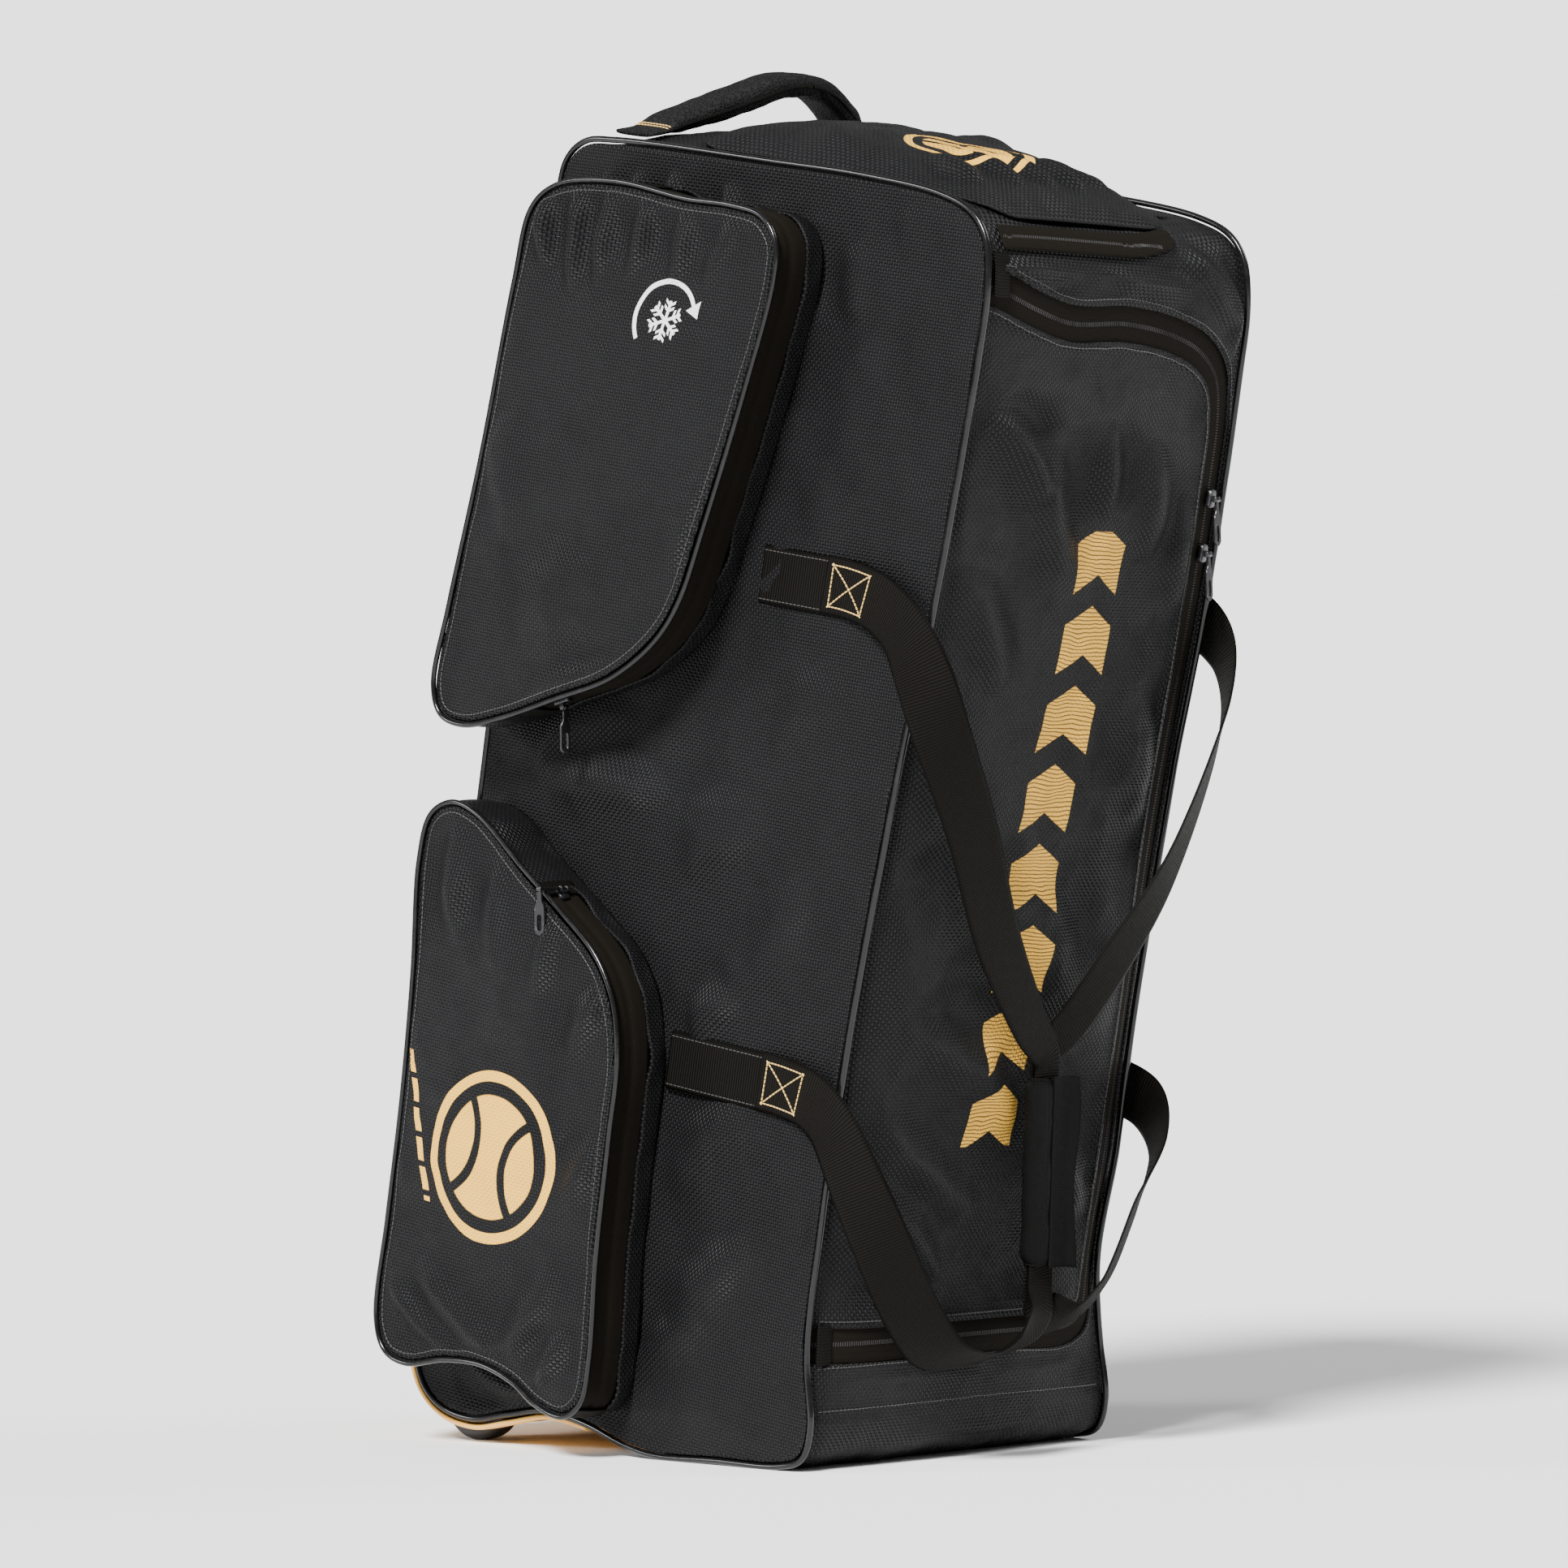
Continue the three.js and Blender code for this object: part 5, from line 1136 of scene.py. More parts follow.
class KITBAG_OT_pockets(bpy.types.Operator):
    """Makes the two side pockets with their walls, zips and piping"""

    bl_idname = "kitbag.pockets"
    bl_label = "Side pockets"

    def execute(self, context):
        for name, pocket in POCKETS.items():
            self.make(name, pocket)
        return {"FINISHED"}

    def make(self, name, pocket):
        whole = pocket_run(pocket)
        y, z = np.meshgrid(
            np.arange(pocket["front"] + pocket["width"] + 4, pocket["front"] - 6, -2.6),
            np.arange(pocket["low"] - 5, pocket["low"] + pocket["height"] + 5, 2.6))
        keep = distance(whole["place"], y, z) - 0.4
        points = pocket_front_points(pocket, y, z)
        cloth = stack(y, z)
        points[..., 0] += 1.6 * np.exp(-np.maximum(keep, 0) / 4.0)
        points = wavy(points, cloth, 1.0, np.maximum(keep, 0) + 1.5, pocket["seed"], pocket["folds"])
        piece = panel(f"{name}_face", points, cloth, keep, finish_for(pocket["finish"]))
        settle(piece, "bag", [f"{name}_front"])

        columns = np.linspace(GAP, POCKET_DEPTH - GAP, 20)
        out = np.broadcast_to(columns, (len(whole["place"]), len(columns)))
        low, high = pocket["zip"]
        length = whole["at"][-1]
        share = whole["share"][:, None]
        in_zip = np.minimum(share - low, high - share) * length
        seam = np.minimum(out, POCKET_DEPTH - out)
        cloth = stack(whole["at"][:, None], out)
        sag = np.array([noise.noise(Vector((a / 26.0, pocket["seed"], 0))) for a in whole["at"]])[:, None]
        shift = 1.4 * sag * np.clip(seam / 9, 0, 1) * creases()
        wall = gusset_points(whole, -puffed(out) - shift, out)
        keep = np.maximum(POCKET_STRIP - out, -in_zip)
        grid = np.vstack([wall, wall[:1]])
        keep = np.vstack([keep, keep[:1]])
        cloth = np.vstack([cloth, cloth[:1] + [[length, 0]]])
        piece = panel(f"{name}_wall", grid[:, ::-1], cloth[:, ::-1], keep[:, ::-1], finish_for("nylon"))
        settle(piece, "bag", [f"{name}_gusset"])

        part = pocket_run(pocket, low, high)
        columns = np.linspace(POCKET_STRIP - 1.5, POCKET_DEPTH - GAP, 12)
        out = np.broadcast_to(columns, (len(part["place"]), len(columns)))
        middle = (POCKET_STRIP + POCKET_DEPTH) / 2
        dip = 1.2 * np.exp(-(((out - middle) / 2.0) ** 2))
        grid = gusset_points(part, -(puffed(out) - 0.8 - dip), out)
        cloth = stack(part["at"][:, None], out - middle)
        piece = panel(f"{name}_tape", grid[:, ::-1], cloth[:, ::-1], None, finish_for("tape"), TAPE_THICK)
        settle(piece, "bag", [f"{name}_zip"])

        path = gusset_points(whole, np.full(1, -POCKET_PIPING - 2 * GAP), np.full(1, POCKET_DEPTH + 1))[:, 0]
        cord = tube(f"{name}_cord", path, POCKET_PIPING, finish_for("piping"), 10)
        settle(cord, "bag", [f"{name}_piping"])


END_LEFT, END_RIGHT, END_FRONT, END_BACK = -122.0, 74.0, -183.0, 96.0
END_RISE, END_SQUARE, END_TAPE, END_TAPE_THICK = 17.0, 5.0, 16.0, 1.2
END_TURN, END_TURN_START, END_TURN_REACH = 10.0, 78, 66


def rounded_plan(left, right, front, back, radius):
    corners = ((right - radius, back - radius, 0), (left + radius, back - radius, 90),
               (left + radius, front + radius, 180), (right - radius, front + radius, 270))
    return [(x + radius * math.cos(math.radians(a + t)), y + radius * math.sin(math.radians(a + t)))
            for x, y, a in corners for t in range(0, 91, 10)]


def end_zip_rise(x):
    """How far the end pocket's zip turns up towards its right end."""
    return END_TURN * np.clip((x - END_RIGHT + END_TURN_START) / END_TURN_REACH, 0, 1) ** 2


def off_end_zip(points):
    """How far a place on the front wall is from the end pocket's zip."""
    x = points[..., 0]
    middle = end_zip_top() - END_TAPE / 2 + end_zip_rise(x)
    aside = np.maximum(END_LEFT - x, x - END_RIGHT)
    return np.maximum(aside, np.abs(points[..., 2] - middle) - END_TAPE / 2 - 2)


def end_zip_top():
    return catmull(outline_points(), True, np.array([11 / ROWS]))[0, 2] + 10


class KITBAG_OT_end_pocket(bpy.types.Operator):
    """Makes the domed pocket on the head and the zip along its front"""

    bl_idname = "kitbag.end_pocket"
    bl_label = "End pocket"

    def execute(self, context):
        run = stations(10.2, 16.3, 2.8)
        shares = np.linspace(-0.95, 0.62, 90)
        points, _ = wrap(run, shares, GAP + CLOTH + 0.2)
        x, y = points[..., 0], points[..., 1]
        u = np.clip((x - END_LEFT) / (END_RIGHT - END_LEFT), 0, 1)
        v = np.clip((y - END_FRONT) / (END_BACK - END_FRONT), 0, 1)
        dome = END_RISE * (1 - np.abs(2 * u - 1) ** END_SQUARE) * (1 - np.abs(2 * v - 1) ** END_SQUARE)
        points = points + normals_of(points) * dome[..., None]
        plan = rounded_plan(END_LEFT, END_RIGHT, END_FRONT, END_BACK, 30)
        keep = distance(plan, x, y)
        cloth = points[..., :2].copy()
        points = wavy(points, cloth, 1.0, np.maximum(keep, 0) + 2, 21, END_FOLDS)
        settle(panel("end_pocket_cloth", points, cloth, keep, finish_for("end")), "bag", ["end_pocket"])

        run = stations(9.2, 12.5, 2.0)
        points, cloth = wrap(run, np.linspace(-0.93, 0.6, 80), GAP + CLOTH + 0.6)
        top = end_zip_top()
        x = points[..., 0]
        middle = cloth[..., 1] - np.interp(top - END_TAPE / 2, run["place"][:, 2], run["at"]) - end_zip_rise(x)
        outline = rounded_plan(END_LEFT - 20, END_RIGHT - 12, -END_TAPE / 2, END_TAPE / 2, 7)
        keep = np.minimum(distance(outline, x, middle), x - END_LEFT)
        dip = 1.0 * np.exp(-((middle / 1.6) ** 2))
        points = points - normals_of(points) * dip[..., None]
        piece = panel("end_pocket_tape", points, stack(x, middle), keep, finish_for("tape"), END_TAPE_THICK)
        settle(piece, "bag", ["end_pocket_zip"])
        return {"FINISHED"}


# Webbing: a flat strap along a path, with rounded edges

WEB_WIDTH, WEB_THICK = 40.0, 1.8
BAND_OUT = GAP * 2 + 2
STRAP_OUT = BAND_OUT + WEB_THICK + GAP + WEB_THICK / 2
GRIP_LENGTH, GRIP_WIDTH, GRIP_THICK, GRIP_WALL, GRIP_PLAY = 142.0, 35.0, 14.0, 2.5, 4.0
GRIP_TOP, GRIP_STANDOFF = 0.339 * HEIGHT, 0.518 * DEPTH
GRIP_TOP_X, GRIP_FOOT_X = 0.129 * FOOT_WIDTH / 2, 0.257 * FOOT_WIDTH / 2
BANDS = ((LEFT, "upper", 0.6937, -0.108), (LEFT, "lower", 0.3142, -0.041),
         (RIGHT, "upper", 0.6937, 0.309), (RIGHT, "lower", 0.3142, 0.309))
BAND_FRONT = -0.3454 * DEPTH
SIDE_TILT = -math.degrees(math.atan((FOOT_WIDTH - HEAD_WIDTH) / 2 / HEIGHT))

# Rows of a strap: how it lies, two places, depth, height, the turn and tilt of its face, its width share.
# A row "on" lies over the side panel, lifted by the first number. A row "free" is at a share of half the
# foot's width. A row "grip" is at a share of the grip's length, behind or over the other strap.
STRAP_ROWS = {
    LEFT: (
        ("on", 0, -0.2577, 0.6948, 90, SIDE_TILT, 1), ("on", 0, -0.3144, 0.6937, 90, SIDE_TILT, 1),
        ("on", 3, -0.3866, 0.6881, 90, SIDE_TILT, 1), ("free", 1.0032, -0.4639, 0.6712, 84, 0, 1),
        ("free", 1.0096, -0.518, 0.6441, 62, 0, 1), ("free", 0.9389, -0.549, 0.6036, 36, 0, 1),
        ("free", 0.6817, -0.5567, 0.5304, 18, 0, 1), ("free", 0.3987, -0.549, 0.4459, 8, 0, 1),
        ("free", 0.0643, -0.5361, 0.3761, 0, 0, 0.85), ("grip", -0.06, -1, 0, 0, 0, 1),
        ("grip", 0.06, -1, 0, 0, 0, 1), ("grip", 0.94, -1, 0, 0, 0, 1), ("grip", 1.06, -1, 0, 0, 0, 1),
        ("free", -0.2186, -0.5438, 0.1475, 0, 8, 0.8), ("free", -0.0257, -0.549, 0.1273, 3, 52, 0.9),
        ("free", 0.2315, -0.5619, 0.1194, 12, 64, 1), ("free", 0.4887, -0.567, 0.1261, 22, 48, 1),
        ("free", 0.7203, -0.5644, 0.1622, 30, 15, 1), ("free", 0.9196, -0.549, 0.214, 48, 0, 1),
        ("free", 1.0354, -0.5103, 0.2613, 70, 0, 1), ("free", 1.0547, -0.4536, 0.295, 84, 0, 1),
        ("on", 3, -0.3866, 0.3097, 90, SIDE_TILT, 1), ("on", 0, -0.3144, 0.3142, 90, SIDE_TILT, 1),
        ("on", 0, -0.2577, 0.3153, 90, SIDE_TILT, 1),
    ),
    RIGHT: (
        ("on", 0, -0.2577, 0.6937, 90, SIDE_TILT, 1), ("on", 0, -0.3144, 0.6937, 90, SIDE_TILT, 1),
        ("on", 3, -0.3866, 0.6914, 90, SIDE_TILT, 1), ("free", 0.9968, -0.4639, 0.6847, 84, 0, 1),
        ("free", 1.0032, -0.5206, 0.6644, 66, 0, 1), ("free", 0.9775, -0.5515, 0.6306, 48, 0, 1),
        ("free", 0.9003, -0.5644, 0.5901, 36, 0, 1), ("free", 0.6817, -0.5619, 0.4932, 22, 0, 1),
        ("free", 0.4502, -0.5438, 0.4257, 8, 0, 1), ("free", 0.2701, -0.5232, 0.3761, 0, 0, 0.85),
        ("grip", -0.06, 1, 0, 0, 0, 1), ("grip", 0.06, 1, 0, 0, 0, 1), ("grip", 0.94, 1, 0, 0, 0, 1),
        ("grip", 1.06, 1, 0, 0, 0, 1), ("free", 0.3215, -0.5129, 0.1475, 0, 8, 0.8),
        ("free", 0.4887, -0.5284, 0.1441, 8, 48, 0.9), ("free", 0.6174, -0.549, 0.1689, 16, 45, 1),
        ("free", 0.7717, -0.5515, 0.2275, 30, 12, 1), ("free", 0.9582, -0.5284, 0.277, 60, 0, 1),
        ("free", 1.0418, -0.4639, 0.3018, 84, 0, 1), ("on", 3, -0.3866, 0.3119, 90, SIDE_TILT, 1),
        ("on", 0, -0.3144, 0.3142, 90, SIDE_TILT, 1), ("on", 0, -0.2577, 0.3153, 90, SIDE_TILT, 1),
    ),
}


def grip_point(share, standoff):
    x = GRIP_TOP_X + (GRIP_FOOT_X - GRIP_TOP_X) * share
    return np.array([x, -standoff, GRIP_TOP - GRIP_LENGTH * share])


def strap_row(side, row):
    kind, first, second, third, face, tilt, narrow = row
    turn, lean = math.radians(face), math.radians(tilt)
    look = np.array([side * math.sin(turn), -math.cos(turn), 0]) * math.cos(lean)
    look = look - [0, 0, math.sin(lean)]
    width = WEB_WIDTH * narrow
    if kind == "grip":
        standoff = GRIP_STANDOFF - second * (WEB_THICK / 2 + 3 * GAP)
        centre = grip_point(first, standoff)
        width = GRIP_WIDTH - 2 * GRIP_WALL - GRIP_PLAY
    elif kind == "on":
        centre = side_points(side, second * DEPTH, third * HEIGHT, STRAP_OUT + first)
    else:
        centre = np.array([side * first * FOOT_WIDTH / 2, second * DEPTH, third * HEIGHT])
    return centre, look, width


def ribbon(name, centres, looks, widths, material, thick=WEB_THICK):
    """A flat strap with rounded edges. Looks are the ways its face points."""
    centres = np.asarray(centres, float)
    tangent = unit(np.gradient(centres, axis=0))
    across = unit(np.cross(tangent, looks))
    look = unit(np.cross(across, tangent))
    half = np.broadcast_to(np.asarray(widths, float) / 2, (len(centres),))
    t = np.linspace(-1, 1, 15)
    face = np.sqrt(np.clip(1 - np.abs(t) ** 14, 0, 1))
    top = stack(t, face * 0.5 * thick)
    ring = np.vstack([top, top[-2:0:-1] * [1, -1]])
    points = (centres[:, None] + across[:, None] * (ring[None, :, :1] * half[:, None, None])
              + look[:, None] * ring[None, :, 1:])
    cloth = stack(lengths(centres)[:, None], ring[None, :, 0] * half[:, None])
    return skin(name, points, material, cloth, caps=True)


def strap_curve(side):
    rows = [strap_row(side, row) for row in STRAP_ROWS[side]]
    centres = np.array([row[0] for row in rows])
    shares = np.linspace(0, 1, 40 * len(rows))
    fine = catmull(centres, False, shares)
    place = shares * (len(rows) - 1)
    extra = read_at(place, range(len(rows)), np.array([(*look, width) for _, look, width in rows]))
    points, at, extra = resample(fine, 3.0, extra=extra)
    return points, unit(extra[:, :3]), extra[:, 3], at


class KITBAG_OT_webbing(bpy.types.Operator):
    """Makes the bands sewn to both sides and the two carry straps"""

    bl_idname = "kitbag.webbing"
    bl_label = "Bands and carry straps"

    def execute(self, context):
        for side, name, height, back in BANDS:
            y = np.arange(back * DEPTH, BAND_FRONT, -3.0)
            centres = side_points(side, y, height * HEIGHT, BAND_OUT + WEB_THICK / 2)
            tilt = math.radians(SIDE_TILT)
            looks = np.tile([side * math.cos(tilt), 0, -math.sin(tilt)], (len(y), 1))
            label = SIDES[side]
            piece = ribbon(f"band_{name}_{label}", centres, looks, WEB_WIDTH, finish_for("webbing"))
            settle(piece, "bag", [f"web_band_{name}_{label}"])
        for side, label in SIDES.items():
            points, looks, widths, _ = strap_curve(side)
            for _ in range(6):
                looks[1:-1] = unit(looks[:-2] + 2 * looks[1:-1] + looks[2:])
                widths[1:-1] = (widths[:-2] + 2 * widths[1:-1] + widths[2:]) / 4
            piece = ribbon(f"strap_{label}", points, looks, widths, finish_for("webbing"))
            settle(piece, "bag", [f"carry_strap_{label}"])
        return {"FINISHED"}


class KITBAG_OT_grip(bpy.types.Operator):
    """Makes the padded wrap round both carry straps, with its loose flap"""

    bl_idname = "kitbag.grip"
    bl_label = "Grip wrap"

    def execute(self, context):
        shares = np.linspace(0.045, 0.955, 66)
        c, s, angle = circle(60)
        end = np.minimum(shares - shares[0], shares[-1] - shares) * GRIP_LENGTH
        swell = 1 - 0.22 * np.exp(-((end / 3.0) ** 2))
        x, y = squared(c, 0.62) * GRIP_WIDTH / 2, squared(s, 0.8) * GRIP_THICK / 2
        centres = np.array([grip_point(share, GRIP_STANDOFF) for share in shares])
        grid = centres[:, None] + stack(x, y, 0)[None] * swell[:, None, None]
        outward = unit(stack(x * 0.5, y, 0))[None]
        lump = ripple(grid, 16.0, 31) * 0.7 * np.clip(end / 8, 0, 1)[:, None]
        grid = grid + outward * lump[..., None]
        cloth = stack((shares * GRIP_LENGTH)[:, None], angle * 9.0)
        piece = thicken(skin("grip_cloth", grid, finish_for("grip"), cloth), GRIP_WALL)
        settle(piece, "bag", ["grip_wrap"])
        for low in (True, False):
            ring = grid[0 if low else -1] - outward[0] * 0.9
            name = f"grip_edge_{'top' if low else 'foot'}"
            settle(tube(name, ring, 1.35, finish_for("webbing"), 8), "bag", [])

        rows = np.linspace(0.03, 0.97, 40)
        out = np.linspace(0, 1, 14)
        base = np.array([grip_point(share, GRIP_STANDOFF + GRIP_THICK / 2 + 0.9) for share in rows])
        curl = 4.0 + 2.5 * np.sin(rows * 7.0) + 3.0 * rows
        points = np.repeat(base[:, None], len(out), axis=1)
        points[..., 0] += 2 + out[None, :] * (GRIP_WIDTH / 2 + 5.5) + 1.2 * np.sin(rows * 9)[:, None] * out
        points[..., 1] += -curl[:, None] * (np.clip(out - 0.55, 0, 1) ** 1.4)[None, :] * 2.0 + 1.0 * out[None, :]
        cloth = stack((rows * GRIP_LENGTH)[:, None], out * 30)
        flap = panel("grip_flap", points, cloth, None, finish_for("grip"), 2.2)
        face_out(flap.data)
        settle(flap, "bag", [])
        return {"FINISHED"}


# The padded handle on the head: shares of its reach and rise, and thickness shares

HANDLE_WIDTH, HANDLE_THICK, HANDLE_REACH, HANDLE_RISE = 34.0, 12.0, 118.0, 42.0
HANDLE_PUFF = 1.4
HANDLE_DEPTH = 0.3866 * DEPTH
HANDLE_ROWS = (
    (-1, 0, 0.35), (-0.86, 0.02, 0.35), (-0.74, 0.14, 0.8), (-0.42, 0.42, 1), (-0.08, 0.73, 1), (0.16, 0.95, 1),
    (0.38, 1, 1), (0.56, 0.9, 1), (0.76, 0.56, 1), (0.9, 0.14, 0.7), (0.96, 0.02, 0.35), (1.06, 0, 0.35),
)


def head_level(x, y):
    """How high the head's cloth is at a place over it."""
    run = stations(FRONT_END - 3, TOP_END + 2, 4.0)
    rise = crown(run, np.full((len(run["at"]), 1), float(x)))[:, 0] + CLOTH + GAP
    place = run["place"] + run["normal"] * rise[:, None]
    return float(np.interp(y, place[:, 1], place[:, 2]))


class KITBAG_OT_handle(bpy.types.Operator):
    """Makes the padded handle with its flat sewn ends"""

    bl_idname = "kitbag.handle"
    bl_label = "Top handle"

    def execute(self, context):
        foot = head_level(HANDLE_REACH, HANDLE_DEPTH)
        rows = []
        for across, rise, thick in HANDLE_ROWS:
            x = across * HANDLE_REACH
            half = HANDLE_THICK * thick / 2
            level = max(head_level(x, HANDLE_DEPTH + d) for d in (-17, 0, 17)) + half + 2 * GAP
            lifted = foot + half + rise * HANDLE_RISE
            rows.append((x, level if rise < 0.05 else max(level, lifted), half))
        rows = np.array(rows)
        shares = np.linspace(0, 1, 400)
        fine = catmull(stack(rows[:, 0], HANDLE_DEPTH, rows[:, 1]), False, shares)
        half = np.interp(shares * (len(rows) - 1), range(len(rows)), rows[:, 2])
        points, at, extra = resample(fine, 2.2, extra=half[:, None])
        half = extra[:, 0] * (1 + (HANDLE_PUFF - 1) * np.clip((extra[:, 0] - 3) / 3, 0, 1))
        tangent = unit(np.gradient(points, axis=0))
        up = unit(np.cross(tangent, [0, -1.0, 0]))
        up = up * np.sign(up[:, 2:3] + 1e-9)
        c, s, angle = circle(44)
        across, level = squared(c, 0.5) * HANDLE_WIDTH / 2, squared(s, 0.75)
        grid = points[:, None] + up[:, None] * (level[None] * half[:, None])[..., None]
        grid[..., 1] += across[None]
        soft = np.clip((half - 2.5) / 3.0, 0, 1)[:, None]
        outward = unit(up[:, None] * level[None, :, None] + np.array([0, 1.0, 0]) * (across / 17)[None, :, None])
        grid = grid + outward * (ripple(grid, 20.0, 41) * 0.8 * soft)[..., None]
        crease = np.exp(-(((points[:, 0] - 52) / 4.5) ** 2))[:, None] * np.clip(-level, 0, 1)[None]
        grid = grid + up[:, None] * (crease * 4.5)[..., None]
        cloth = stack(at[:, None], angle * 8.0)
        piece = skin("handle_pad", grid, finish_for("padding"), cloth, caps=True)
        settle(piece, "bag", ["top_handle"])
        for edge in (-1, 1):
            line = points.copy()
            line[:, 1] += edge * (HANDLE_WIDTH / 2 - 0.4)
            cord = tube(f"handle_edge_{edge + 1}", line[half > 3.5], 1.5, finish_for("webbing"), 8, closed=False)
            settle(cord, "bag", [])
        return {"FINISHED"}


# The hard foot and the wheels: the guard's rows on the side outline, the row from which it tapers, the width
# of its thick rim, and its wall

GUARD_START, GUARD_END, GUARD_TAPER, GUARD_RIM, GUARD_WALL = 22, 28, 26, 16.0, 2.6


class KITBAG_OT_foot(bpy.types.Operator):
    """Makes the hard corner guard and the two wheels"""

    bl_idname = "kitbag.foot"
    bl_label = "Guard and wheels"

    def execute(self, context):
        self.guard()
        for side, name in SIDES.items():
            self.wheel(side, name)
        return {"FINISHED"}

    def guard(self):
        run = stations(GUARD_START, GUARD_END, 2.4)
        half = FOOT_WIDTH / 2 + PIPING
        t = np.linspace(-half, half, 150)
        rim = smooth(np.clip((np.abs(t) - (half - GUARD_RIM)) / 2.5, 0, 1))
        edge = np.clip((half - np.abs(t)) / 1.6, 0, 1)
        taper = np.where(run["row"] > GUARD_TAPER, 1 - 0.3 * (run["row"] - GUARD_TAPER), 1)[:, None]
        thick = (3 + 2 * rim[None]) * taper - 1.3 * (1 - np.sqrt(1 - (1 - edge[None]) ** 2))
        offset = 2 * PIPING + 3 * GAP
        keep_points = run["place"][:, None] + run["normal"][:, None] * np.full((1, len(t), 1), offset)
        keep_points[..., 0] = t[None]
        keep = well_distance(keep_points, -2.0)
        outer = run["place"][:, None] + run["normal"][:, None] * (offset + thick)[..., None]
        outer[..., 0] = t[None]
        cloth = stack(t, run["at"][:, None])
        piece = panel("guard_shell", outer, cloth, keep, finish_for("guard"), GUARD_WALL)
        stand_on_floor(piece)
        settle(piece, "bag", ["wheel_tray"])

    def wheel(self, side, name):
        half = WHEEL_WIDTH / 2
        radius = WHEEL_RADIUS
        profile = [
            (4.4, -half), (6.5, -half), (7.2, -half + 0.6), (10.2, -half + 0.8), (10.8, -half + 1.5),
            (12.0, -half * 0.5), (20.5, -half * 0.45), (21.6, -half * 0.6), (22.2, -half * 0.88),
            (23.2, -half * 0.93), (27.6, -half * 0.86), (29.2, -half * 0.72), (29.9, -half * 0.55), (radius, 0),
        ]
        profile += [(r, -a) for r, a in profile[-2::-1]]
        ring = np.array(profile)
        turns = np.arange(72) * 2 * math.pi / 72
        points = np.zeros((len(turns), len(ring), 3))
        points[..., 0] = ring[None, :, 1]
        points[..., 1] = ring[None, :, 0] * np.cos(turns)[:, None]
        points[..., 2] = ring[None, :, 0] * np.sin(turns)[:, None]
        spoke = np.clip(1 - np.abs(((turns * 6 / (2 * math.pi)) % 1) - 0.5) / 0.17, 0, 1) ** 0.3
        deep = ((ring[:, 0] > 11.5) & (ring[:, 0] < 21.0))[None, :] * (1 - spoke)[:, None]
        points[..., 0] -= np.sign(ring[None, :, 1]) * deep * 2.2
        piece = skin(f"wheel_body_{name}", points + wheel_place(side), finish_for("tyre"), loop_rows=True)
        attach(piece, f"wheel_{name}")
        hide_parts(f"wheel_{name}")


# Zip sliders and their pullers: place on the zip, the way out from it and the way across it

SLIDERS = {
    "cool_pocket": ((-181.10, 96.15, 510.11), (0, -0.4008, -0.9161), (1, 0, 0)),
    "lower_pocket": ((-184.49, 75.74, 376.55), (0, -0.4857, 0.8741), (1, 0, 0)),
    "lid_upper": ((123.40, -199.25, 695.79), (0.2177, -0.9746, -0.0520), (0.9760, 0.2174, 0.0116)),
    "lid_lower": ((124.17, -197.26, 657.74), (0.2263, -0.9722, -0.0605), (0.9741, 0.2259, 0.0141)),
}
SLIDER_LENGTH, SLIDER_WIDTH, SLIDER_THICK = 13.0, 9.0, 3.5
PULLER_LENGTH, PULLER_WIDTH, PULLER_THICK = 32.0, 9.0, 1.6
BARREL_RADIUS, BARREL_LENGTH, PIN_RADIUS, PIN_CLEARANCE, LUG_THICK = 2.0, 4.0, 0.8, 0.4, 1.2
PIN_HEIGHT = GAP + SLIDER_THICK + BARREL_RADIUS + 2 * GAP
CRISP_ANGLE = math.radians(35.0)
PULLER_OUTLINE = ((0.22, 0.048), (0.22, 0.25), (0.5, 0.38), (0.5, 0.91), (0.17, 1.0))


def placed(points, place, across, along, normal):
    turn = np.stack([across, along, normal])
    return np.asarray(points, float) @ turn + place


def stacked(name, rings):
    """A closed metal body from rings of points, one above the other."""
    rings = np.array(rings)
    quads = grid_quads(*rings.shape[:2], loop_columns=True)
    piece = make_object(name, rings.reshape(-1, 3), quads, None, finish_for("metal"))
    edit_mesh(piece.data, close_ends)
    return piece


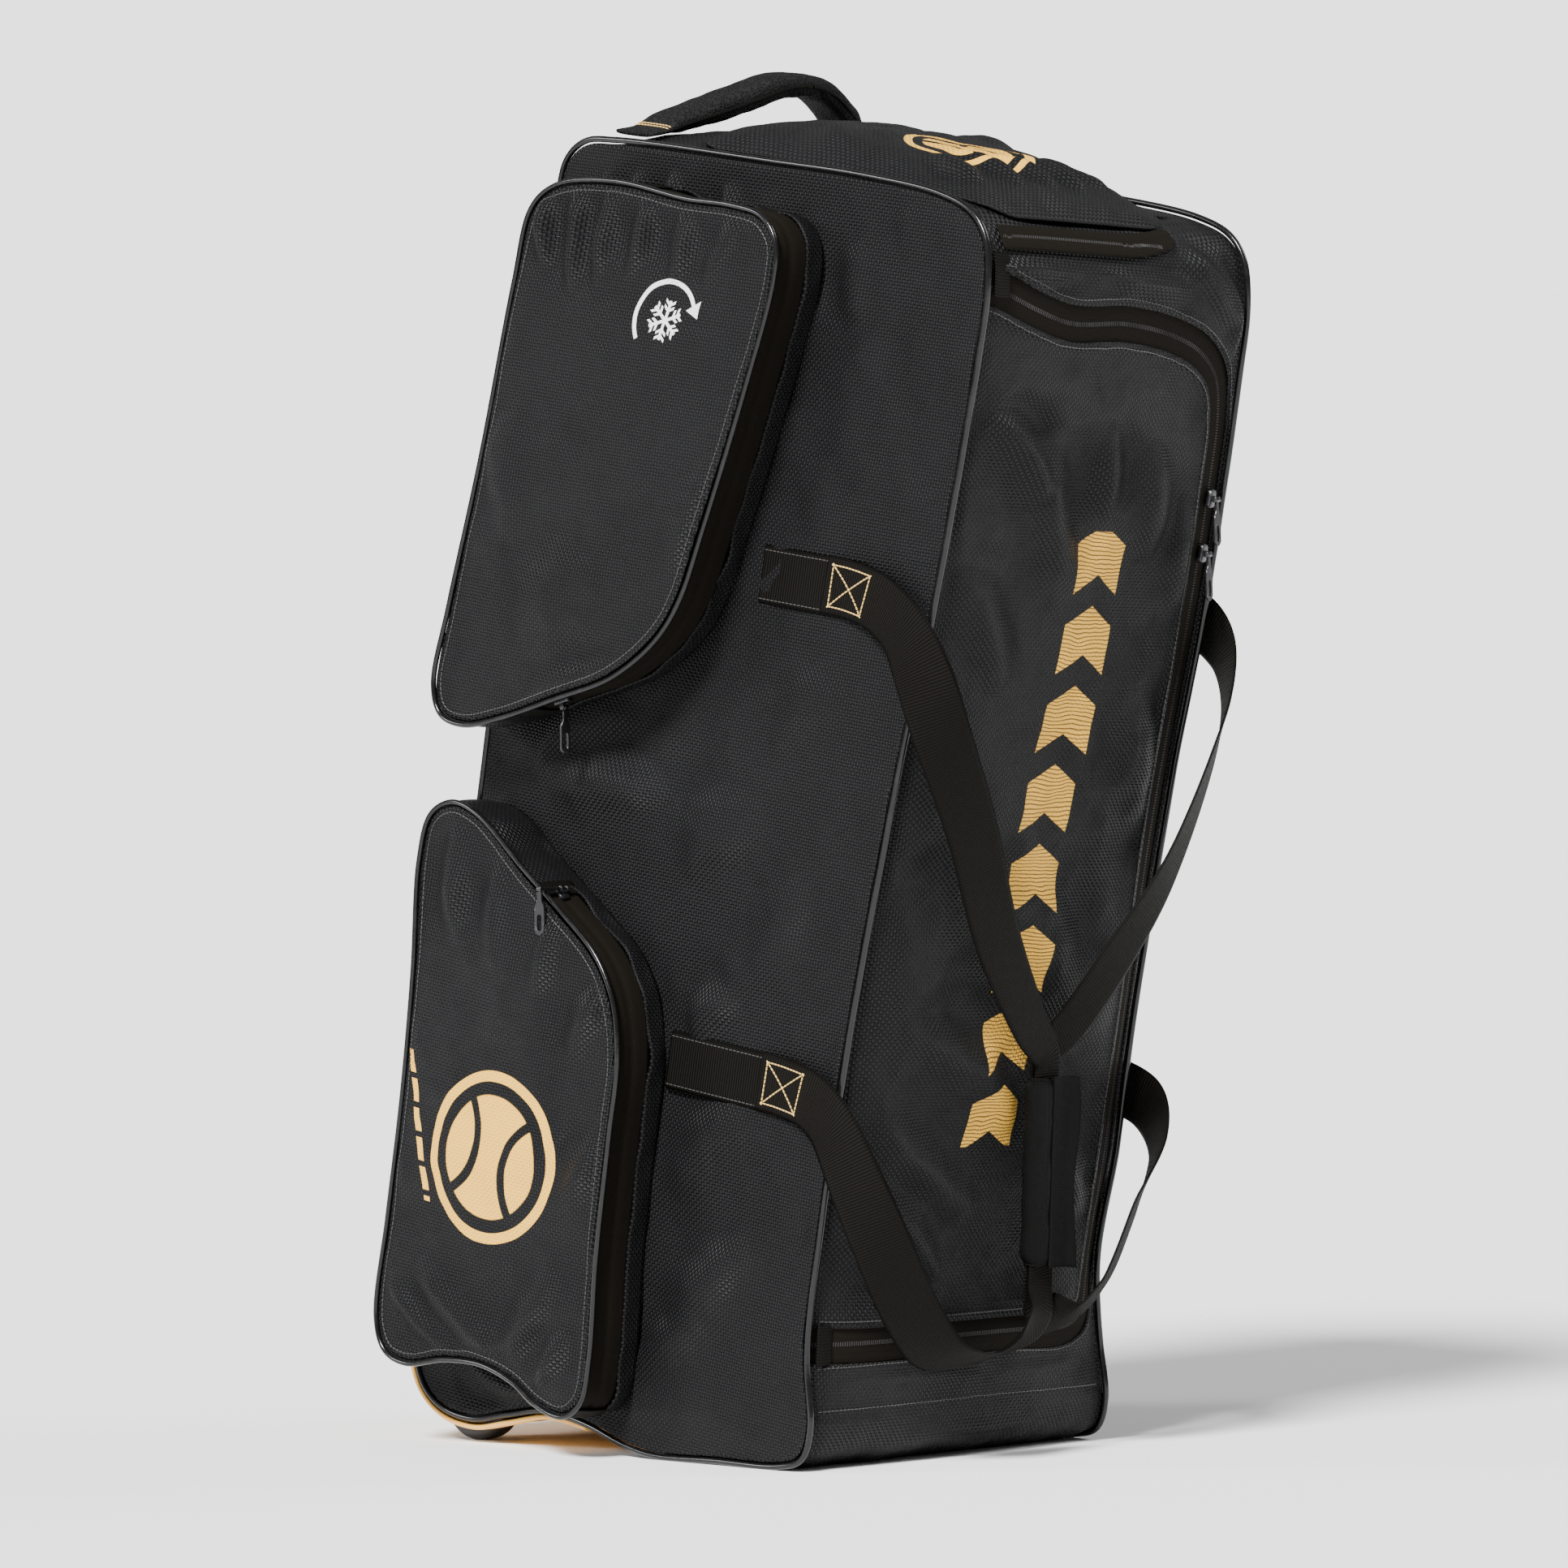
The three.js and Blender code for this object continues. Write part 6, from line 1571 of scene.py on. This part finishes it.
def slider_parts(name, place, normal, across):
    place, normal, across = (np.array(v, float) for v in (place, normal, across))
    along = unit(np.cross(normal, across))
    c, s, _ = circle(40)
    x, y = squared(c, 0.55) * SLIDER_WIDTH / 2, squared(s, 0.6) * SLIDER_LENGTH / 2
    x = x * (1 - 0.16 * (y / (SLIDER_LENGTH / 2)))
    rings = []
    for size, level in ((0.0, 0.0), (0.95, 0.0), (1.0, 0.35), (1.0, 2.7), (0.93, 3.3), (0.8, SLIDER_THICK),
                        (0.0, SLIDER_THICK)):
        size = max(size, 0.01)
        rings.append(placed(stack(x * size, y * size, GAP + level), place, across, along, normal))
    away = BARREL_LENGTH / 2 + PIN_CLEARANCE + LUG_THICK / 2
    pieces = [stacked(f"{name}_body", rings)]
    c, s, _ = circle(24)
    top = PIN_HEIGHT + PIN_RADIUS + 0.9
    for edge in (-1, 1):
        outline = stack(c * 2.0, s * 2.0 + top - 2.0)
        outline[:, 1] = np.where(s < 0, s * (top - 4.2) + top - 2.0, outline[:, 1])
        rings = []
        for size, level in ((0.0, -1), (0.9, -1), (1, -0.7), (1, 0.7), (0.9, 1), (0.0, 1)):
            flat = (outline - [0, 5.0]) * max(size, 0.01) + [0, 5.0]
            x = edge * away + level * LUG_THICK / 2
            rings.append(placed(stack(x, *flat.T), place, across, along, normal))
        pieces.append(stacked(f"{name}_lug", rings))
    ends = np.array([(-away - 0.5, 0, PIN_HEIGHT), (away + 0.5, 0, PIN_HEIGHT)])
    rod = resample(placed(ends, place, across, along, normal), 1.0)[0]
    pieces.append(tube(f"{name}_pin", rod, PIN_RADIUS, finish_for("metal"), 14, closed=False, up=normal))
    return pieces


def close_ends(work):
    """Closes the open rings of a mesh and turns its faces out."""
    bmesh.ops.remove_doubles(work, verts=work.verts, dist=0.02 * MM)
    bmesh.ops.holes_fill(work, edges=[edge for edge in work.edges if edge.is_boundary], sides=0)
    bmesh.ops.recalc_face_normals(work, faces=work.faces)


def puller_parts(name, pin, across, up, face):
    """A flat puller with a slot, hung from its pin."""
    right = [(half * PULLER_WIDTH, -down * PULLER_LENGTH) for half, down in PULLER_OUTLINE]
    outline = np.array(right + [(-x, y) for x, y in reversed(right)])
    outline = stack(*outline.T, 0)
    dense = resample(np.vstack([outline, outline[:1]]), 0.8)[0][:-1]
    for _ in range(2):
        dense = (np.roll(dense, 1, axis=0) + 2 * dense + np.roll(dense, -1, axis=0)) / 4
    middle = np.array([0, -0.72 * PULLER_LENGTH, 0])
    turn = np.arctan2(dense[:, 1] - middle[1], dense[:, 0])
    order = np.argsort(turn)
    dense, turn = dense[order], turn[order]
    c, s = np.cos(turn), np.sin(turn)
    slot = stack(squared(c, 0.5) * 0.24 * PULLER_WIDTH, middle[1] + squared(s, 0.5) * 0.17 * PULLER_LENGTH, 0)
    half, chamfer = PULLER_THICK / 2, 0.35
    inward = unit(middle - dense) * chamfer
    outward = unit(slot - middle) * chamfer
    up_by = np.array([0, 0, half])
    side = np.array([0, 0, half - chamfer])
    rings = [dense + inward - up_by, dense - side, dense + side, dense + inward + up_by,
             slot + outward + up_by, slot + side, slot - side, slot + outward - up_by]
    plate = skin(f"{name}_plate", placed(rings, pin, across, up, face), finish_for("metal"), loop_rows=True)
    section = ((1.2, -1), (1.7, -1), (BARREL_RADIUS, -0.8), (BARREL_RADIUS, 0.8), (1.7, 1), (1.2, 1))
    rings = [[(x * BARREL_LENGTH / 2, r * c, r * s) for r, x in section] for c, s, _ in zip(*circle(28))]
    barrel = skin(f"{name}_barrel", placed(rings, pin, across, up, face), finish_for("metal"), loop_rows=True)
    return [plate, barrel]


def join(name, pieces):
    """Joins pieces into one named mesh."""
    whole = pieces[0]
    work = bmesh.new()
    for piece in pieces:
        work.from_mesh(piece.data)
    work.to_mesh(whole.data)
    work.free()
    shade_smooth(whole.data)
    for piece in pieces[1:]:
        bpy.data.objects.remove(piece)
    whole.name = name
    whole.data.name = name
    edit_mesh(whole.data, crisp_edges)
    return whole


def crisp_edges(work):
    """Keeps crisp edges on smooth hard pieces."""
    for edge in work.edges:
        if edge.is_manifold and edge.calc_face_angle(0) > CRISP_ANGLE:
            edge.smooth = False


class KITBAG_OT_sliders(bpy.types.Operator):
    """Makes the four zip sliders and their pullers"""

    bl_idname = "kitbag.sliders"
    bl_label = "Zip sliders"

    def execute(self, context):
        down = np.array([0, -math.sin(LEAN), -math.cos(LEAN)])
        for name, (place, normal, across) in SLIDERS.items():
            place, normal, across = (np.array(v, float) for v in (place, normal, across))
            parts = slider_parts(name, place, normal, across)
            pin = place + normal * PIN_HEIGHT
            if name == "lower_pocket":
                reach = POCKET_DEPTH + 1 + POCKET_PIPING + 2 + POCKET_CROWN / 2 - (POCKET_STRIP + POCKET_DEPTH) / 2
                end = pin - across * reach
                link = tube(f"{name}_link", np.linspace(pin, end, 12), 1.1, finish_for("metal"), 8, closed=False,
                            up=normal)
                plate = puller_parts(name, end, np.cross(down, across), -down, -across)
                whole = join("lower_pocket_slider_metal", parts + [link] + plate)
                settle(whole, "bag", ["lower_pocket_slider"])
                continue
            whole = join(f"{name}_slider_metal", parts)
            settle(whole, "bag", [f"{name}_slider"])
            up = -unit(down - across * (down @ across))
            plate = join(f"{name}_puller_metal", puller_parts(name, pin, across, up, np.cross(across, up)))
            settle(plate, f"{name}_puller", [f"{name}_puller"])
        return {"FINISHED"}


# Stitches and zip coils, repeated along paths by Geometry Nodes. How far from an edge the rows of stitches
# run, the radii and the coil's length in metres, the box of gold stitches on a strap's end, and the zip tabs.

LID_INSET, POCKET_INSET, STRIP_INSET, BAND_INSET = 4, 4.5, 3.0, 3.5
STITCH_RADIUS, GOLD_RADIUS, COIL_RADIUS, COIL_LENGTH = 0.00034, 0.0005, 0.00048, 0.0030
BOX_START, BOX_END, BOX_HALF = 6.0, 38.0, 14
TAB_WIDTH, TAB_THICK = 15.0, 1.2


def repeat_tree():
    """A node group that lays short rods along every line of a mesh."""
    name = "Rods along lines"
    if name in bpy.data.node_groups:
        return bpy.data.node_groups[name]
    tree = bpy.data.node_groups.new(name, "GeometryNodeTree")
    face = tree.interface
    face.new_socket("Geometry", in_out="INPUT", socket_type="NodeSocketGeometry")
    for label in ("Spacing", "Length", "Radius"):
        face.new_socket(label, in_out="INPUT", socket_type="NodeSocketFloat")
    face.new_socket("Finish", in_out="INPUT", socket_type="NodeSocketMaterial")
    face.new_socket("Geometry", in_out="OUTPUT", socket_type="NodeSocketGeometry")
    start = tree.nodes.new("NodeGroupInput")
    end = tree.nodes.new("NodeGroupOutput")
    curve = tree.nodes.new("GeometryNodeMeshToCurve")
    evened = tree.nodes.new("GeometryNodeResampleCurve")
    evened.mode = "LENGTH"
    way = tree.nodes.new("GeometryNodeInputNamedAttribute")
    way.data_type = "FLOAT_VECTOR"
    way.inputs["Name"].default_value = "way"
    turn = tree.nodes.new("FunctionNodeAlignRotationToVector")
    turn.axis = "Z"
    rod = tree.nodes.new("GeometryNodeMeshCylinder")
    rod.inputs["Vertices"].default_value = 6
    place = tree.nodes.new("GeometryNodeInstanceOnPoints")
    real = tree.nodes.new("GeometryNodeRealizeInstances")
    coat = tree.nodes.new("GeometryNodeSetMaterial")
    for a, b in (
        (start.outputs["Geometry"], curve.inputs["Mesh"]),
        (curve.outputs["Curve"], evened.inputs["Curve"]),
        (start.outputs["Spacing"], evened.inputs["Length"]),
        (evened.outputs["Curve"], place.inputs["Points"]),
        (start.outputs["Length"], rod.inputs["Depth"]),
        (start.outputs["Radius"], rod.inputs["Radius"]),
        (rod.outputs["Mesh"], place.inputs["Instance"]),
        (way.outputs["Attribute"], turn.inputs["Vector"]),
        (turn.outputs["Rotation"], place.inputs["Rotation"]),
        (place.outputs["Instances"], real.inputs["Geometry"]),
        (real.outputs["Geometry"], coat.inputs["Geometry"]),
        (start.outputs["Finish"], coat.inputs["Material"]),
        (coat.outputs["Geometry"], end.inputs["Geometry"]),
    ):
        tree.links.new(a, b)
    return tree


def rods(name, lines, key, spacing, length, radius):
    """Short rods along lines of (points, ways) in metres, as one mesh on the bag."""
    vertices, edges, ways = [], [], []
    for points, line_ways in lines:
        first = len(vertices)
        vertices += [tuple(point) for point in points]
        ways += [tuple(way) for way in line_ways]
        edges += [(first + i, first + i + 1) for i in range(len(points) - 1)]
    mesh = bpy.data.meshes.new(name)
    mesh.from_pydata(vertices, edges, [])
    mesh.attributes.new("way", "FLOAT_VECTOR", "POINT").data.foreach_set("vector", np.array(ways).ravel())
    line = in_scene(name + "_line", mesh)
    maker = line.modifiers.new("Rods", "NODES")
    maker.node_group = repeat_tree()
    values = {"Spacing": spacing, "Length": length, "Radius": radius, "Finish": finish_for(key)}
    for item in maker.node_group.interface.items_tree:
        if item.in_out == "INPUT" and item.name in values:
            maker[item.identifier] = values[item.name]
    bpy.context.view_layer.update()
    graph = bpy.context.evaluated_depsgraph_get()
    made = bpy.data.meshes.new_from_object(line.evaluated_get(graph))
    bpy.data.objects.remove(line)
    if not made.polygons:
        raise RuntimeError(f"{name} has no rods")
    made.name = name
    return settle(in_scene(name, made), "bag", [])


def snapped(path, name, lift, across=False):
    """A line of points laid on a piece, with its own directions, or those across it."""
    piece = bpy.data.objects[name]
    corners = [vertex.co.copy() for vertex in piece.data.vertices]
    tree = BVHTree.FromPolygons(corners, [tuple(face.vertices) for face in piece.data.polygons])
    points, normals = [], []
    for point in to_world(np.asarray(path, float)):
        place, normal, _, _ = tree.find_nearest(Vector(point))
        points.append(np.array(place + normal * lift * MM))
        normals.append(np.array(normal))
    points = np.array(points)
    ways = unit(np.gradient(points, axis=0))
    if across:
        ways = unit(np.cross(ways, np.array(normals)))
    return points, ways


def offset_line(line, away):
    """A flat line moved sideways, to its left where away is positive."""
    tangent = unit(np.gradient(line, axis=0))
    return line + stack(-tangent[:, 1], tangent[:, 0]) * away


def on_front(flat, out=3.0):
    """Places on the front wall over (x, z) points."""
    run = stations(FRONT_START, FRONT_END - 0.6, 3.0)
    z = run["place"][:, 2]
    order = np.argsort(z)
    flat = np.asarray(flat, float)
    pick = {key: read_at(flat[:, 1], z[order], run[key][order]) for key in ("place", "normal")}
    pick["row"] = np.interp(flat[:, 1], z[order], run["row"][order])
    points = pick["place"] + unit(pick["normal"]) * (crown(pick, flat[:, :1]) + out)
    points[:, 0] = flat[:, 0]
    return points


class KITBAG_OT_stitching(bpy.types.Operator):
    """Sews the hems, the bands and the handle, and lays the coils in the zips"""

    bl_idname = "kitbag.stitching"
    bl_label = "Stitching and zip coils"

    def execute(self, context):
        trim = context.scene.kit_bag_trim
        line = zip_line(3.0)
        line = line[np.abs(line[:, 0]) < 0.995 * half_width(LEFT, 0, line[:, 1])]
        half_tape = ZIP_TAPE / 2
        black, coils = [], []
        for away, name in ((half_tape + LID_INSET, "lid_cloth"), (-half_tape - LID_INSET, "lid_border_cloth")):
            for sign in (-1, 1):
                path = offset_line(line, sign * away)
                inside = lid_distance(path[:, 0], path[:, 1]) > 0
                if (inside.mean() > 0.5) == (away > 0):
                    black.append(snapped(on_front(path[2:-2]), name, 0.15))
        coils.append(snapped(on_front(line, 0.0), "lid_zip_tape", -0.1, across=True))
        band = stack(np.linspace(-146, 146, 120), BAND_SEAM + LID_INSET)
        black.append(snapped(on_front(band), "lid_border_cloth", 0.15))
        for name, pocket in POCKETS.items():
            whole = pocket_run(pocket)
            inset = whole["place"] - whole["normal"] * POCKET_INSET
            inset = np.vstack([inset, inset[:1]])
            black.append(snapped(pocket_front_points(pocket, inset[:, 0], inset[:, 1]), f"{name}_face", 0.15))
            low, high = pocket["zip"]
            part = pocket_run(pocket, low + 0.005, high - 0.005)
            strip = gusset_points(part, np.full(1, -1.0), np.full(1, POCKET_STRIP - STRIP_INSET))[:, 0]
            black.append(snapped(strip, f"{name}_wall", 0.15))
            middle = gusset_points(part, np.full(1, 0.0), np.full(1, (POCKET_STRIP + POCKET_DEPTH) / 2))[:, 0]
            coils.append(snapped(middle, f"{name}_tape", -0.1, across=True))
        for side, name, height, back in BANDS:
            y = np.linspace(back * DEPTH - 2, BAND_FRONT + 4, 80)
            for edge in (-1, 1):
                z = height * HEIGHT + edge * (WEB_WIDTH / 2 - BAND_INSET)
                path = side_points(side, y, z, BAND_OUT + WEB_THICK)
                black.append(snapped(path, f"band_{name}_{SIDES[side]}", 0.12))
        flat = stack(np.linspace(END_LEFT + 3, END_RIGHT - 31, 90), end_zip_top() - END_TAPE / 2)
        coils.append(snapped(on_front(flat, 0.0), "end_pocket_tape", -0.1, across=True))
        stitch = trim.stitch
        rods("black_stitches", black, "black thread", stitch, stitch * 0.72, STITCH_RADIUS)
        rods("zip_coils", coils, "coil", trim.tooth, COIL_LENGTH, COIL_RADIUS)
        self.gold(stitch)
        self.tabs()
        return {"FINISHED"}

    def gold(self, stitch):
        gold = []
        for side, label in SIDES.items():
            points, looks, _, at = strap_curve(side)
            tangent = unit(np.gradient(points, axis=0))
            across = unit(np.cross(tangent, looks))
            for start, end in ((BOX_START, BOX_END), (at[-1] - BOX_START, at[-1] - BOX_END)):
                corners = np.array([(start, -1), (end, -1), (end, 1), (start, 1), (start, -1)]) * [1, BOX_HALF]
                for row in (corners, corners[[0, 2]], corners[[1, 3]]):
                    flat = resample(row, 1.0)[0]
                    place, aside, out = (read_at(flat[:, 0], at, rows) for rows in (points, across, looks))
                    path = place + aside * flat[:, 1:2] + out * 2
                    gold.append(snapped(path, f"strap_{label}", 0.2))
        for x in (-0.84 * HANDLE_REACH, -0.865 * HANDLE_REACH):
            y = HANDLE_DEPTH + np.linspace(-15, 15, 40)
            path = stack(x, y, head_level(x, HANDLE_DEPTH) + 9)
            gold.append(snapped(path, "handle_pad", 0.2))
        rods("gold_stitches", gold, "gold thread", stitch * 0.85, stitch * 0.66, GOLD_RADIUS)

    def tabs(self):
        """Fabric tabs over the ends of the zips, and the pull tab of the cool pocket."""
        made = []
        for name, pocket in POCKETS.items():
            for share in pocket["zip"]:
                part = pocket_run(pocket, share - 0.004, share + 0.004, 1.0)
                row = len(part["place"]) // 2
                out = np.linspace(POCKET_STRIP - 4, POCKET_DEPTH - 1, 14)
                centres = gusset_points(part, -(puffed(out) + 1.3), out)[row]
                normal = part["normal"][row]
                looks = np.tile([0, normal[0], normal[1]], (len(out), 1))
                made.append(ribbon(f"{name}_end_{share}", centres, looks, TAB_WIDTH, finish_for("webbing"),
                                   TAB_THICK))
        line = zip_line(3.0)
        for level in (line[line[:, 0] < -100][0, 1], line[-1, 1]):
            x = -half_width(LEFT, 0, level) + 11
            flat = stack(x, level + np.linspace(-14, 14, 14))
            centres = on_front(flat, 2.6)
            made.append(ribbon(f"lid_end_{level:.0f}", centres, np.tile([0, -1.0, 0], (14, 1)),
                               TAB_WIDTH, finish_for("webbing"), TAB_THICK))
        z = np.linspace(652, 690, 20)
        y = 203 + 5.5 * np.sqrt(np.clip(1 - ((z - 671) / 21) ** 2, 0, 1))
        centres = side_points(LEFT, y, z, SIDE_FACE + 24)
        made.append(ribbon("pull_tab", centres, np.tile([-1.0, 0, 0], (20, 1)), 11.0, finish_for("webbing"), 2.4))
        for piece in made:
            settle(piece, "bag", [])


# Stage

CAMERA_FAR, CAMERA_TURN, CAMERA_DIP, CAMERA_LENS = 5000.0, 48.12, 0.17, 163.0
CAMERA_AIM = (25.78, -1.6, 474.56)
SKY_LIGHT = 0.27
FLOOR_REACH = 400.0

# The soft studio lights: name, where each shines from, strength and how wide it is in degrees
SUNS = (
    ("key", (-2.5, -0.7, 2.2), 8.6, 14),
    ("fill", (2.4, -1.6, 2.2), 1.1, 24),
    ("rim", (-2.6, 2.2, 1.4), 1.4, 16),
)


class KITBAG_OT_stage(bpy.types.Operator):
    """Makes the floor, the lights, the world and the camera of the photograph"""

    bl_idname = "kitbag.stage"
    bl_label = "Stage"

    def execute(self, context):
        base = context.scene.kit_bag_base
        floor = bpy.data.meshes.new("floor")
        corners = ((-1, -1), (1, -1), (1, 1), (-1, 1))
        floor.from_pydata([(x * FLOOR_REACH, y * FLOOR_REACH, 0) for x, y in corners], [], [(0, 1, 2, 3)])
        piece = in_scene("floor", floor)
        floor.materials.append(paper("Pale floor", base.floor_colour))

        on_floor = SKY_LIGHT * base.light
        for name, place, strength, spread in SUNS:
            aim = Vector(place)
            data = bpy.data.lights.new(name, "SUN")
            data.energy = strength * base.light
            data.angle = math.radians(spread)
            lamp = in_scene(name, data)
            lamp.location = aim
            lamp.rotation_euler = aim.to_track_quat("Z", "Y").to_euler()
            on_floor += data.energy * aim.normalized().z / math.pi

        world = bpy.data.worlds.new("Studio")
        world.use_nodes = True
        tree = world.node_tree
        sky = tree.nodes["Background"]
        sky.inputs["Color"].default_value = (1, 1, 1, 1)
        sky.inputs["Strength"].default_value = SKY_LIGHT * base.light
        seen = tree.nodes.new("ShaderNodeBackground")
        seen.inputs["Color"].default_value = (*base.floor_colour, 1)
        seen.inputs["Strength"].default_value = on_floor
        path = tree.nodes.new("ShaderNodeLightPath")
        mix = tree.nodes.new("ShaderNodeMixShader")
        tree.links.new(path.outputs["Is Camera Ray"], mix.inputs[0])
        tree.links.new(sky.outputs[0], mix.inputs[1])
        tree.links.new(seen.outputs[0], mix.inputs[2])
        tree.links.new(mix.outputs[0], tree.nodes["World Output"].inputs[0])
        context.scene.world = world
        self.camera(context)
        return {"FINISHED"}

    def camera(self, context):
        turn, dip = math.radians(CAMERA_TURN), math.radians(CAMERA_DIP)
        place = np.array(CAMERA_AIM) - CAMERA_FAR * np.array([math.sin(turn), math.cos(turn), 0]) + SHIFT / MM
        look = Vector((math.sin(turn) * math.cos(dip), math.cos(turn) * math.cos(dip), -math.sin(dip)))
        data = bpy.data.cameras.new("photo")
        data.sensor_width = 36
        data.lens = CAMERA_LENS
        data.clip_end = 100
        camera = in_scene("photo", data)
        camera.location = place * MM
        camera.rotation_euler = look.to_track_quat("-Z", "Y").to_euler()
        context.scene.camera = camera


class KITBAG_PT_panel(bpy.types.Panel):
    bl_label = "Kit bag"
    bl_idname = "KITBAG_PT_panel"
    bl_space_type = "VIEW_3D"
    bl_region_type = "UI"
    bl_category = "Kit bag"

    def draw(self, context):
        for group in (context.scene.kit_bag_cloth, context.scene.kit_bag_trim, context.scene.kit_bag_base):
            box = self.layout.box()
            for key in group.__annotations__:
                box.prop(group, key)
        for operator in PIECES:
            self.layout.operator(operator.bl_idname)


PIECES = (
    KITBAG_OT_shell,
    KITBAG_OT_sides,
    KITBAG_OT_pockets,
    KITBAG_OT_end_pocket,
    KITBAG_OT_webbing,
    KITBAG_OT_grip,
    KITBAG_OT_handle,
    KITBAG_OT_foot,
    KITBAG_OT_sliders,
    KITBAG_OT_stitching,
    KITBAG_OT_stage,
)
CLASSES = (KitBagCloth, KitBagTrim, KitBagBase) + PIECES + (KITBAG_PT_panel,)
SETTINGS = {"kit_bag_cloth": KitBagCloth, "kit_bag_trim": KitBagTrim, "kit_bag_base": KitBagBase}


def register():
    for item in CLASSES:
        bpy.utils.register_class(item)
    for name, group in SETTINGS.items():
        setattr(bpy.types.Scene, name, bpy.props.PointerProperty(type=group))


def unregister():
    for name in SETTINGS:
        delattr(bpy.types.Scene, name)
    for item in reversed(CLASSES):
        bpy.utils.unregister_class(item)


def main():
    register()
    for operator in PIECES:
        group, name = operator.bl_idname.split(".")
        getattr(getattr(bpy.ops, group), name)()
    for name in ("wheel_housing_left", "wheel_housing_right"):
        node = bpy.data.objects[name]
        node.data.materials.clear()
        node.data.materials.append(finish_for("housing"))


if __name__ == "__main__":
    main()
